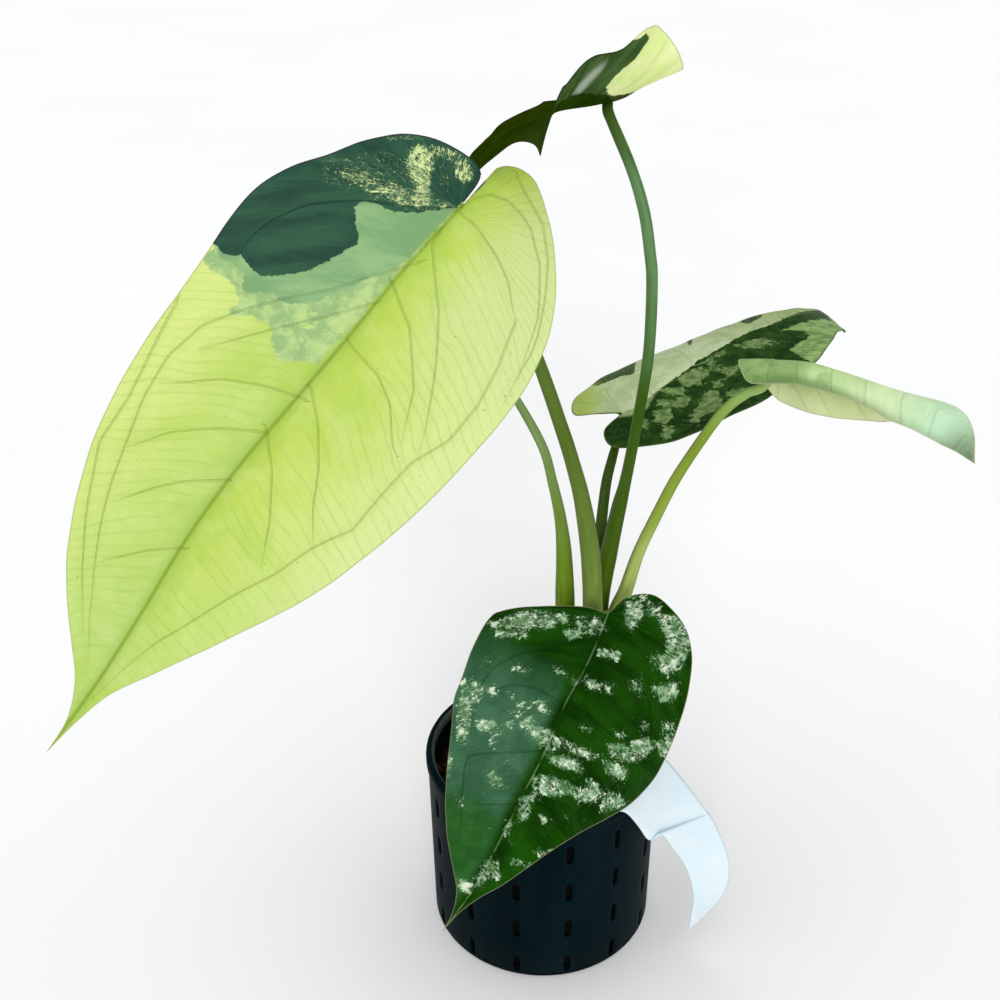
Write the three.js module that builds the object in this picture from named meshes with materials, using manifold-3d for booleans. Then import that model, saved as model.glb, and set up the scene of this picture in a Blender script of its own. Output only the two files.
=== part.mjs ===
// Potted variegated Syngonium chiapense: nursery pot, potting mix, short stem,
// six petioles, six heart-shaped blades and one plain plant label.
// Millimetres, +Z up. Origin at the centre of the pot's base; the viewer stands at -Y.
import * as THREE from 'three';
import { mergeVertices } from 'three/addons/utils/BufferGeometryUtils.js';
import Module from 'manifold-3d';

const wasm = await Module();
wasm.setup();

// ---------------------------------------------------------------- driving dimensions
const POT_HEIGHT = 94.2;
const POT_RIM_RADIUS = 54.0;
const POT_TOP_RADIUS = 53.2;      // outside of the wall just under the rim
const POT_BASE_RADIUS = 52.1;     // outside of the wall at the base
const POT_WALL = 1.5;
const POT_FLOOR = 2.2;
const POT_SEGMENTS = 48;
const RIM_WIDTH = 4.1;            // rolled rim, seen from above
const SLOT_COLUMNS = 14;          // columns of upright side slots
const SLOT_FIRST_ANGLE = -78.6;   // degrees, from +X
const SLOT_ROWS = [7.6, 30.4, 53.2, 76.0];   // slot centre heights
const SLOT_WIDTH = 3.2;
const SLOT_LENGTH = 11.0;
const DRAIN_HOLES = 8;
const DRAIN_RADIUS = 4.0;
const DRAIN_CIRCLE = 36.0;
const MIX_TOP = 81.5;             // mean height of the potting mix
const GAP = 0.3;                  // clearance between neighbouring pieces
const BLADE_THICKNESS = 0.9;
const LABEL_THICKNESS = 0.8;
const BLADE_STATIONS = 20;        // veins per side of a blade
const BLADE_STEPS = 4;            // points from midrib to margin
const PETIOLE_SIDES = 8;

// ---------------------------------------------------------------- small maths
// Catmull-Rom through the rows of P at t in 0..1
function spline(P, t) {
  const n = P.length - 1;
  const x = Math.min(Math.max(t, 0), 1) * n;
  const i = Math.min(Math.floor(x), n - 1);
  const f = x - i;
  const row = (k) => (k < 0 ? mix(P[0], P[1], -1) : k > n ? mix(P[n], P[n - 1], -1) : P[k]);
  const a = row(i - 1), b = row(i), c = row(i + 1), d = row(i + 2);
  const g = (p, q, r, s) =>
    0.5 * (2 * q + (-p + r) * f + (2 * p - 5 * q + 4 * r - s) * f * f + (-p + 3 * q - 3 * r + s) * f * f * f);
  return Array.isArray(b) ? b.map((_, k) => g(a[k], b[k], c[k], d[k])) : g(a, b, c, d);
}
function slope(P, t) {
  const n = P.length - 1;
  const x = Math.min(Math.max(t, 0), 1) * n;
  const i = Math.min(Math.floor(x), n - 1);
  const f = x - i;
  const row = (k) => (k < 0 ? mix(P[0], P[1], -1) : k > n ? mix(P[n], P[n - 1], -1) : P[k]);
  const a = row(i - 1), b = row(i), c = row(i + 1), d = row(i + 2);
  return b.map((_, k) =>
    n * 0.5 * (-a[k] + c[k] + 2 * (2 * a[k] - 5 * b[k] + 4 * c[k] - d[k]) * f +
      3 * (-a[k] + 3 * b[k] - 3 * c[k] + d[k]) * f * f));
}
function mix(p, q, t) {
  return Array.isArray(p) ? p.map((v, k) => v + (q[k] - v) * t) : p + (q - p) * t;
}
const sub = (a, b) => [a[0] - b[0], a[1] - b[1], a[2] - b[2]];
const add = (a, b, s = 1) => [a[0] + b[0] * s, a[1] + b[1] * s, a[2] + b[2] * s];
const dot = (a, b) => a[0] * b[0] + a[1] * b[1] + a[2] * b[2];
const cross = (a, b) => [a[1] * b[2] - a[2] * b[1], a[2] * b[0] - a[0] * b[2], a[0] * b[1] - a[1] * b[0]];
const unit = (a) => { const l = Math.hypot(a[0], a[1], a[2]) || 1; return [a[0] / l, a[1] / l, a[2] / l]; };

// ---------------------------------------------------------------- closed meshes
// Collects triangles with shared vertices, so that every shell is closed.
class Shell {
  constructor() { this.points = []; this.index = new Map(); this.faces = []; }
  point(p) {
    const key = p.map((v) => Math.round(v * 500)).join(',');
    let i = this.index.get(key);
    if (i === undefined) { i = this.points.length; this.points.push(p); this.index.set(key, i); }
    return i;
  }
  tri(a, b, c) { if (a !== b && b !== c && a !== c) this.faces.push([a, b, c]); }
  quad(a, b, c, d) { this.tri(a, b, c); this.tri(a, c, d); }
  geometry() {
    const g = new THREE.BufferGeometry();
    g.setAttribute('position', new THREE.Float32BufferAttribute(this.points.flat(), 3));
    g.setIndex(this.faces.flat());
    return g;
  }
}

// closed geometry to a solid that can be joined and cut
function solidOf(source) {
  let g = source.clone();
  for (const name of Object.keys(g.attributes)) if (name !== 'position') g.deleteAttribute(name);
  g = mergeVertices(g, 1e-4);
  const index = g.getIndex().array, faces = [];
  for (let i = 0; i < index.length; i += 3) {
    const [a, b, c] = [index[i], index[i + 1], index[i + 2]];
    if (a !== b && b !== c && a !== c) faces.push(a, b, c);
  }
  return new wasm.Manifold(new wasm.Mesh({
    numProp: 3,
    vertProperties: Float32Array.from(g.getAttribute('position').array),
    triVerts: Uint32Array.from(faces),
  }));
}

function geometryOf(solid) {
  const mesh = solid.getMesh();
  const g = new THREE.BufferGeometry();
  const p = new Float32Array(mesh.numVert * 3);
  for (let i = 0; i < mesh.numVert; i++) {
    for (let k = 0; k < 3; k++) p[3 * i + k] = mesh.vertProperties[mesh.numProp * i + k];
  }
  g.setAttribute('position', new THREE.BufferAttribute(p, 3));
  g.setIndex(Array.from(mesh.triVerts));
  g.computeVertexNormals();
  return g;
}

// the largest connected piece, without crumbs left by a cut
function main(solid) {
  const parts = solid.decompose();
  parts.sort((a, b) => b.volume() - a.volume());
  return parts[0];
}

// solid of revolution about Z; the profile [radius, height] runs from the axis to the axis
function revolved(profile, segments) {
  const lathe = new THREE.LatheGeometry(profile.map(([r, z]) => new THREE.Vector2(r, z)), segments);
  return solidOf(lathe.rotateX(Math.PI / 2));
}

// ---------------------------------------------------------------- stalks
// Round stalk along control points, each [x, y, z, radius]; both ends are capped.
function stalk(points, sections, sides, grow = 0) {
  const s = new Shell();
  const P = points.map((p) => p.slice(0, 3));
  const R = points.map((p) => p[3]);
  let up = [0.3, -1, 0.1];
  const rings = [];
  for (let i = 0; i <= sections; i++) {
    const t = i / sections;
    const c = spline(P, t);
    const d = unit(slope(P, t));
    up = unit(sub(up, d.map((v) => v * dot(up, d))));
    const side = cross(d, up);
    const r = spline(R, t) + grow;
    const row = [];
    for (let k = 0; k < sides; k++) {
      const a = (2 * Math.PI * k) / sides;
      row.push(s.point(add(add(c, up, r * Math.cos(a)), side, r * Math.sin(a))));
    }
    rings.push({ row, c, d });
  }
  for (let i = 0; i < sections; i++) {
    for (let k = 0; k < sides; k++) {
      const m = (k + 1) % sides;
      s.quad(rings[i].row[k], rings[i].row[m], rings[i + 1].row[m], rings[i + 1].row[k]);
    }
  }
  const first = rings[0], last = rings[sections];
  const a = s.point(add(first.c, first.d, -grow)), b = s.point(add(last.c, last.d, grow));
  for (let k = 0; k < sides; k++) {
    const m = (k + 1) % sides;
    s.tri(a, first.row[m], first.row[k]);
    s.tri(b, last.row[k], last.row[m]);
  }
  return solidOf(s.geometry());
}

// ---------------------------------------------------------------- blades
// A blade is a thin sheet. Flat place (u, v): u runs along the midrib, 0 at the petiole and
// 1 at the tip, below 0 in the basal lobes; v is the distance from the midrib.
// side +1 is the right half, seen from the petiole towards the tip with the top face up.
function sheetPoint(leaf, u, v, side) {
  const uc = Math.min(Math.max(u, 0), 1);
  const d = slope(leaf.mid, uc);
  const T = unit(d);
  let N = spline(leaf.normal, uc);
  N = unit(sub(N, T.map((x) => x * dot(N, T))));
  const S = cross(T, N);
  const un = Math.min(u, 0);
  let c = spline(leaf.mid, uc);
  c = add(add(c, d, un), N, leaf.bend * un * un);
  const k = side > 0 ? 0 : 1;
  const t = (u - leaf.ulo) / (1 - leaf.ulo);
  const fold = (spline(leaf.fold[k], t) * Math.PI) / 180;
  let curl = spline(leaf.curl[k], t);
  if (Math.abs(curl) < 1e-6) curl = 1e-6;
  const a = fold + curl * v;
  const x = (Math.sin(a) - Math.sin(fold)) / curl;
  const z = (Math.cos(fold) - Math.cos(a)) / curl;
  return add(add(c, S, side * x), N, z);
}

// margin of one half, resampled to equal steps along its length
function margin(control, n, length) {
  const dense = [];
  for (let i = 0; i <= 400; i++) dense.push(spline(control, i / 400));
  const d = [0];
  for (let i = 1; i <= 400; i++) {
    d.push(d[i - 1] + Math.hypot((dense[i][0] - dense[i - 1][0]) * length, dense[i][1] - dense[i - 1][1]));
  }
  const out = [];
  let j = 0;
  for (let i = 0; i <= n; i++) {
    const want = (d[400] * i) / n;
    while (j < 399 && d[j + 1] < want) j++;
    const f = Math.min(Math.max((want - d[j]) / (d[j + 1] - d[j] || 1), 0), 1);
    out.push([mix(dense[j][0], dense[j + 1][0], f), Math.max(0, mix(dense[j][1], dense[j + 1][1], f))]);
  }
  out[0] = [0, 0];
  out[n] = [1, 0];
  return out;
}

const VEIN_START = 0.33;          // share of the margin that is served by veins from the petiole
function veinFoot(s) { return Math.min(Math.max((s - VEIN_START) / (1 - VEIN_START), 0), 1); }

// place on a vein: from its foot on the midrib (r = 0) to the margin (r = 1), bowed towards the tip
function veinPlace(foot, edge, r) {
  const c = [foot + 0.38 * (edge[0] - foot), 0.55 * edge[1]];
  const q = 1 - r;
  return [q * q * foot + 2 * q * r * c[0] + r * r * edge[0], 2 * q * r * c[1] + r * r * edge[1]];
}

function blade(leaf, thickness, stations = BLADE_STATIONS, steps = BLADE_STEPS) {
  const s = new Shell();
  const at = (u, v, side) => sheetPoint(leaf, u, v, side);
  const facing = (u, v, side) => {
    const e = 0.5, du = 0.5 / leaf.length;
    const v0 = Math.max(v, 0.3);
    const a = sub(at(u + du, v0, side), at(u - du, v0, side));
    const b = sub(at(u, v0 + e, side), at(u, v0 - e, side));
    return unit(cross(b, a).map((x) => x * side));
  };
  const midFacing = (u) => unit(add(facing(u, 0, 1), facing(u, 0, -1)));
  const grids = [1, -1].map((side, k) => {
    const edge = margin(leaf.margin[k], stations, leaf.length);
    const top = [], low = [];
    for (let i = 0; i <= stations; i++) {
      const foot = veinFoot(i / stations);
      const a = [], b = [];
      for (let j = 0; j <= steps; j++) {
        const [u, v] = j === 0 ? [foot, 0] : veinPlace(foot, edge[i], j / steps);
        const p = at(u, v, side);
        const n = v < 0.02 ? midFacing(Math.max(u, 0)) : facing(u, v, side);
        a.push(s.point(add(p, n, thickness / 2)));
        b.push(s.point(add(p, n, -thickness / 2)));
      }
      top.push(a);
      low.push(b);
    }
    return { top, low };
  });
  grids.forEach(({ top, low }, k) => {
    for (let i = 0; i < stations; i++) {
      for (let j = 0; j < steps; j++) {
        if (k === 0) {
          s.quad(top[i][j], top[i][j + 1], top[i + 1][j + 1], top[i + 1][j]);
          s.quad(low[i][j], low[i + 1][j], low[i + 1][j + 1], low[i][j + 1]);
        } else {
          s.quad(top[i][j], top[i + 1][j], top[i + 1][j + 1], top[i][j + 1]);
          s.quad(low[i][j], low[i][j + 1], low[i + 1][j + 1], low[i + 1][j]);
        }
      }
      const a = top[i][steps], b = top[i + 1][steps], c = low[i + 1][steps], d = low[i][steps];
      if (k === 0) s.quad(a, d, c, b); else s.quad(a, b, c, d);
    }
  });
  return solidOf(s.geometry());
}

// ---------------------------------------------------------------- measured shapes
// Stem: centre and radius, from below the soil line to the top.
const STEM = [[23, 3, 62, 7], [23.3, 3, 76, 6.7], [23, 3, 92, 6.2], [22.7, 3, 108, 5.8], [23, 3, 122, 5.2], [23, 3, 127, 3.6]];

// Each leaf: midrib from petiole to tip with the top-face normals at the same stations, fold
// (degrees) and curl (1/mm) of the right and the left half from the lobes to the tip, margins
// [u, v] around the lobe to the tip, and the petiole as [x, y, z, radius] from the stem up.
const LEAVES = [
  {
    name: 'a', length: 228.6, ulo: -0.3, bend: -57,
    mid: [[-30.94, -51.96, 363.16], [-49.89, -63.57, 345.86], [-67.66, -74.64, 327.45], [-85.85, -85.18, 309.2], [-104.04, -95.19, 290.65], [-120.92, -104.66, 270.3], [-136.59, -113.59, 247.73], [-153.21, -121.99, 224.76], [-171.63, -129.86, 202.07]],
    normal: [[0.0276, -0.9267, 0.3747], [0.0707, -0.9139, 0.3998], [0.1118, -0.8974, 0.4268], [0.154, -0.8783, 0.4526], [0.1959, -0.8566, 0.4774], [0.2337, -0.8317, 0.5036], [0.267, -0.804, 0.5313], [0.3006, -0.7748, 0.5562], [0.3361, -0.7447, 0.5766]],
    fold: [[4, 6, 6, 5, 4, 3, 2], [4, 6, 6, 5, 4, 3, 2]],
    curl: [[-0.00105, -0.00105, -0.00105, -0.00105, -0.00158, -0.00158, -0.00158], [-0.00105, -0.00105, -0.00105, -0.00105, -0.00158, -0.00158, -0.00158]],
    margin: [
      [[0, 0], [-0.0615, 2.83], [-0.0557, 17.14], [-0.025, 28.59], [0.0222, 36.41], [0.074, 41.87], [0.1202, 48.15], [0.1686, 51.97], [0.2302, 52.24], [0.2951, 50.78], [0.3565, 49.54], [0.4198, 48.44], [0.476, 46.57], [0.5298, 44.26], [0.5843, 41.59], [0.6359, 37.76], [0.6875, 33.54], [0.7434, 28.45], [0.7949, 21.43], [0.8422, 13.59], [0.8895, 6.04], [0.9426, 1.11], [1, 0]],
      [[0, 0], [-0.0818, 0], [-0.1078, 10.49], [-0.0765, 24.19], [-0.0381, 34.58], [0.0074, 43.92], [0.0587, 50.81], [0.126, 54.97], [0.1973, 56.05], [0.2519, 55.72], [0.309, 55.27], [0.3663, 54.36], [0.421, 52.78], [0.4837, 50.59], [0.5484, 47.38], [0.6109, 42.57], [0.6722, 36.14], [0.7238, 28.65], [0.7733, 20.98], [0.825, 13.31], [0.878, 5.71], [0.9382, 2.03], [1, 0]],
    ],
    petiole: [[19.75, -2.63, 100, 4.3], [21.26, -2, 154.84, 4.3], [20.75, -4, 177.75, 4.25], [19.15, -5, 201.06, 4.1], [15.12, -6, 227.19, 3.35], [10.63, -7, 245.76, 2.95], [6.19, -8, 261.05, 2.75], [-2.85, -10, 289.41, 2.5], [-12.58, -14, 315.72, 2.4], [-21.54, -23, 337.31, 2.4], [-32.84, -37.89, 355.78, 2.4], [-31.65, -46.68, 360.39, 2.4], [-30.95, -51.87, 363.11, 2.2]],
    petioleSections: 24, petioleColor: 0x7f9c4a, color: 0xb8c95a,
  },
  {
    name: 'b', length: 125.6, ulo: -0.2, bend: 0,
    mid: [[23.3, 26.13, 379.46], [15.65, 10.07, 381.83], [9.23, -6.38, 385.01], [4.2, -23.28, 388.32], [0.52, -40.61, 391.15], [-2.03, -58.29, 392.89], [-3.92, -76.13, 393.01], [-5.83, -93.86, 391.02]],
    normal: [[-0.3394, 0.023, -0.9403], [-0.2434, -0.0599, -0.9681], [-0.13, -0.1464, -0.9806], [0.007, -0.1782, -0.984], [0.1487, -0.1538, -0.9768], [0.2791, -0.0851, -0.9565], [0.3915, 0.0066, -0.9202], [0.4812, 0.0464, -0.8754]],
    fold: [[-61.35, -46.45, -37.46, -36.28, -44.86, -50.02, -49.84], [25.52, 17.65, 13.28, 12.75, 16.85, 2.24, -31.42]],
    curl: [[0.02034, 0.00074, -0.01323, -0.01091, -0.00181, 0.00794, 0.01885], [-0.00369, 0.00548, 0.01241, 0.01275, 0.0105, 0.00836, 0.00588]],
    margin: [
      [[0, 0], [-0.1118, 3.27], [-0.0675, 14.78], [-0.0381, 23.66], [-0.0066, 30.7], [0.0825, 35.55], [0.1565, 37.63], [0.2293, 38.8], [0.3013, 38.98], [0.3768, 35.1], [0.4156, 27.49], [0.4998, 23.55], [0.5764, 21.22], [0.6466, 17.45], [0.7139, 12.66], [0.7936, 12.08], [0.8597, 6.97], [0.9262, 2.31], [1, 0]],
      [[0, 0], [-0.0648, 4.53], [-0.0847, 13.95], [-0.054, 25.35], [0.0391, 26.38], [0.1068, 30.6], [0.1747, 35.29], [0.2519, 35.78], [0.328, 36.08], [0.4011, 38.39], [0.4844, 40.1], [0.5449, 35.65], [0.6097, 28.4], [0.6735, 22.43], [0.7369, 17.41], [0.8, 12.31], [0.8621, 7.02], [0.9275, 2.4], [1, 0]],
    ],
    petiole: [[26.73, 8.32, 106, 4], [25.3, 8.5, 147.31, 4.1], [25.06, 8, 169.7, 4.1], [27.96, 7, 193.54, 3.8], [31.19, 5, 216.46, 3.2], [34.07, 4, 234.14, 2.4], [38.29, 3, 267.29, 2.25], [40.41, 3, 290.09, 2.25], [40.5, 5, 316.86, 2.3], [39.16, 7, 329.27, 2.3], [37.34, 9, 340.31, 2.25], [34.67, 11, 350.06, 2.2], [31.2, 14, 359.42, 2.15], [27.4, 18, 367.71, 2.15], [24.38, 21, 374.02, 2.05], [22.93, 23, 377.6, 2.15], [23.3, 26.13, 379.46, 1.9]],
    petioleSections: 26, petioleColor: 0x4f7a50, color: 0x3f5a34,
  },
  {
    name: 'c', length: 161.4, ulo: -0.2, bend: 0,
    mid: [[35.14, 43.92, 242.94], [54.04, 54.82, 250.32], [72.54, 66.91, 256.81], [90.82, 80.13, 261.41], [108.83, 94.39, 263.1], [126.16, 109.39, 260.84], [142.01, 124.5, 253.71], [155.21, 138.61, 241.17]],
    normal: [[-0.2373, -0.2282, 0.9443], [-0.2124, -0.2276, 0.9503], [-0.141, -0.2181, 0.9657], [-0.029, -0.1866, 0.982], [0.1229, -0.1293, 0.984], [0.3089, -0.0442, 0.9501], [0.5135, 0.0653, 0.8556], [0.6391, 0.0819, 0.7648]],
    fold: [[6.31, 2.21, -0.21, 0.18, 8.2, 5.63, -8.63], [-8.67, -6.56, -8.7, -14.29, -16.52, -9.1, 7.17]],
    curl: [[0.00043, 0.0036, 0.00594, 0.00616, 0.00489, 0.00201, -0.00155], [-0.00471, -0.00686, -0.00887, -0.01144, -0.01194, -0.00672, 0.00044]],
    margin: [
      [[0, 0], [-0.0779, 3.78], [-0.1062, 16.61], [-0.054, 27.08], [0.0067, 34.85], [0.078, 39.49], [0.1518, 42.39], [0.2267, 45.57], [0.3031, 43.74], [0.378, 42.1], [0.4536, 40.57], [0.5254, 36.39], [0.593, 30.84], [0.658, 24.61], [0.7254, 19.15], [0.7987, 15.64], [0.8669, 10.5], [0.9334, 5.56], [1, 0]],
      [[0, 0], [-0.0479, 10.47], [-0.0798, 20.79], [-0.035, 33.01], [0.0391, 38.87], [0.1103, 41.55], [0.1828, 41], [0.254, 41.8], [0.3261, 42.39], [0.3985, 41.11], [0.4687, 37.95], [0.5381, 34.27], [0.5704, 25.27], [0.627, 20.46], [0.6894, 15.35], [0.7792, 12.56], [0.8964, 12.48], [0.9291, 12], [1, 0]],
    ],
    petiole: [[20.78, 9.11, 98, 3.2], [24.87, 15.5, 164.17, 3], [24.73, 16.5, 187.19, 2.8], [25.74, 20, 203.43, 2.45], [27.7, 26, 217.99, 2.25], [30.2, 31, 226.61, 2.05], [32.85, 37, 233.27, 1.75], [35.44, 44.37, 239.95, 1.6], [35.17, 43.94, 242.85, 1.4]],
    petioleSections: 16, petioleColor: 0x3f5230, color: 0x5f7a55,
  },
  {
    name: 'd', length: 94.6, ulo: -0.2, bend: 0,
    mid: [[90.87, 6.41, 283.64], [102.15, -2.21, 286.15], [112.89, -11.04, 286.04], [123.12, -20.09, 285.43], [132.85, -29.36, 284.82], [141.83, -38.84, 283.4], [148.52, -48.54, 278.23], [151.48, -58.45, 270.31]],
    normal: [[0.1915, 0.4968, 0.8465], [0.2421, 0.4253, 0.8721], [0.2959, 0.3107, 0.9033], [0.259, 0.2194, 0.9406], [0.1938, 0.0877, 0.9771], [0.1682, -0.1945, 0.9664], [0.0045, -0.554, 0.8325], [-0.358, -0.6462, 0.6739]],
    fold: [[-27.16, -17.2, -10.28, -8.05, -12.85, -24.86, -42.42], [-60.05, -42.17, -30.54, -23.83, -5.55, -5.43, -24.8]],
    curl: [[-0.07729, -0.0628, -0.0518, -0.05144, -0.05425, -0.05432, -0.05407], [-0.0126, -0.02688, -0.03736, -0.03589, -0.03178, -0.03302, -0.03543]],
    margin: [
      [[0, 0], [-0.0934, 1.93], [-0.1384, 3.51], [-0.1014, 9.93], [-0.0407, 16.08], [0.0463, 17.45], [0.1346, 17.92], [0.209, 17.7], [0.2832, 17.13], [0.3572, 16.24], [0.431, 15.24], [0.5052, 14.66], [0.5801, 14.65], [0.654, 13.36], [0.7277, 11.91], [0.8015, 10.02], [0.8751, 7.74], [0.9385, 4.07], [1, 0]],
      [[0, 0], [-0.0543, 4.42], [-0.0531, 11.31], [-0.0115, 16.97], [0.0504, 20.41], [0.1184, 22.43], [0.1891, 23.32], [0.2603, 23.42], [0.3314, 22.97], [0.4034, 22.87], [0.4798, 23.65], [0.5465, 21.5], [0.6178, 18.5], [0.6883, 15], [0.725, 11.5], [0.7977, 8], [0.8667, 5], [0.934, 2.2], [1, 0]],
    ],
    petiole: [[28.89, 0.25, 110, 3.4], [30.04, 4, 155.86, 3.4], [35.62, 3, 177.58, 3.2], [40.05, 2, 196.49, 2.6], [46.17, 1, 214.24, 2.4], [53.72, 0, 233.73, 2.25], [63.67, 0, 252.42, 2.05], [71.24, 0, 264.37, 2], [79.71, 1.5, 271.03, 1.95], [87.01, 3.5, 273.52, 1.9], [90.16, 5.35, 281.47, 1.8], [90.86, 6.36, 283.56, 1.7]],
    petioleSections: 20, petioleColor: 0x9fb560, color: 0xc2d2ae,
  },
  {
    name: 'e', length: 154.1, ulo: -0.3, bend: -40,
    mid: [[25.86, -22, 182.22], [17.21, -38, 170.31], [6.59, -54, 159.86], [-1.72, -66, 145.71], [-11.34, -75, 130], [-20.72, -81, 111.21], [-31.12, -85, 90.59], [-43.85, -88, 70.12]],
    normal: [[-0.0273, -0.711, 0.7027], [-0.0146, -0.7118, 0.7022], [0.0024, -0.7133, 0.7008], [0.0171, -0.7138, 0.7002], [0.0353, -0.715, 0.6982], [0.054, -0.7163, 0.6957], [0.0753, -0.7182, 0.6918], [0.1016, -0.7218, 0.6846]],
    fold: [[14, 14, 13, 12, 10, 8, 6], [14, 14, 13, 12, 10, 8, 6]],
    curl: [[-0.004, -0.004, -0.004, -0.004, -0.004, -0.004, -0.004], [-0.004, -0.004, -0.004, -0.004, -0.004, -0.004, -0.004]],
    margin: [
      [[0, 0], [0.0083, 9.3], [0.0322, 18.1], [0.0589, 26.75], [0.0917, 34.97], [0.1381, 41.63], [0.1991, 44.17], [0.2611, 43.88], [0.3222, 42.42], [0.3842, 42], [0.4451, 40.01], [0.5039, 36.96], [0.5612, 33.4], [0.6183, 29.73], [0.6756, 26.13], [0.7309, 21.87], [0.7833, 16.83], [0.8332, 11.2], [0.8828, 5.51], [0.9391, 1.62], [1, 0]],
      [[0, 0], [-0.0623, 4.72], [-0.0938, 14.18], [-0.0699, 24.42], [-0.028, 32.97], [0.0332, 38.14], [0.1001, 41.09], [0.168, 43.33], [0.2368, 44.75], [0.3064, 44.93], [0.3757, 43.75], [0.4393, 39.48], [0.4977, 33.75], [0.5571, 28.29], [0.6182, 23.28], [0.6793, 18.28], [0.7418, 13.7], [0.8046, 9.2], [0.8655, 4.15], [0.9311, 1], [1, 0]],
    ],
    petiole: [[24.68, -3.28, 96, 3.8], [25, -6, 118, 3.5], [26, -7.5, 138, 3], [26.5, -9, 152, 2.6], [27, -11.5, 163, 2.3], [26, -16.4, 176.42, 2.2], [25.75, -19.87, 179.44, 2.1], [25.86, -21.94, 182.14, 2]],
    petioleSections: 12, petioleColor: 0x6f8c48, color: 0x2f4a38,
  },
  {
    name: 'f', length: 118.8, ulo: -0.2, bend: -30,
    mid: [[-42, 30, 301.08], [-52.81, 38, 294.7], [-64.1, 46, 286.4], [-75.81, 53, 276.92], [-87.91, 59, 266.17], [-99.96, 64, 254.1], [-111.88, 68, 241.12], [-123.57, 71, 227.73]],
    normal: [[-0.1438, 0.4908, 0.8593], [-0.2304, 0.4654, 0.8546], [-0.3535, 0.4379, 0.8266], [-0.4717, 0.3767, 0.7972], [-0.563, 0.3331, 0.7564], [-0.6421, 0.2784, 0.7142], [-0.7007, 0.2077, 0.6826], [-0.7277, 0.1506, 0.6692]],
    fold: [[16, 15.48, 14.15, 12, 10, 8, 6], [12, 12.15, 11.48, 10, 8.67, 7.33, 6]],
    curl: [[-0.008, -0.00856, -0.009, -0.00912, -0.009, -0.00856, -0.008], [-0.008, -0.00794, -0.008, -0.0085, -0.009, -0.00906, -0.009]],
    margin: [
      [[0, 0], [-0.0585, 5.27], [-0.0655, 13.75], [-0.0293, 21.36], [0.0294, 26.69], [0.0961, 30.47], [0.1683, 32.47], [0.2422, 33.17], [0.3161, 32.58], [0.3891, 31.06], [0.4605, 28.67], [0.5297, 25.52], [0.5977, 21.99], [0.6652, 18.35], [0.732, 14.53], [0.7974, 10.38], [0.8615, 5.95], [0.9281, 2.1], [1, 0]],
      [[0, 0], [-0.0551, 5.86], [-0.0605, 14.52], [-0.0282, 22.48], [0.0281, 28.25], [0.0946, 32.29], [0.1672, 34.45], [0.2416, 35.22], [0.3162, 34.6], [0.3898, 32.96], [0.4614, 30.4], [0.5307, 27.05], [0.5986, 23.3], [0.666, 19.44], [0.7326, 15.39], [0.7977, 11], [0.8614, 6.33], [0.9278, 2.25], [1, 0]],
    ],
    petiole: [[16.6, 1.87, 93, 4.2], [10.52, 4, 145.25, 4.4], [9.55, 4, 172.55, 4.45], [8.75, 4.5, 195.31, 3.45], [6.99, 5, 212.37, 2.6], [3.53, 5.5, 229.44, 2.15], [-0.78, 6, 246.02, 1.95], [-10.83, 8, 265.5, 1.7], [-21.16, 13, 280.52, 1.6], [-32.26, 20, 292.85, 1.5], [-38.81, 24.95, 296.35, 1.5], [-40.84, 27.99, 298.93, 1.5], [-41.98, 29.95, 300.99, 1.4]],
    petioleSections: 22, petioleColor: 0x6f8c48, color: 0x8fa656,
  },
];

// Label: [front edge, back edge] from the inner end over the rim to the point.
const LABEL = [[[17, -38.9, 91.2], [37, -2, 91.2]], [[24, -42.4, 94.7], [44, -5.7, 94.7]], [[30, -45.6, 95.9], [50.3, -9, 95.9]], [[35, -44.9, 93.6], [56, -11.7, 94.6]], [[40.5, -43, 84.5], [65.4, -16.4, 84]], [[46, -41, 74.1], [74.7, -21, 72.2]], [[51.31, -40, 76.63], [76.42, -21.5, 69.94]], [[56.63, -40, 68.79], [81.67, -23, 59.02]], [[62.61, -40, 58.39], [85.39, -25, 48.45]], [[66.42, -40, 47.83], [86.68, -27, 35.53]], [[68.49, -39, 35.43], [83.09, -29, 25.05]], [[68.43, -37, 22.36], [75.09, -31, 15.49]], [[68.3, -34.5, 11.77], [69.01, -33.5, 10]]];


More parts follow.
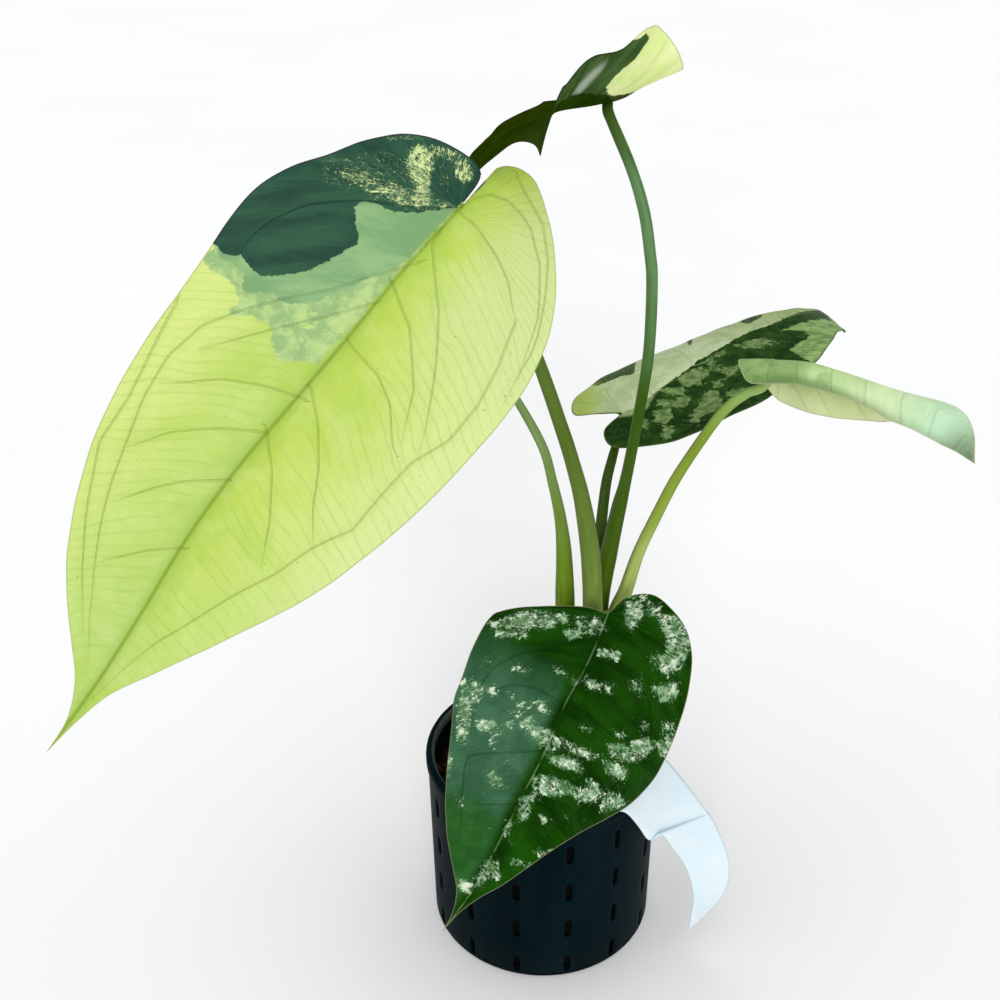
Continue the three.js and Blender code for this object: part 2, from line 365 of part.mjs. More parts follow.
// ---------------------------------------------------------------- pot
function makePot() {
  const R = POT_RIM_RADIUS, H = POT_HEIGHT;
  const inner = (z) => POT_BASE_RADIUS + ((POT_TOP_RADIUS - POT_BASE_RADIUS) * z) / H - POT_WALL;
  const profile = [
    [0, 0], [POT_BASE_RADIUS - 1.6, 0], [POT_BASE_RADIUS - 0.4, 0.5], [POT_BASE_RADIUS, 1.7],
    [POT_TOP_RADIUS, H - 6.2], [R - 0.7, H - 5.6], [R, H - 4.6], [R, H - 2.0], [R - 0.6, H - 0.6],
    [R - 1.8, H], [R - 2.8, H - 0.15], [R - 3.7, H - 0.9], [R - RIM_WIDTH, H - 2.2],
    [R - RIM_WIDTH + 0.1, H - 4.6], [inner(H - 7), H - 7],
    [inner(POT_FLOOR + 2), POT_FLOOR + 2], [inner(POT_FLOOR) - 1.4, POT_FLOOR], [0, POT_FLOOR],
  ];
  let pot = revolved(profile, POT_SEGMENTS);
  const cuts = [];
  for (let k = 0; k < SLOT_COLUMNS; k++) {
    const angle = SLOT_FIRST_ANGLE + (360 / SLOT_COLUMNS) * k;
    for (const z of SLOT_ROWS) {
      const slot = new THREE.BoxGeometry(8, SLOT_WIDTH, SLOT_LENGTH);
      cuts.push(solidOf(slot.translate(POT_TOP_RADIUS - 1, 0, z).rotateZ((angle * Math.PI) / 180)));
    }
  }
  for (let k = 0; k < DRAIN_HOLES; k++) {
    const drain = new THREE.CylinderGeometry(DRAIN_RADIUS, DRAIN_RADIUS, POT_FLOOR + 4, 12);
    cuts.push(solidOf(drain.rotateX(Math.PI / 2).translate(DRAIN_CIRCLE, 0, POT_FLOOR / 2)
      .rotateZ(((2 * Math.PI) / DRAIN_HOLES) * (k + 0.5))));
  }
  return pot.subtract(wasm.Manifold.union(cuts));
}

// ---------------------------------------------------------------- potting mix
function makeMix(stemHole) {
  const inner = (z) => POT_BASE_RADIUS + ((POT_TOP_RADIUS - POT_BASE_RADIUS) * z) / POT_HEIGHT - POT_WALL - GAP;
  const s = new Shell();
  const n = 28;
  const bumps = (x, y) => 1.1 * Math.sin(x * 0.19 + 1.3) * Math.cos(y * 0.23 - 0.4) + 0.7 * Math.sin(x * 0.41 - y * 0.33 + 2.1);
  const rings = [
    ['flat', 0, POT_FLOOR + GAP], ['flat', inner(POT_FLOOR) - 2.2, POT_FLOOR + GAP], ['flat', inner(5) - 0.1, POT_FLOOR + 2.6],
    ['flat', inner(MIX_TOP - 3), MIX_TOP - 3], ['top', inner(MIX_TOP) - 0.4, MIX_TOP - 1.2], ['top', 40, MIX_TOP],
    ['top', 29, MIX_TOP + 0.6], ['top', 18, MIX_TOP + 1.0], ['top', 8, MIX_TOP + 1.2], ['top', 0, MIX_TOP + 1.2],
  ].map(([kind, r, z]) => {
    const row = [];
    for (let k = 0; k < n; k++) {
      const a = (2 * Math.PI * k) / n, x = r * Math.cos(a), y = r * Math.sin(a);
      row.push(s.point([x, y, kind === 'top' ? z + bumps(x, y) : z]));
    }
    return row;
  });
  for (let i = 0; i + 1 < rings.length; i++) {
    for (let k = 0; k < n; k++) {
      const m = (k + 1) % n;
      s.quad(rings[i][k], rings[i][m], rings[i + 1][m], rings[i + 1][k]);
    }
  }
  return solidOf(s.geometry()).subtract(stemHole);
}

// ---------------------------------------------------------------- label
// Strip given by its two edges; each station is [front edge, back edge].
function makeLabel(stations, thickness) {
  const s = new Shell();
  const across = 3;
  const n = stations.length - 1;
  const at = (i, j) => mix(stations[i][0], stations[i][1], j / across);
  const facing = (i, j) => {
    const a = sub(at(Math.min(i + 1, n), j), at(Math.max(i - 1, 0), j));
    const b = sub(stations[Math.min(i, n - 1)][1], stations[Math.min(i, n - 1)][0]);
    return unit(cross(a, b));
  };
  const top = [], low = [];
  for (let i = 0; i <= n; i++) {
    const a = [], b = [];
    for (let j = 0; j <= across; j++) {
      const p = at(i, j), f = facing(i, j);
      a.push(s.point(add(p, f, thickness / 2)));
      b.push(s.point(add(p, f, -thickness / 2)));
    }
    top.push(a);
    low.push(b);
  }
  for (let i = 0; i < n; i++) {
    for (let j = 0; j < across; j++) {
      s.quad(top[i][j], top[i + 1][j], top[i + 1][j + 1], top[i][j + 1]);
      s.quad(low[i][j], low[i][j + 1], low[i + 1][j + 1], low[i + 1][j]);
    }
    s.quad(top[i][0], low[i][0], low[i + 1][0], top[i + 1][0]);
    s.quad(top[i][across], top[i + 1][across], low[i + 1][across], low[i][across]);
  }
  for (let j = 0; j < across; j++) {
    s.quad(top[0][j], top[0][j + 1], low[0][j + 1], low[0][j]);
    s.quad(top[n][j], low[n][j], low[n][j + 1], top[n][j + 1]);
  }
  return solidOf(s.geometry());
}

// ---------------------------------------------------------------- assembly
const plant = new THREE.Group();
plant.name = 'potted_variegated_syngonium';

function place(group, name, solid, color, roughness, metalness = 0) {
  const mesh = new THREE.Mesh(geometryOf(solid), new THREE.MeshStandardMaterial({ color, roughness, metalness }));
  mesh.name = name;
  group.add(mesh);
}
function newGroup() {
  const group = new THREE.Group();
  plant.add(group);
  return group;
}

const container = newGroup();
place(container, 'pot', makePot(), 0x14191d, 0.42);
place(container, 'potting_mix', main(makeMix(stalk(STEM, 12, 12, GAP))), 0x3a2c20, 0.95);
place(container, 'plant_label', makeLabel(LABEL, LABEL_THICKNESS), 0xe9f1f7, 0.5);
place(newGroup(), 'stem', stalk(STEM, 12, 12), 0x5c7a34, 0.6);

// one group per leaf: its petiole, cut clear of the stem, of the other petioles and of the
// blade, and its blade
const taken = [stalk(STEM, 12, 12, GAP)];
for (const leaf of LEAVES) {
  const group = newGroup();
  const body = stalk(leaf.petiole, leaf.petioleSections, PETIOLE_SIDES)
    .subtract(wasm.Manifold.union(taken))
    .subtract(blade(leaf, BLADE_THICKNESS + 2 * GAP));
  place(group, 'petiole_' + leaf.name, main(body), leaf.petioleColor, 0.5);
  place(group, 'blade_' + leaf.name, blade(leaf, BLADE_THICKNESS), leaf.color, 0.45);
  taken.push(stalk(leaf.petiole, leaf.petioleSections, PETIOLE_SIDES, GAP));
}

export default plant;
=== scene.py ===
# Potted variegated Syngonium chiapense: looks of every piece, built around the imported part.
# Metres, +Z up, the viewer of the photo stands at -Y.
import math

import bpy
import numpy as np
from mathutils import Matrix, Vector
from mathutils.geometry import delaunay_2d_cdt


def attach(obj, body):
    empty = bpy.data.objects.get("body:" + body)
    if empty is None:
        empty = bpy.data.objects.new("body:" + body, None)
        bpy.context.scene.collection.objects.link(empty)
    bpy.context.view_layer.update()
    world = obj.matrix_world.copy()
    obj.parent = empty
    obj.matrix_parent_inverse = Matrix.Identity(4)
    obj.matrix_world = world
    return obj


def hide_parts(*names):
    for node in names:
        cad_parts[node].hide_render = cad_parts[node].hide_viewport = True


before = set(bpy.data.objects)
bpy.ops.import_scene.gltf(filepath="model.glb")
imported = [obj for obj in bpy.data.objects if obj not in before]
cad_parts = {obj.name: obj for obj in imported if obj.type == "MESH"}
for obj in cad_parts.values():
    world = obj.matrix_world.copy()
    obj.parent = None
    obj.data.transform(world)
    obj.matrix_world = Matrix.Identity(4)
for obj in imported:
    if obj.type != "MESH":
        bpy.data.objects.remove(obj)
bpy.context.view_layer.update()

MM = 0.001

# ------------------------------------------------------------------ measured shapes (millimetres)
STEM = [[23, 3, 62, 7], [23.3, 3, 76, 6.7], [23, 3, 92, 6.2], [22.7, 3, 108, 5.8], [23, 3, 122, 5.2], [23, 3, 127, 3.6]]

POT = dict(height=94.2, rim=54.0, top=53.2, base=52.1, wall=1.5, floor=2.2, rim_width=4.1, columns=14, first_angle=-78.6,
           slot_rows=[7.6, 30.4, 53.2, 76.0], slot_width=3.2, slot_length=11.0, holes=8, hole_radius=4.0, hole_circle=36.0)

# Each leaf: midrib from petiole to tip with the top-face normals at the same stations, fold
# (degrees) and curl (1/mm) of both halves from the lobes to the tip, margins [u, v] around the
# lobe to the tip, and the petiole as [x, y, z, radius].
LEAVES = [
    {
        'name': 'a', 'length': 228.6, 'ulo': -0.3, 'bend': -57,
        'mid': [[-30.94, -51.96, 363.16], [-49.89, -63.57, 345.86], [-67.66, -74.64, 327.45], [-85.85, -85.18, 309.2], [-104.04, -95.19, 290.65], [-120.92, -104.66, 270.3], [-136.59, -113.59, 247.73], [-153.21, -121.99, 224.76], [-171.63, -129.86, 202.07]],
        'normal': [[0.0276, -0.9267, 0.3747], [0.0707, -0.9139, 0.3998], [0.1118, -0.8974, 0.4268], [0.154, -0.8783, 0.4526], [0.1959, -0.8566, 0.4774], [0.2337, -0.8317, 0.5036], [0.267, -0.804, 0.5313], [0.3006, -0.7748, 0.5562], [0.3361, -0.7447, 0.5766]],
        'fold': [[4, 6, 6, 5, 4, 3, 2], [4, 6, 6, 5, 4, 3, 2]],
        'curl': [[-0.00105, -0.00105, -0.00105, -0.00105, -0.00158, -0.00158, -0.00158], [-0.00105, -0.00105, -0.00105, -0.00105, -0.00158, -0.00158, -0.00158]],
        'margin': [
            [[0, 0], [-0.0615, 2.83], [-0.0557, 17.14], [-0.025, 28.59], [0.0222, 36.41], [0.074, 41.87], [0.1202, 48.15], [0.1686, 51.97], [0.2302, 52.24], [0.2951, 50.78], [0.3565, 49.54], [0.4198, 48.44], [0.476, 46.57], [0.5298, 44.26], [0.5843, 41.59], [0.6359, 37.76], [0.6875, 33.54], [0.7434, 28.45], [0.7949, 21.43], [0.8422, 13.59], [0.8895, 6.04], [0.9426, 1.11], [1, 0]],
            [[0, 0], [-0.0818, 0], [-0.1078, 10.49], [-0.0765, 24.19], [-0.0381, 34.58], [0.0074, 43.92], [0.0587, 50.81], [0.126, 54.97], [0.1973, 56.05], [0.2519, 55.72], [0.309, 55.27], [0.3663, 54.36], [0.421, 52.78], [0.4837, 50.59], [0.5484, 47.38], [0.6109, 42.57], [0.6722, 36.14], [0.7238, 28.65], [0.7733, 20.98], [0.825, 13.31], [0.878, 5.71], [0.9382, 2.03], [1, 0]],
        ],
        'petiole': [[19.75, -2.63, 100, 4.3], [21.26, -2, 154.84, 4.3], [20.75, -4, 177.75, 4.25], [19.15, -5, 201.06, 4.1], [15.12, -6, 227.19, 3.35], [10.63, -7, 245.76, 2.95], [6.19, -8, 261.05, 2.75], [-2.85, -10, 289.41, 2.5], [-12.58, -14, 315.72, 2.4], [-21.54, -23, 337.31, 2.4], [-32.84, -37.89, 355.78, 2.4], [-31.65, -46.68, 360.39, 2.4], [-30.95, -51.87, 363.11, 2.2]],
    },
    {
        'name': 'b', 'length': 125.6, 'ulo': -0.2, 'bend': 0,
        'mid': [[23.3, 26.13, 379.46], [15.65, 10.07, 381.83], [9.23, -6.38, 385.01], [4.2, -23.28, 388.32], [0.52, -40.61, 391.15], [-2.03, -58.29, 392.89], [-3.92, -76.13, 393.01], [-5.83, -93.86, 391.02]],
        'normal': [[-0.3394, 0.023, -0.9403], [-0.2434, -0.0599, -0.9681], [-0.13, -0.1464, -0.9806], [0.007, -0.1782, -0.984], [0.1487, -0.1538, -0.9768], [0.2791, -0.0851, -0.9565], [0.3915, 0.0066, -0.9202], [0.4812, 0.0464, -0.8754]],
        'fold': [[-61.35, -46.45, -37.46, -36.28, -44.86, -50.02, -49.84], [25.52, 17.65, 13.28, 12.75, 16.85, 2.24, -31.42]],
        'curl': [[0.02034, 0.00074, -0.01323, -0.01091, -0.00181, 0.00794, 0.01885], [-0.00369, 0.00548, 0.01241, 0.01275, 0.0105, 0.00836, 0.00588]],
        'margin': [
            [[0, 0], [-0.1118, 3.27], [-0.0675, 14.78], [-0.0381, 23.66], [-0.0066, 30.7], [0.0825, 35.55], [0.1565, 37.63], [0.2293, 38.8], [0.3013, 38.98], [0.3768, 35.1], [0.4156, 27.49], [0.4998, 23.55], [0.5764, 21.22], [0.6466, 17.45], [0.7139, 12.66], [0.7936, 12.08], [0.8597, 6.97], [0.9262, 2.31], [1, 0]],
            [[0, 0], [-0.0648, 4.53], [-0.0847, 13.95], [-0.054, 25.35], [0.0391, 26.38], [0.1068, 30.6], [0.1747, 35.29], [0.2519, 35.78], [0.328, 36.08], [0.4011, 38.39], [0.4844, 40.1], [0.5449, 35.65], [0.6097, 28.4], [0.6735, 22.43], [0.7369, 17.41], [0.8, 12.31], [0.8621, 7.02], [0.9275, 2.4], [1, 0]],
        ],
        'petiole': [[26.73, 8.32, 106, 4], [25.3, 8.5, 147.31, 4.1], [25.06, 8, 169.7, 4.1], [27.96, 7, 193.54, 3.8], [31.19, 5, 216.46, 3.2], [34.07, 4, 234.14, 2.4], [38.29, 3, 267.29, 2.25], [40.41, 3, 290.09, 2.25], [40.5, 5, 316.86, 2.3], [39.16, 7, 329.27, 2.3], [37.34, 9, 340.31, 2.25], [34.67, 11, 350.06, 2.2], [31.2, 14, 359.42, 2.15], [27.4, 18, 367.71, 2.15], [24.38, 21, 374.02, 2.05], [22.93, 23, 377.6, 2.15], [23.3, 26.13, 379.46, 1.9]],
    },
    {
        'name': 'c', 'length': 161.4, 'ulo': -0.2, 'bend': 0,
        'mid': [[35.14, 43.92, 242.94], [54.04, 54.82, 250.32], [72.54, 66.91, 256.81], [90.82, 80.13, 261.41], [108.83, 94.39, 263.1], [126.16, 109.39, 260.84], [142.01, 124.5, 253.71], [155.21, 138.61, 241.17]],
        'normal': [[-0.2373, -0.2282, 0.9443], [-0.2124, -0.2276, 0.9503], [-0.141, -0.2181, 0.9657], [-0.029, -0.1866, 0.982], [0.1229, -0.1293, 0.984], [0.3089, -0.0442, 0.9501], [0.5135, 0.0653, 0.8556], [0.6391, 0.0819, 0.7648]],
        'fold': [[6.31, 2.21, -0.21, 0.18, 8.2, 5.63, -8.63], [-8.67, -6.56, -8.7, -14.29, -16.52, -9.1, 7.17]],
        'curl': [[0.00043, 0.0036, 0.00594, 0.00616, 0.00489, 0.00201, -0.00155], [-0.00471, -0.00686, -0.00887, -0.01144, -0.01194, -0.00672, 0.00044]],
        'margin': [
            [[0, 0], [-0.0779, 3.78], [-0.1062, 16.61], [-0.054, 27.08], [0.0067, 34.85], [0.078, 39.49], [0.1518, 42.39], [0.2267, 45.57], [0.3031, 43.74], [0.378, 42.1], [0.4536, 40.57], [0.5254, 36.39], [0.593, 30.84], [0.658, 24.61], [0.7254, 19.15], [0.7987, 15.64], [0.8669, 10.5], [0.9334, 5.56], [1, 0]],
            [[0, 0], [-0.0479, 10.47], [-0.0798, 20.79], [-0.035, 33.01], [0.0391, 38.87], [0.1103, 41.55], [0.1828, 41], [0.254, 41.8], [0.3261, 42.39], [0.3985, 41.11], [0.4687, 37.95], [0.5381, 34.27], [0.5704, 25.27], [0.627, 20.46], [0.6894, 15.35], [0.7792, 12.56], [0.8964, 12.48], [0.9291, 12], [1, 0]],
        ],
        'petiole': [[20.78, 9.11, 98, 3.2], [24.87, 15.5, 164.17, 3], [24.73, 16.5, 187.19, 2.8], [25.74, 20, 203.43, 2.45], [27.7, 26, 217.99, 2.25], [30.2, 31, 226.61, 2.05], [32.85, 37, 233.27, 1.75], [35.44, 44.37, 239.95, 1.6], [35.17, 43.94, 242.85, 1.4]],
    },
    {
        'name': 'd', 'length': 94.6, 'ulo': -0.2, 'bend': 0,
        'mid': [[90.87, 6.41, 283.64], [102.15, -2.21, 286.15], [112.89, -11.04, 286.04], [123.12, -20.09, 285.43], [132.85, -29.36, 284.82], [141.83, -38.84, 283.4], [148.52, -48.54, 278.23], [151.48, -58.45, 270.31]],
        'normal': [[0.1915, 0.4968, 0.8465], [0.2421, 0.4253, 0.8721], [0.2959, 0.3107, 0.9033], [0.259, 0.2194, 0.9406], [0.1938, 0.0877, 0.9771], [0.1682, -0.1945, 0.9664], [0.0045, -0.554, 0.8325], [-0.358, -0.6462, 0.6739]],
        'fold': [[-27.16, -17.2, -10.28, -8.05, -12.85, -24.86, -42.42], [-60.05, -42.17, -30.54, -23.83, -5.55, -5.43, -24.8]],
        'curl': [[-0.07729, -0.0628, -0.0518, -0.05144, -0.05425, -0.05432, -0.05407], [-0.0126, -0.02688, -0.03736, -0.03589, -0.03178, -0.03302, -0.03543]],
        'margin': [
            [[0, 0], [-0.0934, 1.93], [-0.1384, 3.51], [-0.1014, 9.93], [-0.0407, 16.08], [0.0463, 17.45], [0.1346, 17.92], [0.209, 17.7], [0.2832, 17.13], [0.3572, 16.24], [0.431, 15.24], [0.5052, 14.66], [0.5801, 14.65], [0.654, 13.36], [0.7277, 11.91], [0.8015, 10.02], [0.8751, 7.74], [0.9385, 4.07], [1, 0]],
            [[0, 0], [-0.0543, 4.42], [-0.0531, 11.31], [-0.0115, 16.97], [0.0504, 20.41], [0.1184, 22.43], [0.1891, 23.32], [0.2603, 23.42], [0.3314, 22.97], [0.4034, 22.87], [0.4798, 23.65], [0.5465, 21.5], [0.6178, 18.5], [0.6883, 15], [0.725, 11.5], [0.7977, 8], [0.8667, 5], [0.934, 2.2], [1, 0]],
        ],
        'petiole': [[28.89, 0.25, 110, 3.4], [30.04, 4, 155.86, 3.4], [35.62, 3, 177.58, 3.2], [40.05, 2, 196.49, 2.6], [46.17, 1, 214.24, 2.4], [53.72, 0, 233.73, 2.25], [63.67, 0, 252.42, 2.05], [71.24, 0, 264.37, 2], [79.71, 1.5, 271.03, 1.95], [87.01, 3.5, 273.52, 1.9], [90.16, 5.35, 281.47, 1.8], [90.86, 6.36, 283.56, 1.7]],
    },
    {
        'name': 'e', 'length': 154.1, 'ulo': -0.3, 'bend': -40,
        'mid': [[25.86, -22, 182.22], [17.21, -38, 170.31], [6.59, -54, 159.86], [-1.72, -66, 145.71], [-11.34, -75, 130], [-20.72, -81, 111.21], [-31.12, -85, 90.59], [-43.85, -88, 70.12]],
        'normal': [[-0.0273, -0.711, 0.7027], [-0.0146, -0.7118, 0.7022], [0.0024, -0.7133, 0.7008], [0.0171, -0.7138, 0.7002], [0.0353, -0.715, 0.6982], [0.054, -0.7163, 0.6957], [0.0753, -0.7182, 0.6918], [0.1016, -0.7218, 0.6846]],
        'fold': [[14, 14, 13, 12, 10, 8, 6], [14, 14, 13, 12, 10, 8, 6]],
        'curl': [[-0.004, -0.004, -0.004, -0.004, -0.004, -0.004, -0.004], [-0.004, -0.004, -0.004, -0.004, -0.004, -0.004, -0.004]],
        'margin': [
            [[0, 0], [0.0083, 9.3], [0.0322, 18.1], [0.0589, 26.75], [0.0917, 34.97], [0.1381, 41.63], [0.1991, 44.17], [0.2611, 43.88], [0.3222, 42.42], [0.3842, 42], [0.4451, 40.01], [0.5039, 36.96], [0.5612, 33.4], [0.6183, 29.73], [0.6756, 26.13], [0.7309, 21.87], [0.7833, 16.83], [0.8332, 11.2], [0.8828, 5.51], [0.9391, 1.62], [1, 0]],
            [[0, 0], [-0.0623, 4.72], [-0.0938, 14.18], [-0.0699, 24.42], [-0.028, 32.97], [0.0332, 38.14], [0.1001, 41.09], [0.168, 43.33], [0.2368, 44.75], [0.3064, 44.93], [0.3757, 43.75], [0.4393, 39.48], [0.4977, 33.75], [0.5571, 28.29], [0.6182, 23.28], [0.6793, 18.28], [0.7418, 13.7], [0.8046, 9.2], [0.8655, 4.15], [0.9311, 1], [1, 0]],
        ],
        'petiole': [[24.68, -3.28, 96, 3.8], [25, -6, 118, 3.5], [26, -7.5, 138, 3], [26.5, -9, 152, 2.6], [27, -11.5, 163, 2.3], [26, -16.4, 176.42, 2.2], [25.75, -19.87, 179.44, 2.1], [25.86, -21.94, 182.14, 2]],
    },
    {
        'name': 'f', 'length': 118.8, 'ulo': -0.2, 'bend': -30,
        'mid': [[-42, 30, 301.08], [-52.81, 38, 294.7], [-64.1, 46, 286.4], [-75.81, 53, 276.92], [-87.91, 59, 266.17], [-99.96, 64, 254.1], [-111.88, 68, 241.12], [-123.57, 71, 227.73]],
        'normal': [[-0.1438, 0.4908, 0.8593], [-0.2304, 0.4654, 0.8546], [-0.3535, 0.4379, 0.8266], [-0.4717, 0.3767, 0.7972], [-0.563, 0.3331, 0.7564], [-0.6421, 0.2784, 0.7142], [-0.7007, 0.2077, 0.6826], [-0.7277, 0.1506, 0.6692]],
        'fold': [[16, 15.48, 14.15, 12, 10, 8, 6], [12, 12.15, 11.48, 10, 8.67, 7.33, 6]],
        'curl': [[-0.008, -0.00856, -0.009, -0.00912, -0.009, -0.00856, -0.008], [-0.008, -0.00794, -0.008, -0.0085, -0.009, -0.00906, -0.009]],
        'margin': [
            [[0, 0], [-0.0585, 5.27], [-0.0655, 13.75], [-0.0293, 21.36], [0.0294, 26.69], [0.0961, 30.47], [0.1683, 32.47], [0.2422, 33.17], [0.3161, 32.58], [0.3891, 31.06], [0.4605, 28.67], [0.5297, 25.52], [0.5977, 21.99], [0.6652, 18.35], [0.732, 14.53], [0.7974, 10.38], [0.8615, 5.95], [0.9281, 2.1], [1, 0]],
            [[0, 0], [-0.0551, 5.86], [-0.0605, 14.52], [-0.0282, 22.48], [0.0281, 28.25], [0.0946, 32.29], [0.1672, 34.45], [0.2416, 35.22], [0.3162, 34.6], [0.3898, 32.96], [0.4614, 30.4], [0.5307, 27.05], [0.5986, 23.3], [0.666, 19.44], [0.7326, 15.39], [0.7977, 11], [0.8614, 6.33], [0.9278, 2.25], [1, 0]],
        ],
        'petiole': [[16.6, 1.87, 93, 4.2], [10.52, 4, 145.25, 4.4], [9.55, 4, 172.55, 4.45], [8.75, 4.5, 195.31, 3.45], [6.99, 5, 212.37, 2.6], [3.53, 5.5, 229.44, 2.15], [-0.78, 6, 246.02, 1.95], [-10.83, 8, 265.5, 1.7], [-21.16, 13, 280.52, 1.6], [-32.26, 20, 292.85, 1.5], [-38.81, 24.95, 296.35, 1.5], [-40.84, 27.99, 298.93, 1.5], [-41.98, 29.95, 300.99, 1.4]],
    },
]

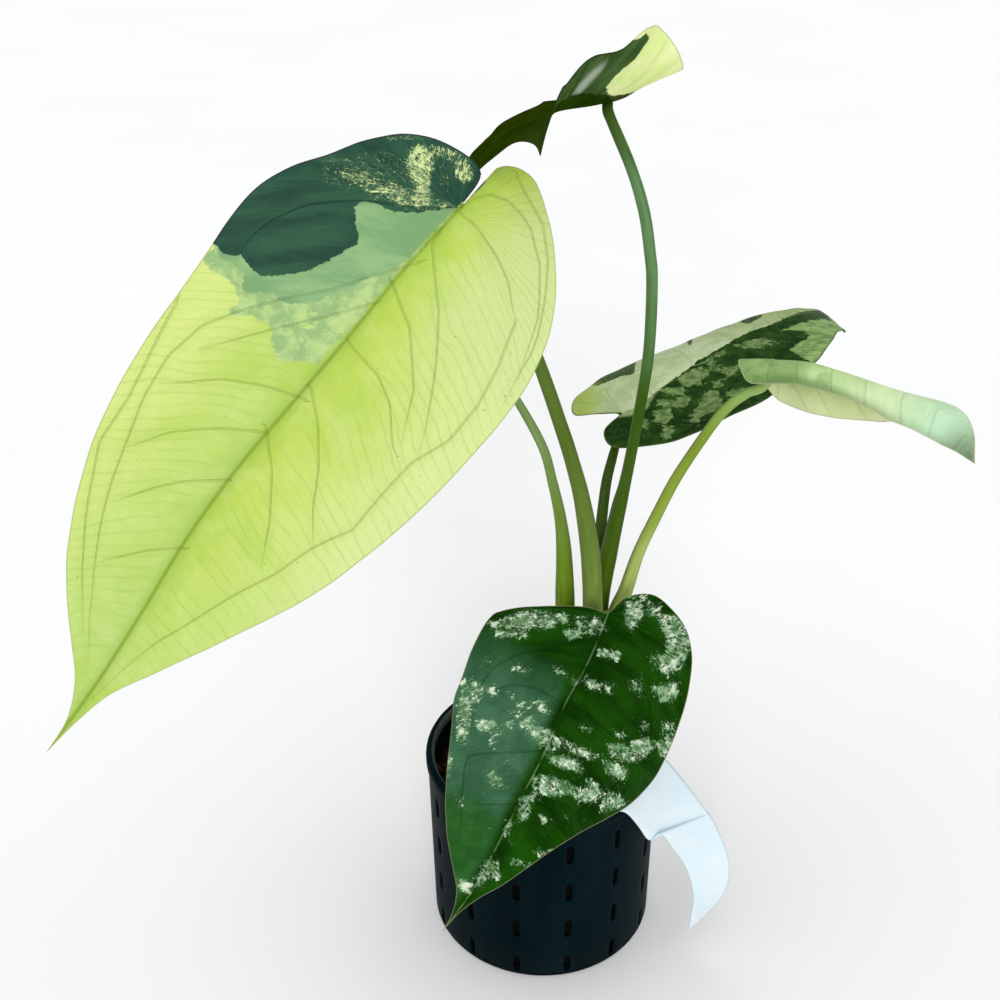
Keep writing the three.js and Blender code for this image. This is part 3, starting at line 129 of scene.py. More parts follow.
# Markings: outlines drawn flat on the blade, [mm along the midrib, mm from it], with a weight.
MARKS = {
    'a': {
        'dark': [
            ([[61.9, 50.1], [62, 47.6], [61.3, 44.5], [58.7, 42.4], [59.9, 39.5], [60.2, 36.4], [59.6, 33.3], [57.3, 30.8], [54.6, 28.5], [51.8, 26.5], [49.3, 24.2], [46.6, 22.1], [43.3, 21.4], [40.3, 19.8], [37.5, 18.6], [34.4, 18], [31.3, 16.8], [28.7, 17.6], [27.3, 20.6], [25.2, 22.9], [22.8, 25.1], [20.1, 23.9], [18.4, 21.1], [17.1, 18], [15.7, 15], [13.9, 12.1], [11.4, 10.1], [8.8, 7.7], [6.3, 5.4], [3.5, 3.3], [0.6, 1.3], [-2.7, 0.5], [-6.2, 0.1], [-9.6, -0.8], [-12.7, -0.6], [-15, 1.9], [-17.3, 4.3], [-17, 7.5], [-16.1, 10.8], [-15.3, 14], [-14.4, 17.3], [-12.9, 20.3], [-11.5, 23.3], [-10, 26.4], [-8.6, 29.4], [-7.1, 32.4], [-4.2, 34.2], [-1.3, 36], [1.8, 37.7], [4.8, 39.5], [7.9, 41.2], [10.8, 42.9], [13.6, 44.6], [16.6, 46], [19.5, 47.3], [22.3, 48.7], [25, 50], [27.6, 51.4], [30.2, 52.8], [32.9, 53.5], [35.8, 53.9], [38.8, 54.4], [42, 54.9], [45.2, 55.5], [48.7, 55.9], [52.3, 55.4], [56.2, 54.9], [59.9, 54.3], [62.6, 53.2]], 1),
        ],
        'mint': [
            ([[67.6, 50.5], [69.6, 46.3], [67.6, 42], [68.1, 37.2], [71.8, 34], [76.9, 33.5], [75.9, 30.9], [72.3, 27.5], [70.5, 22.9], [71.6, 19.3], [76, 16.6], [77.5, 12.6], [74.9, 8.5], [71.6, 4.7], [67.6, 2.1], [62.4, 2], [57.2, 1.5], [52, 1.1], [46.8, 0.8], [41.6, 0.5], [36.4, 0.2], [31.1, 0.2], [25.9, 0.3], [20.7, 0.5], [15.5, 0.8], [10.3, 0.9], [5.1, 0.9], [0.1, 0.5], [0.3, 5], [3.2, 9.2], [6.1, 13.4], [9.1, 17.6], [12.6, 21.3], [16.1, 24.9], [19.5, 28.5], [22.8, 32.1], [26.3, 35.2], [30.2, 37.7], [34, 40.3], [37.9, 43], [41.9, 45.6], [46.2, 48.2], [51.4, 49.4], [57, 50.6], [62.3, 51.1]], 1),
        ],
        'inner': [
            ([[61.9, 50.1], [64.1, 45.9], [63, 41.6], [63.2, 37.2], [67.1, 36.1], [67.5, 34.2], [64.2, 30.7], [62.1, 26.4], [61.2, 22], [57.9, 18.3], [54.1, 15.1], [49.6, 13], [45.1, 10.7], [40.7, 8.3], [36.3, 6.1], [31.8, 4], [27.3, 2], [22.5, 0.8], [17.5, 0.9], [12.5, 0.9], [7.5, 0.9], [2.4, 0.5], [-0.8, 2.7], [1.6, 6.9], [4.4, 10.9], [7.2, 15], [10.2, 18.9], [13.7, 22.3], [17, 25.8], [20.3, 29.3], [23.4, 32.7], [26.9, 35.6], [30.6, 38], [34.3, 40.5], [38.1, 43.1], [42, 45.6], [46, 48.1], [51.1, 48.8], [56.6, 49.5]], 1),
        ],
        'fleck': [
            ([[-3.2, 24.9], [-5.7, 23.6], [-7.7, 22], [-7.7, 19.3], [-7.3, 16.9], [-4.9, 15.5], [-2.5, 14.1], [-0.1, 12.7], [2.3, 11.4], [4.7, 12.6], [4.4, 15.2], [3.8, 17.7], [3, 20.3], [1.8, 22.5], [-0.8, 23.7]], 0.65),
            ([[4, 16.9], [2.1, 15], [0.6, 13.1], [1.9, 10.9], [3.1, 8.7], [4.3, 6.4], [6.9, 6.5], [8, 7.9], [7.7, 10.5], [7, 12.8], [5.5, 14.8]], 0.63),
            ([[-8.3, 21.2], [-10.3, 18.6], [-12.3, 16], [-13.4, 13], [-14.1, 9.8], [-14.5, 6.9], [-11.1, 6.8], [-9.8, 9.6], [-8.7, 12.7], [-7.3, 15.6], [-6.6, 18.5]], 0.57),
            ([[19.8, 38], [17.2, 35.5], [14.4, 33], [12.6, 29.9], [11, 26.5], [9.4, 23.1], [7.8, 19.7], [6.3, 16.3], [5.4, 12.6], [5.4, 9.2], [8.9, 7.5], [10.8, 10.7], [12.6, 14], [14.2, 17.5], [15.6, 20.9], [16.9, 24.4], [18.2, 27.9], [19.5, 31.3], [20.9, 34.7]], 0.53),
            ([[17.9, 35.1], [16.5, 33.4], [15.1, 31.6], [13.7, 29.9], [13.6, 27.8], [13.8, 25.5], [14.5, 25], [15.8, 26.9], [17, 28.7], [18, 30.7], [17.9, 32.9]], 0.6),
            ([[13.5, 23], [10.9, 20.8], [8.3, 18.5], [7.2, 15.4], [6.3, 12.1], [5.6, 9], [9.1, 8.4], [11.3, 10.6], [13.2, 13.4], [14, 16.7], [14.8, 20]], 0.61),
            ([[20.5, 43.8], [15.2, 39.4], [9.6, 35.1], [3.7, 30.7], [0.1, 25.8], [2.9, 19.4], [5.5, 12.8], [8.2, 7.6], [12.8, 13.2], [16.8, 19.1], [19.9, 25.4], [22.4, 31.9], [24.4, 38.4]], 0.44),
            ([[-0.1, 33.5], [-2.2, 31.3], [-4.3, 29.2], [-6.5, 27.1], [-8.1, 24.5], [-9.6, 21.9], [-8.4, 22.6], [-6.1, 24.6], [-4, 26.8], [-2, 29.1], [0, 31.3]], 0.52),
            ([[-9.5, 10.5], [-10.8, 9], [-12.1, 7.5], [-13.4, 6], [-12.1, 4.5], [-10.9, 3.1], [-9.1, 3.5], [-7.2, 4.2], [-6.8, 5.9], [-6.9, 7.8], [-8.1, 9.2]], 0.66),
            ([[4.1, 8.5], [2.9, 7.1], [1.7, 5.6], [0.5, 4.2], [0.3, 2.4], [0.6, 0.8], [2.1, 2], [3.6, 3.2], [5.1, 4.4], [6.3, 5.6], [5.2, 7.1]], 0.56),
            ([[-6.6, 14.8], [-7.7, 12.6], [-7.4, 10.6], [-5.4, 9], [-3.5, 7.5], [-1.5, 5.9], [0.4, 6.5], [1, 8.3], [-0.9, 9.9], [-2.8, 11.5], [-4.7, 13.2]], 0.44),
        ],
        'fleckm': [
            ([[64.7, 19.7], [61.2, 17.9], [57.7, 16], [56.2, 13], [56.9, 9.9], [60.8, 9], [64.6, 8.7], [68.5, 9.5], [70.6, 12.6], [71.3, 15.6], [68, 17.6]], 0.45),
            ([[55.9, 11.5], [53, 9.2], [50.9, 6.8], [52.1, 3.5], [54.4, 1.3], [58, 0.8], [61.6, 0.4], [64.1, 1.9], [64.4, 4.8], [61.5, 7], [58.7, 9.3]], 0.45),
            ([[61.6, 27.6], [59.4, 19.3], [52, 14.7], [44.2, 10.3], [36.5, 6], [28.6, 1.7], [29.3, -2.3], [37.3, 1.8], [45.2, 6], [53, 10.4], [60.6, 15.2], [66.6, 21.3], [70.6, 28.2]], 0.2),
            ([[64.4, 49.6], [63.8, 45.9], [63.2, 42.2], [62.4, 38.4], [61.4, 34.8], [63.6, 32.8], [67, 33.5], [69.7, 36.4], [70, 39.5], [68.1, 42.9], [66.3, 46.3]], 0.25),
        ],
    },
    'e': {
        'fleck': [
            ([[32.1, 44.3], [29.3, 41.5], [25.1, 39], [19.4, 36.8], [15.8, 34.2], [13.4, 31], [11.8, 27.6], [10.7, 24], [9.6, 20.4], [12.2, 18.7], [16, 18.4], [18.3, 21.7], [20.8, 24.9], [24.1, 28], [29.2, 27.9], [31.5, 31], [33.6, 34.1], [34.3, 37.3], [33.1, 40.8]], 0.6),
            ([[18.1, 34.3], [16.9, 32.9], [15.8, 31.4], [14.8, 30], [16.3, 28.8], [17.8, 27.7], [19.9, 28], [22, 28.7], [21.7, 30.4], [21.5, 32], [19.9, 33.2]], 0.85),
            ([[15.8, 27.8], [15, 25.9], [14.2, 24.1], [13.5, 22.2], [12.7, 20.3], [14.4, 19.5], [16.4, 19.3], [17.4, 21.2], [18.3, 23.1], [19.2, 24.9], [17.5, 26.4]], 0.72),
            ([[9.3, 19.4], [8.7, 18], [8, 16.7], [7.7, 15.5], [9.1, 14.9], [10.5, 14.4], [11.6, 14.3], [12, 15.7], [12.4, 17.1], [12.2, 18.3], [10.8, 18.8]], 0.72),
            ([[15.3, 14.4], [14.4, 12.9], [13.5, 11.5], [12.6, 10], [11.8, 8.5], [13.3, 8.5], [15.1, 8.5], [16.5, 9.2], [17.1, 10.7], [17.8, 12.3], [16.7, 13.4]], 0.86),
            ([[6.8, 12.1], [5.6, 9], [4.4, 5.8], [3.1, 2.7], [3.7, 0.2], [6.8, -1.6], [9.3, 0.3], [11.6, 2.8], [12.4, 6], [12.2, 9.1], [10.3, 11.7]], 0.6),
            ([[32.9, 39.2], [32.2, 38.1], [31.4, 37.1], [30.7, 36], [30, 35], [31.5, 34.7], [32.8, 34.3], [33.5, 35], [34.1, 36.2], [34.5, 37.3], [33.7, 38.2]], 0.78),
            ([[27.5, 30.4], [27, 29.5], [26.4, 28.7], [25.8, 27.8], [26.3, 27.3], [27.6, 27.1], [28.8, 26.9], [29.4, 27.6], [29.8, 28.5], [29.4, 29.2], [28.5, 29.8]], 0.68),
            ([[51.4, 41.8], [50.5, 38.6], [49.6, 35.4], [49.4, 32.5], [52.1, 31.2], [55.2, 32.1], [58.8, 32.7], [63.4, 32.9], [68.3, 31.9], [72.3, 30.8], [76.2, 30.2], [78.9, 31.6], [78.8, 33.9], [75.5, 35.4], [71.8, 36.9], [67.6, 38.2], [62.2, 39.3], [57.9, 40.3], [54.4, 41.1]], 0.62),
            ([[57.2, 39.8], [57.3, 38.7], [57.4, 37.7], [57.9, 36.9], [59.1, 36.5], [60.3, 36.1], [60.8, 36.8], [61.2, 37.8], [60.8, 38.6], [59.5, 39], [58.4, 39.4]], 0.8),
            ([[66.8, 30.7], [65.4, 29], [64, 27.3], [62.8, 25.6], [62.4, 24], [64.4, 22.8], [66.3, 23.1], [67.8, 24.6], [69.3, 26.1], [69.8, 27.6], [68.3, 29.1]], 0.88),
            ([[62.9, 24], [63.7, 22.5], [64.6, 21], [65.5, 19.5], [66.3, 18], [67.7, 19.1], [69.2, 20.1], [69.8, 21.3], [68.6, 22.6], [67.3, 23.7], [65.1, 23.9]], 0.55),
            ([[59.9, 19.4], [59.5, 18.5], [59, 17.6], [58.7, 16.8], [59.7, 16.5], [60.8, 16.3], [61.8, 16.1], [62.1, 17.1], [62.4, 18], [62, 18.6], [60.9, 19]], 0.7),
            ([[72.1, 22.3], [71.7, 21.4], [71.3, 20.5], [70.9, 19.6], [71.5, 19.1], [72.5, 18.8], [73.5, 18.6], [73.8, 19.5], [74.2, 20.4], [73.8, 21.1], [73, 21.7]], 0.6),
            ([[50, 30.8], [49.8, 29.6], [49.7, 28.5], [49.5, 27.3], [49.6, 26.3], [50.6, 26.6], [51.7, 26.8], [52, 27.8], [52.2, 29], [51.9, 29.9], [50.9, 30.4]], 0.7),
            ([[49.1, 22.5], [48.8, 21.9], [48.5, 21.2], [48.5, 20.6], [49.1, 20.3], [49.7, 20], [50.1, 20.2], [50.4, 20.9], [50.6, 21.6], [50.2, 21.9], [49.6, 22.2]], 0.7),
            ([[48.4, 11.3], [47.6, 10.2], [46.7, 9], [46.6, 8], [47.5, 7], [48.5, 6], [49.5, 5.1], [49.8, 6.5], [50.1, 7.9], [50.3, 9.3], [49.3, 10.3]], 0.86),
            ([[57.5, 14.2], [55.8, 12], [54.5, 9.8], [55.8, 7.5], [56.9, 5.1], [56.5, 2.5], [56, -0.2], [57.9, -0.8], [60.6, -0.4], [63.3, 0.6], [63.6, 2.6], [62.6, 5], [61.5, 7.5], [60.7, 10.1], [59.7, 12.5]], 0.72),
            ([[56.9, 11.8], [57.1, 10.2], [57.4, 8.5], [57.8, 7], [59.1, 5.8], [60.3, 4.7], [60.9, 4.9], [60.8, 6.6], [60.4, 8.1], [59.2, 9.3], [58, 10.6]], 0.85),
            ([[51, 18.5], [50.6, 17], [50.1, 15.4], [49.7, 13.9], [49.2, 12.3], [50.6, 11.7], [51.6, 12.1], [52, 13.7], [52.5, 15.3], [52.9, 16.8], [52.4, 17.9]], 0.5),
            ([[54.7, 21.3], [54.3, 19.2], [54, 17.1], [53.6, 15], [53.2, 12.9], [52.9, 10.8], [54.2, 12.3], [55.6, 14], [57, 15.6], [56.6, 17.5], [55.6, 19.4]], 0.5),
            ([[43.7, 12.4], [44.1, 11.3], [44.5, 10.1], [45, 8.9], [45.4, 7.7], [46, 6.8], [47, 7.6], [46.7, 8.5], [45.9, 9.5], [45.1, 10.5], [44.4, 11.5]], 0.45),
            ([[60.3, 2.6], [58.7, -0.5], [57.2, -3.7], [57.3, -7.1], [57.4, -10.5], [57.6, -13.9], [57.8, -17.3], [58.1, -20.7], [60.4, -18.8], [60.7, -15.5], [61, -12.1], [61.2, -8.7], [61.4, -5.3], [63.3, -2.3], [63.1, 0.3]], 0.6),
            ([[59.6, 1.1], [59.5, -0.8], [59.3, -2.7], [59.8, -4.1], [61.7, -4.4], [63.3, -3.6], [64.6, -2.2], [65.9, -0.7], [65.6, 0.2], [63.6, 0.5], [61.6, 0.8]], 0.66),
            ([[66.6, -1.8], [65, -4.1], [63.5, -6.5], [63.3, -9], [63.8, -11.7], [64.3, -14.3], [65.1, -16.8], [66, -17], [66.9, -14.5], [67.6, -11.9], [67.9, -9.2], [68.3, -6.5], [68.3, -4]], 0.72),
            ([[64.1, -8.7], [64.2, -10.2], [64.3, -11.8], [64.4, -13.3], [64.5, -14.8], [65.3, -16], [65.8, -15.9], [65.8, -14.3], [65.8, -12.8], [65.5, -11.4], [64.8, -10]], 0.86),
            ([[77.4, 0.3], [75.6, -2.7], [73.9, -5.7], [73.1, -9], [72.3, -12.3], [72, -15.6], [71.8, -18.9], [71.1, -22.2], [70.9, -25.4], [72.2, -26.8], [74.5, -24.4], [75.6, -21.5], [75.9, -18.2], [76.3, -14.9], [78.7, -13.1], [79.8, -9.9], [81, -6.7], [82.1, -3.5], [80.5, -1.3]], 0.68),
            ([[80.5, -1.8], [79.4, -3.8], [78.3, -5.9], [77.5, -8], [77.1, -10.2], [76.9, -12.4], [79.1, -12.4], [80, -10.3], [80.9, -8.1], [81.8, -6], [81.2, -3.9]], 0.84),
            ([[67.8, -20.2], [68.2, -22.6], [68.7, -25], [70.3, -26.5], [72, -26.9], [73.7, -25.2], [75.4, -23.4], [75.9, -21], [73.7, -21.9], [71.5, -22.9], [69.6, -21.6]], 0.86),
            ([[69, -26.1], [68.2, -29], [67.5, -31.9], [67.4, -34.7], [68.6, -37.2], [70.8, -35.5], [73.1, -33.9], [75.2, -31.8], [75.9, -30.2], [73.1, -29.8], [70.9, -28.2]], 0.68),
            ([[69.5, -29.9], [69.1, -31.2], [68.8, -32.5], [68.4, -33.8], [68.8, -34.6], [69.9, -34.9], [71.1, -35.3], [71.4, -34.2], [71.6, -32.9], [71.3, -31.7], [70.4, -30.8]], 0.8),
            ([[58.9, -22.9], [58.8, -25.2], [58.7, -27.5], [58.7, -29.9], [58.8, -32.2], [60.2, -33.2], [61.8, -32.8], [62.5, -30.6], [62.4, -28.4], [61.8, -26.2], [60.5, -24.5]], 0.84),
            ([[52.2, -22.1], [50.9, -24.8], [49.6, -27.4], [50.1, -30.2], [49, -32.4], [45.5, -33.8], [41.5, -35.2], [40.8, -37.7], [41.7, -39.9], [46.2, -38.9], [50.1, -37.8], [52.8, -36.1], [54.8, -33.8], [56, -31.2], [56.5, -28.4], [56.6, -25.5], [54.9, -23.5]], 0.68),
            ([[46.7, -30.5], [45, -32], [43, -33.6], [41.2, -35], [42.1, -36.3], [44.7, -37.4], [47.1, -37.8], [48.7, -36.2], [50.2, -34.6], [50.5, -33.1], [48.7, -31.8]], 0.84),
            ([[45.4, -23.2], [45, -24.2], [44.7, -25.3], [44.3, -26.3], [44.4, -27.1], [45.9, -27.1], [47.1, -26.9], [47.5, -25.9], [47.9, -24.9], [47.9, -24], [46.6, -23.6]], 0.64),
            ([[53.7, -31.1], [52.5, -32.1], [51.3, -33.2], [49.9, -34.2], [48.5, -35.3], [50.4, -35.6], [52.2, -35.8], [53.7, -35.6], [54.6, -34.3], [55.4, -33], [55, -32]], 0.7),
            ([[88.1, 0.4], [85.4, -1.7], [82.6, -3.8], [81.9, -5.2], [85.3, -5.3], [88.8, -5.4], [92.1, -5.9], [95, -5.6], [96.8, -2.7], [94.6, -1.3], [91.4, -0.4]], 0.62),
            ([[102.6, 0.9], [101.3, 0.6], [99.9, 0.4], [98.6, 0.1], [98.4, -1], [99, -1.6], [100.3, -1.4], [101.7, -1.3], [103.1, -1.1], [104.5, -1], [103.6, -0.1]], 0.74),
            ([[104.1, -1.7], [104.7, -2.5], [105.3, -3.3], [105.9, -4.2], [106.5, -5], [107.1, -5.9], [107.6, -5.2], [107.2, -4.4], [106.4, -3.7], [105.6, -3], [104.8, -2.3]], 0.5),
            ([[90.3, -10.3], [90, -11], [89.7, -11.7], [89.4, -12.4], [90, -12.7], [90.7, -12.9], [91.5, -13], [91.7, -12.3], [92, -11.6], [91.6, -11.1], [90.9, -10.7]], 0.76),
            ([[104.8, -13.1], [103.9, -14.5], [103.1, -16], [102.3, -17.4], [101.4, -18.9], [101, -19.9], [102.6, -19.1], [104.1, -18.3], [105.6, -17.5], [105.7, -16.2], [105.2, -14.6]], 0.56),
            ([[118.3, 1.4], [116.9, -1.2], [116.5, -3.4], [118.9, -5.1], [121.3, -6.7], [122.8, -5], [124, -2.3], [126.7, -1.9], [129.7, -2.1], [130.5, -0.2], [127.5, 0.4], [124.4, 1.1], [121.4, 1.3]], 0.74),
            ([[112.5, -7.3], [112.1, -8.1], [111.7, -8.9], [111.3, -9.7], [110.9, -10.5], [111.6, -10.7], [112.5, -10.7], [113, -10.1], [113.4, -9.3], [113.7, -8.5], [113.1, -7.9]], 0.74),
            ([[130.9, 7.7], [130.4, 6], [130, 4.3], [129.5, 2.6], [130.1, 1.4], [131.9, 0.9], [133.8, 0.4], [134.1, 2.2], [134.4, 3.9], [134.1, 5.5], [132.5, 6.6]], 0.82),
            ([[121.7, -4.2], [121.5, -4.8], [121.4, -5.5], [121.2, -6.1], [121.2, -6.6], [121.9, -6.4], [122.6, -6.3], [123.3, -6.1], [123, -5.7], [122.6, -5.2], [122.2, -4.7]], 0.6),
            ([[111.9, -12.1], [111.6, -12.6], [111.2, -13.2], [110.9, -13.7], [110.6, -14.2], [110.5, -14.5], [111.1, -14.4], [111.8, -14.2], [112.1, -13.9], [112, -13.3], [112, -12.7]], 0.6),
            ([[-7.6, -5.2], [-9, -7.9], [-10.4, -10.6], [-8.2, -12.4], [-5.2, -13.9], [-2.1, -13.3], [1, -12.5], [3.4, -11.2], [1.9, -8.7], [-1.3, -7.5], [-4.4, -6.3]], 0.72),
            ([[-11.4, -4.7], [-12, -6.6], [-12.7, -8.4], [-13.3, -10.3], [-14, -12.2], [-12.5, -13.1], [-10.6, -13.5], [-10.2, -11.6], [-9.7, -9.7], [-9.3, -7.7], [-9.6, -6]], 0.54),
            ([[16.4, -1.7], [15.9, -3.7], [15.4, -5.6], [14.9, -7.6], [14.4, -9.6], [15.2, -10.9], [16.9, -11.3], [17.4, -9.3], [17.8, -7.4], [18.3, -5.4], [17.5, -3.5]], 0.82),
            ([[29.4, -2.3], [29.4, -3.9], [29.3, -5.5], [29.2, -7.2], [29.4, -8.6], [30.9, -9.4], [31.7, -8.7], [32.2, -7.2], [32.7, -5.7], [32.1, -4.4], [30.8, -3.4]], 0.82),
            ([[28.5, -8.1], [27.6, -9.9], [26.7, -11.7], [25.9, -13.5], [27.3, -14.3], [29.2, -14.8], [31.2, -15.3], [32, -14.5], [31.8, -12.5], [31.5, -10.5], [30.3, -9.1]], 0.46),
            ([[23.2, -17.9], [22.5, -19.8], [21.8, -21.7], [21.7, -23.3], [23.4, -24.1], [25, -25], [26.6, -25.9], [26.8, -24.5], [26.5, -22.5], [26.3, -20.4], [24.8, -19.2]], 0.54),
            ([[49.6, -9.1], [49.3, -10.1], [49, -11.1], [48.8, -12.1], [48.5, -13.1], [48.6, -13.8], [49.8, -13.6], [50.2, -12.7], [50.5, -11.7], [50.8, -10.7], [50.3, -9.9]], 0.58),
            ([[32.5, 11.5], [32.4, 10.1], [32.3, 8.7], [32.2, 7.2], [32.1, 5.8], [32.6, 4.9], [33.9, 5], [34, 6.5], [34.1, 7.9], [34.1, 9.3], [33.4, 10.5]], 0.66),
            ([[40.7, 27.3], [40.5, 25.7], [40.2, 24.1], [39.9, 22.5], [39.6, 20.9], [39.8, 19.8], [41, 20], [41.3, 21.6], [41.6, 23.2], [41.9, 24.8], [41.6, 26.1]], 0.56),
            ([[84.3, 16.6], [82.8, 15.1], [83.5, 13.3], [84.6, 11.4], [85.5, 9.4], [86.2, 7.3], [87, 7.8], [87.8, 9.9], [88, 11.9], [87.4, 14], [86.2, 15.6]], 0.64),
            ([[85, 35.1], [85.3, 33.1], [86.7, 32], [88.4, 31.2], [90.2, 30.3], [92, 29.5], [93.5, 30.6], [91.7, 31.5], [90, 32.4], [88.3, 33.3], [86.6, 34.2]], 0.68),
            ([[97.7, 22.4], [97.3, 21.5], [97.4, 20.8], [98.4, 20.5], [99.3, 20.2], [100.3, 19.8], [101.2, 19.8], [101.5, 20.7], [100.6, 21.1], [99.6, 21.6], [98.7, 22]], 0.6),
            ([[80.3, 14.2], [79, 13.6], [77.7, 13], [76.4, 12.4], [75.1, 11.8], [73.8, 11.2], [74.9, 10.6], [76.2, 10.8], [77.5, 11.4], [78.8, 12], [79.6, 13]], 0.4),
            ([[42.9, 37.6], [42.8, 37], [42.6, 36.4], [42.5, 35.9], [42.4, 35.3], [42.8, 35.2], [43.2, 35.1], [43.3, 35.7], [43.4, 36.3], [43.5, 36.9], [43.2, 37.3]], 0.6),
            ([[32.4, 2.7], [32.1, 1.8], [31.8, 0.9], [31.4, 0], [31.6, -0.6], [32.6, -0.7], [33.6, -0.9], [33.7, 0.1], [34, 1], [34, 1.8], [33.2, 2.3]], 0.6),
            ([[84.1, -6], [83.6, -6.3], [83.1, -6.6], [82.6, -6.9], [83, -7.1], [83.6, -7.2], [84.1, -7.2], [84.7, -7.3], [85.1, -7.3], [84.8, -6.9], [84.5, -6.4]], 0.5),
            ([[11.7, -22.5], [10.4, -23.9], [9.1, -25.4], [10.2, -26.2], [12, -26.9], [13.8, -27.6], [15.5, -28.2], [16.1, -26.4], [16.8, -24.7], [15.2, -23.9], [13.5, -23.2]], 0.5),
            ([[-7, -18.2], [-7.9, -22.7], [-8.4, -27.1], [-5.6, -30.9], [-2.6, -34.5], [2.2, -36.3], [7.1, -36.6], [11.6, -35.6], [11.5, -31.6], [9.1, -28.6], [4.3, -27.5], [0.1, -24.9], [-3.4, -21.6]], 0.7),
            ([[-10.4, -13], [-10.6, -15.1], [-10.7, -17.1], [-10.9, -19.2], [-9.4, -20.1], [-7.2, -20.5], [-5.5, -20.3], [-5.1, -18.3], [-4.8, -16.3], [-6.4, -15.1], [-8.4, -14]], 0.6),
            ([[10.2, -25.4], [9.4, -27.7], [8.5, -30], [9.7, -31.8], [11.6, -33.3], [13.4, -34.9], [14.7, -33.7], [16, -31.7], [15.9, -29.8], [14.1, -28.3], [12.2, -26.9]], 0.78),
            ([[22, -29.1], [20.7, -31.2], [19.3, -33.3], [18, -35.4], [18, -36.9], [20.1, -37.6], [22.1, -38.3], [23.4, -37.3], [24.6, -35.1], [24.9, -33], [23.5, -31]], 0.8),
            ([[34.9, -29.5], [34.4, -30.9], [34, -32.3], [34.1, -33.4], [35.6, -33.9], [37.2, -34.4], [38.8, -34.7], [38.8, -33.3], [38.9, -31.8], [37.8, -30.9], [36.3, -30.2]], 0.5),
            ([[31.4, -37.5], [30.4, -39.4], [29.5, -41.3], [29.9, -42.6], [31.8, -43.2], [33.9, -43.8], [36.2, -44.4], [36.9, -42.8], [37.2, -40.6], [35.3, -39.5], [33.3, -38.5]], 0.56),
            ([[40.8, -38.6], [38.7, -40.6], [36.8, -42.5], [35, -44.4], [35.7, -45.7], [38.5, -46.5], [42, -47.3], [45.1, -45.4], [47.8, -43.5], [46.7, -41.9], [43.6, -40.3]], 0.66),
            ([[51.9, 43.9], [42.4, 18.7], [28.3, -5.9], [18, -31.3], [29.8, -43.5], [61.2, -48.5], [80.4, -32.7], [105.8, -17.1], [124, 1.9], [107.8, 20.9], [82.2, 32.6]], 0.14),
        ],
    },
    'b': {
        'cream': [
            ([[1.8, 3], [24.4, 9.8], [36.1, 12.8], [39, 15.9], [39.7, 18.8], [39.4, 21.5], [37, 23.8], [34.7, 26.2], [35.6, 29], [35.9, 31.7], [35.6, 34.3], [41.8, 35.7], [45.3, 33.4], [49.4, 31.9], [93.7, 38.9], [87.1, 40.3], [88.3, 42.9], [107.3, 47.5], [40.5, 41.1], [32.9, 42], [26.8, 41.3], [21.8, 40.8], [17.1, 40.4], [12.7, 39.8], [8.3, 38.3], [3.5, 36.7], [-3.8, 33.5], [-19.2, 27], [-19.3, 24.8], [-20.3, 21.1], [-21.4, 17.4], [-22.4, 13.7], [-23, 10.1], [-23.7, 6.5], [-24.5, 2.9], [-22.4, 0.3], [-13.2, 0]], 1),
        ],
        # outline of the dark olive band along the midrib, painted shade
        'band': [
            ([[-4.8, 0], [15.6, 8.8], [26, 10.9], [33.1, 10], [40.5, 9], [47.7, 7.9], [54.7, 6.7], [62.2, 5.5], [72.1, 4.6], [90.7, 6.8], [93.5, 6.9], [79.1, 4.4], [57.3, 2.2], [40.3, 0.9], [27.8, 0.2], [22.6, 0], [18.9, 0], [16.4, 0.9], [7.4, 0.5]], 1),
        ],
        # painted highlight: outline of a light streak that stands in for gloss
        'painted_highlight': [
            ([[64.8, 6.9], [66.3, 8.9], [67.5, 10.8], [66.7, 12.6], [66, 14.3], [64.9, 16], [63.6, 17.7], [61.9, 19.3], [59.4, 20.8], [57.9, 20.4], [57.1, 18.5], [57.3, 16.7], [57.5, 14.9], [57.5, 13.1], [57.5, 11.2], [57.7, 9.3], [58.1, 7.5]], 1),
        ],
    },
    'd': {
        'g1': [
            ([[-16.6, 0], [-12.1, 0], [-7.5, 0], [-2.9, 0], [0.9, 0], [7.4, 10.7], [10.2, 16.6], [9.5, 19.8], [4.5, 19.5], [-0.1, 19.3], [-4.3, 17.6], [-7.2, 12.8], [-11.2, 7.2]], 1),
        ],
        'g2': [
            ([[22.3, 8.9], [23.5, 7.6], [24.8, 6.7], [26.9, 8.7], [28.8, 10.5], [29.6, 12.8], [28.9, 14.1], [27.4, 14.9], [25.6, 14.5], [23.7, 13.8], [23.1, 11.6]], 1),
        ],
        'g3': [
            ([[-2.2, 13.6], [0.9, 14.5], [3.8, 15.4], [6.9, 16.4], [10.1, 17.2], [10.5, 19.7], [7.3, 19.5], [4.3, 19.2], [1.4, 18.9], [-1.4, 18.6], [-2, 16.5]], 1),
        ],
    },
    'c': {
        'marg': [
            ([[7.7, -42.2], [15, -45.2], [25.8, -52.3], [34.1, -54.4], [39.4, -50.7], [45.4, -47.8], [57.2, -68.4], [24.2, -25.5], [19.9, -29.7], [14.7, -32.1], [9.3, -33.5]], 0.95),
            ([[55.4, -47.5], [59.7, -46.6], [65.1, -46.9], [70.5, -47.5], [77.9, -49.8], [104.6, -68.3], [58.5, -22.7], [93.5, -63.6], [61.6, -36.2], [75.3, -59.3], [62.3, -49.4], [61.8, -55.8], [56.4, -54]], 0.9),
            ([[106.3, -32.2], [107.1, -29.4], [108.4, -27], [110.1, -24.9], [112.3, -23.1], [109.1, -19.6], [99.8, -13.7], [95.2, -13.1], [90.7, -12.5], [91.4, -16.4], [95.2, -22.8]], 0.75),
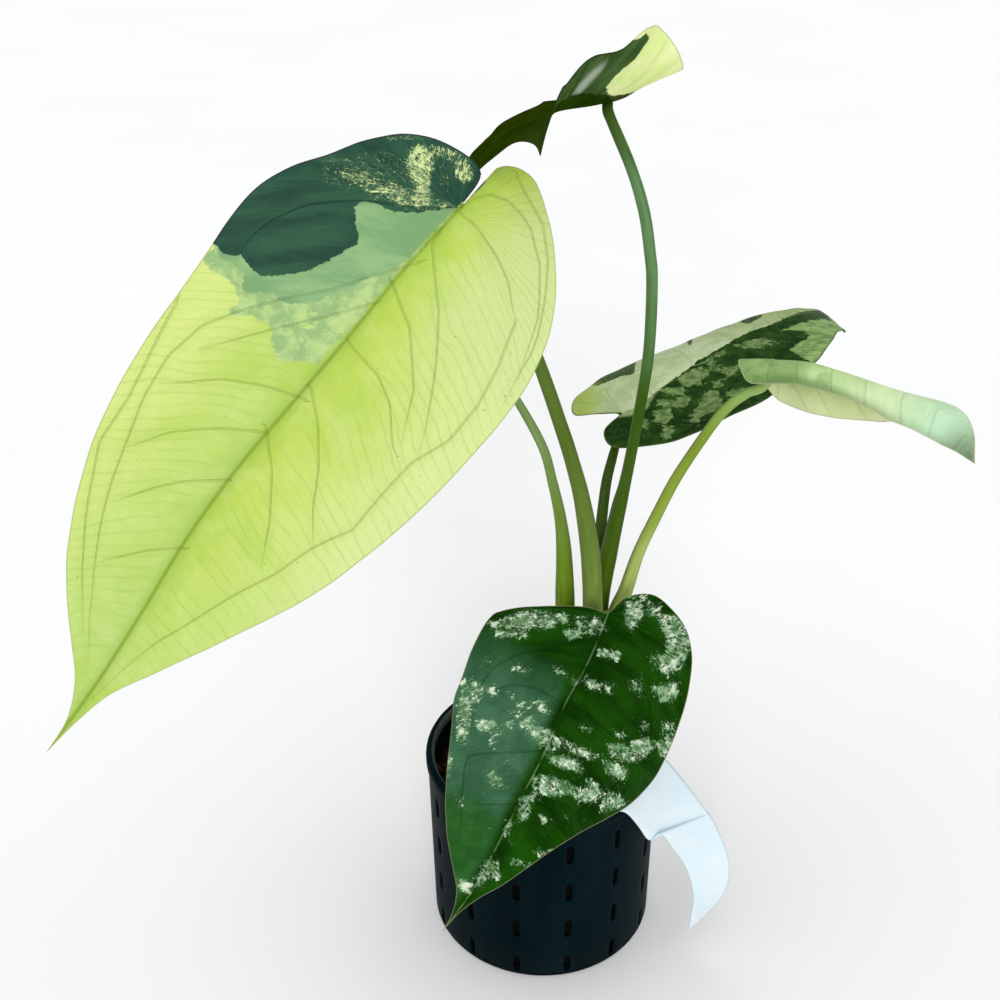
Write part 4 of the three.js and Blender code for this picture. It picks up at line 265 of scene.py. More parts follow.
            ([[98.8, -36.8], [97.5, -32.7], [96.8, -29.2], [96.7, -26.1], [97.1, -23.5], [94, -19.9], [86.1, -14.7], [82.8, -14.1], [82, -16.4], [81.4, -18.9], [84.4, -24.1]], 0.3),
            ([[85.5, 0], [91.6, 0], [98.9, -0.7], [108.5, -2.7], [119.5, -4.8], [133.3, -8.1], [147.2, -10.6], [161.4, -14.2], [160.7, -11.1], [135.9, -2.4], [123.3, -0.6], [114.7, 0], [107.4, 0], [100.6, 0], [93.4, 0]], 0.85),
        ],
        'lobe': [
            ([[9, -70], [7.3, -55], [8.1, -45.7], [6.6, -34.2], [3.4, -24.5], [-1.7, -17.3], [-6.8, -12.2], [-11, -10.6], [-14.1, -13.7], [-16.5, -17.4], [-12.9, -26.3], [-8.7, -37], [-2.1, -47.8]], 1),
        ],
        'far': [
            ([[0.1, 0.8], [6.7, 1.8], [13.6, 1.8], [21.3, -0.3], [28.5, -0.4], [36.1, -1], [44.3, -2.2], [52.1, -2.2], [59.7, -1.5], [68.9, -2.7], [77.7, -2.7], [85.7, -1.3], [95.2, -0.8], [108, -2.6], [122.4, -4.2], [140.5, -6.8], [159.2, -10.1], [155.3, 0.2], [145.7, 2.4], [143.4, -1.9], [155.4, -15.7], [155.5, -23], [142.4, -22], [132.2, -23.5], [125.4, -27.4], [121.5, -33.4], [119.8, -41.1], [117.3, -48], [114.9, -55.2], [114.3, -64.1], [103.1, -63.9], [85.7, -58.9], [72.4, -58], [62.4, -59.9], [53.3, -62.8], [44.7, -66.3], [36.4, -70], [29, -70], [22.1, -70], [14.3, -70], [-3.2, -52], [-13.4, -32.8], [-21.3, -19.7], [-19.2, -14], [-13.4, -10.9], [-6.8, -9.6], [-3, -4.6]], 1),
        ],
        'tip': [
            ([[88.6, 7], [94, 6.8], [100.1, 6.2], [106.5, 5.7], [113.1, 5.5], [122.2, 3.9], [132.8, 2], [139.6, 2.8], [160.7, -3.9], [112.6, 24], [97.7, 35.8], [89.2, 40.2], [83.4, 42.2], [78.4, 43.6], [73.6, 44.8], [69, 46.1], [71.4, 41.6], [74, 36.2], [75, 31.2], [76.1, 26.1], [78.4, 22.9], [83.1, 22.5], [88.4, 21.8], [94.4, 19.5], [96.9, 14], [94.6, 11.2], [92.1, 8.7]], 1),
        ],
        'pale': [
            ([[0.1, 0.8], [3.6, 1.3], [7.2, 1.8], [10.8, 2.4], [14.8, 1.5], [18.9, 0.4], [23.1, -0.9], [20.5, 0.3], [16.3, 2.1], [12.2, 4.2], [8.1, 6.8], [4.7, 5.8], [1.5, 4.5], [-1.3, 2.4], [-3.6, 0.4]], 1),
        ],
        'blot': [
            ([[32.7, 0], [36.6, 0], [40, 0.1], [42.9, 2.3], [43, 6.7], [41.2, 10.2], [37.2, 9.9], [33.2, 9.6], [30.6, 7.5], [29.2, 3.8], [30.1, 0]], 1),
            ([[21, 0], [23.1, 0.9], [25, 2.9], [26.8, 4.9], [28.6, 7], [27, 9.4], [23.8, 11.7], [22.2, 9.5], [20.5, 7.4], [18.8, 5.2], [18.8, 2.4]], 1),
            ([[30.4, 17.8], [33, 19.3], [35.6, 20.7], [34.6, 24.4], [31.6, 29.4], [28.5, 33.4], [25.1, 34], [22.2, 34.1], [22.6, 29.4], [22.9, 24.8], [26.6, 21.3]], 1),
            ([[9.8, 10.1], [11.5, 11.7], [13.2, 13.4], [14.8, 15.1], [14.4, 17.3], [11.8, 20], [9.2, 22.5], [7.8, 20.5], [6.3, 18.5], [5.1, 16.4], [7.4, 13.2]], 1),
            ([[6.1, 21.3], [6.9, 23], [7.6, 24.7], [8.3, 26.4], [6.5, 28.2], [4.6, 30], [2.8, 31.6], [2.1, 29.8], [1.5, 28], [2.8, 25.8], [4.5, 23.6]], 1),
            ([[40.5, 0], [44.4, 0], [49.6, 0], [53.5, 0], [57.4, 0], [61.7, 0.8], [59, 2.4], [54.3, 3.1], [50.1, 2.7], [46, 2.3], [43.1, 0]], 1),
            ([[64, 1.5], [67.7, 2.7], [71.4, 3.9], [75.1, 5], [78.1, 6.8], [79, 10.5], [77, 12], [72.9, 11.5], [68.9, 11], [67, 8.2], [65.6, 4.8]], 1),
            ([[21.7, 11], [22.8, 12.4], [23.8, 13.8], [24.8, 15.2], [23.7, 17.3], [21.9, 19.7], [20.3, 20.2], [19, 19.4], [17.6, 18.5], [18.7, 16.1], [20.2, 13.5]], 1),
            ([[36.7, 27.7], [38.7, 28.7], [40.8, 29.6], [42.8, 30.5], [43.9, 32], [40.9, 35.7], [38.1, 38.3], [36.1, 37.5], [34, 36.7], [32.3, 35.7], [34.5, 31.7]], 1),
            ([[18.1, 24.8], [19.1, 26.2], [20.1, 27.6], [21.2, 28.9], [19.9, 31], [18, 33.2], [16.1, 35.4], [15.3, 33.8], [14.6, 32.1], [14.7, 30], [16.4, 27.4]], 1),
            ([[47, 10.8], [49.2, 11.5], [51.5, 12.2], [53.7, 12.9], [56, 13.7], [54, 15.5], [50.8, 17.7], [48.1, 18.6], [45.9, 17.8], [43.7, 17.1], [45, 14.2]], 1),
            ([[2.4, 10.4], [3.4, 11.4], [4.5, 12.3], [4.9, 13.5], [3.4, 15.2], [1.9, 17], [0.4, 18.8], [-0.3, 17.5], [-1, 16.1], [-0.2, 14.3], [1.1, 12.4]], 1),
            ([[39, 13.4], [40.2, 14.4], [41.4, 15.4], [42.6, 16.4], [42.5, 17.8], [40.4, 19.8], [38.6, 21], [37.5, 20], [36.3, 19.1], [35.5, 17.9], [37.3, 15.6]], 1),
            ([[29.3, 5.6], [32, 5.2], [34.7, 4.8], [37.2, 4.7], [38.3, 6.9], [39.4, 9], [37.5, 10.2], [34.6, 11.1], [32.4, 10.7], [30.4, 9.7], [28.4, 8.6]], 1),
            ([[14.2, 5.8], [17.2, 7], [19.5, 9.2], [20.6, 12.8], [21.6, 16.6], [22.3, 20.7], [20.9, 20.2], [18.8, 17.9], [16.6, 15.5], [14.8, 12.5], [12.9, 9.6]], 1),
            ([[9.6, 10.6], [11.3, 12.3], [13.1, 13.9], [14.8, 15.6], [14.3, 18.1], [11.9, 21.4], [9.6, 22.9], [7.3, 22.2], [6.1, 20.1], [5.6, 17], [7.2, 13.8]], 1),
            ([[28.8, 19], [30.9, 20.2], [33, 21.5], [34.1, 23.6], [32.9, 27.7], [30.8, 30.6], [27.7, 32.2], [25.3, 31.9], [23, 31.3], [20.7, 31], [18.1, 31.3], [18.7, 28.5], [20.6, 24.4], [23.2, 23.8], [26, 22.5]], 1),
            ([[4.1, 23.6], [5.7, 25], [7.2, 26.5], [8.6, 28], [8.5, 29.2], [6, 30.3], [3.5, 31.4], [0.9, 33], [-0.4, 32.4], [0.1, 29.1], [1.8, 26.2]], 1),
            ([[16.1, 29.3], [16.8, 29.7], [17.5, 30.1], [18.3, 30.5], [17.7, 31.6], [16.7, 32.9], [15.7, 34.2], [14.8, 35.4], [15.1, 33.8], [15.4, 32.3], [15.8, 30.8]], 1),
            ([[75.1, 9.3], [75.9, 10], [76.7, 10.7], [77.5, 11.4], [78.3, 12.1], [78.7, 12.7], [77, 13.4], [75.4, 14], [74.8, 13.4], [75, 12], [75, 10.7]], 1),
        ],
        'dull': [
            ([[49.1, 1.3], [49.3, 4.4], [49.4, 7.7], [50.1, 10.5], [50.9, 13.2], [48, 15.1], [46.1, 14], [44.9, 11.6], [43.8, 9], [44.4, 5.4], [45.6, 2.5]], 0.45),
            ([[37.6, 24.7], [39.7, 26.4], [41.7, 28], [43.7, 29.7], [44.2, 32.3], [41.5, 37.1], [38.8, 36.8], [36.2, 36.3], [33.6, 35.7], [32.6, 33.9], [35.1, 29.2]], 0.6),
            ([[35.2, 6.5], [36.6, 8.3], [38, 10.1], [39.1, 12], [36.3, 14.8], [33.5, 17.5], [31, 19.6], [30.1, 17.3], [29.2, 15], [30.1, 12.3], [32.6, 9.4]], 0.25),
            ([[68.6, 2.1], [72.8, 3.4], [77, 4.6], [79.9, 7.2], [81.4, 11], [82.8, 14.9], [78.4, 15.1], [73.6, 14.8], [70, 13.2], [67.5, 10.3], [64.9, 7.4]], 0.3),
        ],
    },
}

# Main lateral veins, drawn the same way.
VEINS = {
    'a': [
        [[0.7, -0.7], [0.6, -3.9], [0.5, -7.1], [0.9, -10.2], [1.7, -13.3], [2.4, -16.4], [3.3, -19.5], [4.5, -22.5], [5.8, -25.4], [7.2, -28.3], [9.2, -30.8], [11.2, -33.3], [13.2, -35.9], [15.3, -38.4]],
        [[8.8, -0.4], [14.5, -1.1], [18.4, -5.2], [22.4, -9.4], [26.4, -13.5], [30.6, -17.6], [35.5, -21], [40.3, -24.3], [45.1, -27.5], [49.9, -30.4], [54.6, -33.2], [59.3, -36], [64.1, -38.7], [69.3, -41]],
        [[57.9, -1.4], [58.5, -4.8], [59, -8.2], [59.6, -11.6], [60.1, -15.1], [61.5, -18.2], [63.1, -21.3], [64.7, -24.3], [67.3, -26.7], [69.8, -29.1], [72.4, -31.4], [74.8, -34], [76.6, -37], [78.5, -40]],
        [[77.6, -1.4], [80.1, -4.5], [82.6, -7.5], [85.1, -10.5], [88, -13.1], [91, -15.7], [94, -18.3], [97.1, -20.7], [100.6, -22.8], [104.2, -24.9], [108, -26.9], [111.6, -29.4], [115.3, -31.8], [118.8, -34.2]],
        [[16.1, -39], [31.9, -44], [47.6, -46.7], [61.4, -46.6], [75, -42], [89.9, -41.4], [105.5, -41.6], [120.9, -34.9], [136.6, -30.2], [151.2, -23], [164.6, -16.3], [177.4, -9.5], [191.3, -4.7], [205.7, -1.4]],
        [[0, 0], [-6, -1.2], [-11, -4.6], [-13.2, -10.1], [-12.9, -15.9], [-11.2, -21.7], [-7.7, -26.7], [-4.2, -31.7], [0.3, -35.7], [4.7, -39.7], [9.4, -43.3], [15.2, -45.8], [21.3, -48.1], [27.9, -50.4]],
        [[-21.4, -6.7], [-19.2, -12.4], [-17.1, -18.1], [-14.9, -23.8], [-10.9, -28.4], [-6.9, -33], [-2, -36.7], [2.7, -40.4], [7.8, -43.6], [13.1, -46.7], [19, -49.1], [25.8, -50.3], [33.2, -51.5], [40, -52.5]],
        [[0.2, 0.2], [4.6, 4.8], [8.9, 9.4], [12.7, 14.3], [16.4, 19.2], [20, 24], [24.1, 28.3], [28.2, 32.4], [32.2, 36.5], [37.2, 39.2], [42.4, 41.8], [48.4, 43.2], [55.1, 43.5], [61.6, 42.2]],
        [[21.9, -2.4], [34.8, 5.4], [47.4, 13.5], [59.5, 22.6], [72, 30.8], [84.9, 37.5], [99.8, 39.3], [113, 37.1], [126.2, 33.3], [139.6, 29.9], [152.4, 25.6], [166.4, 20.2], [180.6, 13.9], [194.4, 6.5]],
        [[119.3, 0.6], [121.1, 2.8], [122.8, 5], [124.5, 7.1], [126.1, 9.3], [127.9, 11.4], [129.9, 13.2], [131.9, 15.1], [133.9, 17], [135.9, 18.7], [138.1, 20.3], [140.2, 22], [142.3, 23.6], [144.3, 25.3]],
        [[81.7, -2.3], [83.1, 1.1], [84.4, 4.4], [85.8, 7.7], [87.2, 10.9], [89.1, 13.9], [91.1, 16.9], [93, 19.9], [95.2, 22.7], [97.7, 25.1], [100.2, 27.6], [102.7, 30], [105, 32.5], [107.3, 34.9]],
        [[99.3, 1.3], [101.2, 4], [103.1, 6.7], [104.9, 9.4], [106.8, 12], [108.9, 14.4], [111, 16.8], [113.1, 19.1], [115.2, 21.5], [117.3, 23.8], [119.9, 25.6], [122.5, 27.3], [125.1, 29.1], [127.7, 30.9]],
        [[146.3, -0.7], [147.4, 0.9], [148.5, 2.5], [149.5, 4.1], [150.6, 5.6], [151.6, 7.2], [152.8, 8.7], [154.1, 10.1], [155.3, 11.5], [156.6, 12.9], [157.9, 14.3], [159.2, 15.7], [160.5, 17.1], [161.8, 18.4]],
        [[42.1, 0.2], [45.8, 2.8], [49.5, 5.3], [53.2, 7.8], [57, 10.3], [60.6, 12.9], [64.3, 15.4], [68, 17.9], [71.6, 20.4], [75.3, 22.8], [78.9, 25.2], [82.6, 27.6], [86.2, 29.9], [90.1, 32.3]],
        [[83.5, 48.2], [92.5, 46.4], [100.9, 44.5], [108.6, 42.4], [116.1, 40.6], [124.1, 40.1], [132.1, 39.8], [139.5, 36.5], [146.7, 33.4], [154.1, 30.1], [162, 26.3], [170.6, 22.4], [178.4, 17.8], [186.3, 13.1]],
        [[97.4, 1.2], [99.8, -1.4], [102.2, -3.9], [104.6, -6.5], [107, -9], [110, -11.1], [113, -13.1], [116.1, -15.1], [119.2, -17.1], [122.4, -19], [125.8, -20.5], [129.2, -22], [132.7, -23.5], [136.3, -25]],
        [[33.1, 0.2], [35.2, -3.3], [37.3, -6.8], [39.5, -10.3], [41.6, -13.8], [44.6, -16.6], [47.7, -19.3], [50.7, -22.1], [53.6, -24.8], [56.6, -27.5], [60.2, -29.3], [63.8, -31.1], [67.4, -33], [71.1, -34.8]],
    ],
    'e': [
        [[21.7, 2.4], [23.8, 8.5], [26.3, 14.5], [30.6, 19.6], [34.5, 24.7], [39.1, 28.2], [42.9, 31.8], [47.1, 33.3], [52, 33.9], [58, 33.3], [66.4, 32.5], [74, 31.4]],
        [[43.5, 0.5], [43.4, 3.7], [43.4, 6.9], [43.3, 10.1], [43.3, 13.3], [44.2, 16.4], [45, 19.4], [45.8, 22.5], [47.3, 25], [49.3, 27.1], [51.3, 29.4], [53.4, 31.6]],
        [[65.8, 1.4], [69, 6.8], [72.3, 12.1], [75.6, 17.4], [79, 22.6], [82.6, 26.8], [88.1, 25.3], [93.6, 23.1], [99.4, 20.8], [105.6, 18.4], [111.9, 16], [118, 13.6]],
        [[21.2, 1.6], [20.7, -2.4], [20.4, -6.5], [20.6, -10.5], [21.2, -14.4], [21.7, -18.4], [22.8, -22], [24.7, -25.4], [26.4, -28.7], [29.1, -31], [32.3, -32.9], [35.8, -34.9]],
        [[43.1, -0.3], [43, -3], [43, -5.7], [42.9, -8.4], [43.5, -11], [44.5, -13.6], [45.5, -16.1], [46.5, -18.6], [47.4, -21.1], [47.9, -23.7], [48.4, -26.3], [48.9, -28.8]],
        [[65, -0.2], [64.7, -2.5], [64.4, -4.8], [64.1, -7.1], [63.8, -9.4], [63.6, -11.6], [64.2, -13.8], [64.7, -16], [65.2, -18.2], [65.6, -20.4], [66.1, -22.5], [66.5, -24.7]],
        [[7.7, -3.1], [7, -6.1], [6.4, -9.1], [5.7, -12.1], [6.6, -15.1], [7.6, -18], [8.6, -20.9], [9.5, -23.8], [11.6, -25.9], [13.8, -28], [15.8, -30], [17.8, -32.1]],
        [[26.9, -29.6], [33.6, -32.2], [41.9, -34.8], [52.1, -34.6], [59.6, -33], [65.3, -30.4], [71, -26.7], [77.6, -23.4], [85.3, -20.6], [93.3, -17.8], [100.6, -14.3], [107.7, -10.8]],
        [[91.1, 0.3], [91.7, 1.7], [92.4, 3.1], [93.1, 4.5], [93.7, 5.9], [94.4, 7.3], [95, 8.7], [95.7, 10.1], [96.3, 11.5], [97, 12.9], [97.7, 14.3], [98.3, 15.7]],
        [[89.8, -0.1], [89, -1.7], [88.2, -3.3], [87.5, -4.9], [86.7, -6.5], [85.9, -8.1], [85.6, -9.8], [85.5, -11.5], [85.4, -13.2], [85.2, -14.9], [85.1, -16.6], [85, -18.2]],
    ],
}

# Label: [front edge, back edge] from the inner end over the rim to the point.
LABEL = [[[17, -38.9, 91.2], [37, -2, 91.2]], [[24, -42.4, 94.7], [44, -5.7, 94.7]], [[30, -45.6, 95.9], [50.3, -9, 95.9]], [[35, -44.9, 93.6], [56, -11.7, 94.6]], [[40.5, -43, 84.5], [65.4, -16.4, 84]], [[46, -41, 74.1], [74.7, -21, 72.2]], [[51.31, -40, 76.63], [76.42, -21.5, 69.94]], [[56.63, -40, 68.79], [81.67, -23, 59.02]], [[62.61, -40, 58.39], [85.39, -25, 48.45]], [[66.42, -40, 47.83], [86.68, -27, 35.53]], [[68.49, -39, 35.43], [83.09, -29, 25.05]], [[68.43, -37, 22.36], [75.09, -31, 15.49]], [[68.3, -34.5, 11.77], [69.01, -33.5, 10]]]

# Light: a large soft light from the front, an even one from above, dim surroundings.
WORLD = 0.22
SUNS = [
    ("front", (0.0, -0.94, 0.34), 1.7, 27.0, (1.0, 1.0, 1.0)),
    ("above", (0.05, 0.05, 1.0), 2.25, 110.0, (1.0, 1.0, 1.0)),
]
# Share of the incoming light that each blade's pigments send back, beside its colour in the photo.
GAIN = {"a": 0.92, "b": 0.80, "c": 0.84, "d": 1.20, "e": 0.80, "f": 0.82}



# ------------------------------------------------------------------ small maths
def spline(P, t):
    P = np.asarray(P, float)
    n = len(P) - 1
    E = np.concatenate([[2 * P[0] - P[1]], P, [2 * P[-1] - P[-2]]])
    x = np.clip(np.asarray(t, float), 0, 1) * n
    i = np.minimum(x.astype(int), n - 1)
    f = x - i
    if P.ndim > 1:
        f = f[..., None]
    a, b, c, d = E[i], E[i + 1], E[i + 2], E[i + 3]
    return 0.5 * (2 * b + (-a + c) * f + (2 * a - 5 * b + 4 * c - d) * f * f + (-a + 3 * b - 3 * c + d) * f ** 3)


def slope(P, t):
    P = np.asarray(P, float)
    n = len(P) - 1
    E = np.concatenate([[2 * P[0] - P[1]], P, [2 * P[-1] - P[-2]]])
    x = np.clip(np.asarray(t, float), 0, 1) * n
    i = np.minimum(x.astype(int), n - 1)
    f = (x - i)[..., None]
    a, b, c, d = E[i], E[i + 1], E[i + 2], E[i + 3]
    return n * 0.5 * ((-a + c) + 2 * (2 * a - 5 * b + 4 * c - d) * f + 3 * (-a + 3 * b - 3 * c + d) * f * f)


def unit(v):
    return v / np.maximum(np.linalg.norm(v, axis=-1, keepdims=True), 1e-12)


def step(x, lo, hi):
    t = np.clip((x - lo) / (hi - lo), 0, 1)
    return t * t * (3 - 2 * t)


def outline_distance(pts, poly):
    """distance to a closed outline, negative inside it"""
    a = np.asarray(poly, float)
    b = np.roll(a, -1, 0)
    best = np.full(len(pts), 1e18)
    inside = np.zeros(len(pts), bool)
    for p, q in zip(a, b):
        e = q - p
        w = pts - p
        t = np.clip((w @ e) / (e @ e + 1e-12), 0, 1)
        best = np.minimum(best, ((w - t[:, None] * e) ** 2).sum(1))
        cross = (p[1] > pts[:, 1]) != (q[1] > pts[:, 1])
        x = p[0] + (pts[:, 1] - p[1]) / (q[1] - p[1] + 1e-12) * e[0]
        inside ^= cross & (pts[:, 0] < x)
    return np.where(inside, -1, 1) * np.sqrt(best)


def line_distance(pts, line, start=1.0, end=0.5):
    """distance to a line divided by its half width, which goes from start to end"""
    a = np.asarray(line, float)
    out = np.full(len(pts), 1e9)
    raw = np.full(len(pts), 1e9)
    n = len(a) - 1
    for i in range(n):
        e = a[i + 1] - a[i]
        w = pts - a[i]
        t = np.clip((w @ e) / (e @ e + 1e-12), 0, 1)
        d = np.sqrt(((w - t[:, None] * e) ** 2).sum(1))
        k = start + (end - start) * (i + t) / n
        out = np.minimum(out, d / k)
        raw = np.minimum(raw, d)
    return out, raw


def wobble(x, seed, terms=5):
    """smooth seeded waves of x, about -1..1"""
    rng = np.random.default_rng(seed)
    y = np.zeros_like(x, dtype=float)
    total = 0
    for k in range(terms):
        a = 1 / (1 + 0.6 * k)
        y += a * np.sin(x * (1 + k * 0.83) + rng.uniform(0, 2 * np.pi))
        total += a
    return y / total


def line_place(pts, line, start=1.0, end=0.5):
    """[signed distance / half width, distance in mm, share of the way along] of a line"""
    a = np.asarray(line, float)
    n = len(a) - 1
    best = np.full(len(pts), 1e9)
    out = np.zeros((len(pts), 3))
    for i in range(n):
        e = a[i + 1] - a[i]
        w = pts - a[i]
        t = np.clip((w @ e) / (e @ e + 1e-12), 0, 1)
        d = np.sqrt(((w - t[:, None] * e) ** 2).sum(1))
        sign = np.where(e[0] * w[:, 1] - e[1] * w[:, 0] >= 0, 1.0, -1.0)
        near = d < best
        k = start + (end - start) * (i + t) / n
        out[near] = np.stack([sign * d / k, d, (i + t) / n], 1)[near]
        best = np.minimum(best, d)
    out[:, 0] = np.clip(out[:, 0], -12, 12)
    out[:, 1] = np.minimum(out[:, 1], 12)
    return out


# ------------------------------------------------------------------ meshes
def make_mesh(name, verts, faces, attrs=None, uv=None, material=None, smooth=True, face_material=None):
    """verts in mm; faces lists of indices; attrs name -> per-vertex numbers or 3-vectors; uv per corner"""
    me = bpy.data.meshes.new(name)
    v = np.asarray(verts, float) * MM
    faces = [f for f in faces if len(f) >= 3]
    sizes = np.array([len(f) for f in faces], np.int32)
    loops = np.fromiter((i for f in faces for i in f), np.int32, sizes.sum())
    me.vertices.add(len(v))
    me.vertices.foreach_set("co", v.astype(np.float32).ravel())
    me.loops.add(len(loops))
    me.loops.foreach_set("vertex_index", loops)
    me.polygons.add(len(faces))
    me.polygons.foreach_set("loop_start", np.concatenate([[0], np.cumsum(sizes)[:-1]]).astype(np.int32))
    me.polygons.foreach_set("use_smooth", np.full(len(faces), smooth))
    if face_material is not None:
        me.polygons.foreach_set("material_index", np.asarray(face_material, np.int32))
    me.update(calc_edges=True)
    for key, val in (attrs or {}).items():
        val = np.asarray(val, np.float32)
        if val.ndim == 2:
            me.attributes.new(key, "FLOAT_VECTOR", "POINT").data.foreach_set("vector", val.ravel())
        else:
            me.attributes.new(key, "FLOAT", "POINT").data.foreach_set("value", val)
    if uv is not None:
        layer = me.uv_layers.new(name="OFBake")
        layer.data.foreach_set("uv", np.asarray(uv, np.float32).ravel())
    me.validate()
    ob = bpy.data.objects.new(name, me)
    bpy.context.scene.collection.objects.link(ob)
    for m in (material if isinstance(material, list) else [material] if material else []):
        me.materials.append(m)
    return ob


def clean(face):
    out = []
    for i in face:
        if i not in out:
            out.append(i)
    return out


def piece(ob, node):
    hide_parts(node)
    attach(ob, "root")
    return ob


# ------------------------------------------------------------------ blades
def sheet_point(leaf, u, v, side):
    uc = np.clip(u, 0, 1)
    d = slope(leaf["mid"], uc)
    T = unit(d)
    N = spline(leaf["normal"], uc)
    N = unit(N - (N * T).sum(-1, keepdims=True) * T)
    S = np.cross(T, N)
    un = np.minimum(u, 0)[..., None]
    c = spline(leaf["mid"], uc) + d * un + N * (leaf["bend"] * un * un)
    k = 0 if side > 0 else 1
    t = (u - leaf["ulo"]) / (1 - leaf["ulo"])
    fold = np.radians(spline(leaf["fold"][k], t))
    curl = spline(leaf["curl"][k], t)
    curl = np.where(np.abs(curl) < 1e-6, 1e-6, curl)
    a = fold + curl * v
    x = (np.sin(a) - np.sin(fold)) / curl
    z = (np.cos(fold) - np.cos(a)) / curl
    return c + S * (side * x)[..., None] + N * z[..., None]


def sheet_facing(leaf, u, v, side):
    e, du = 0.5, 0.5 / leaf["length"]
    v0 = np.maximum(v, 0.3)
    a = sheet_point(leaf, u + du, v0, side) - sheet_point(leaf, u - du, v0, side)
    b = sheet_point(leaf, u, v0 + e, side) - sheet_point(leaf, u, v0 - e, side)
    return unit(np.cross(b, a) * side)


def margin_points(control, n, length):
    dense = spline(control, np.linspace(0, 1, 801))
    step_ = np.hypot(np.diff(dense[:, 0]) * length, np.diff(dense[:, 1]))
    d = np.concatenate([[0], np.cumsum(step_)])
    want = np.linspace(0, d[-1], n + 1)
    out = np.stack([np.interp(want, d, dense[:, 0]), np.maximum(0, np.interp(want, d, dense[:, 1]))], 1)
    out[0], out[-1] = (0, 0), (1, 0)
    return out, d[-1]


VEIN_START = 0.33


def vein_foot(s):
    return np.clip((s - VEIN_START) / (1 - VEIN_START), 0, 1)


def vein_place(foot, edge, r):
    cu, cv = foot + 0.38 * (edge[..., 0] - foot), 0.55 * edge[..., 1]
    q = 1 - r
    return q * q * foot + 2 * q * r * cu + r * r * edge[..., 0], 2 * q * r * cv + r * r * edge[..., 1]


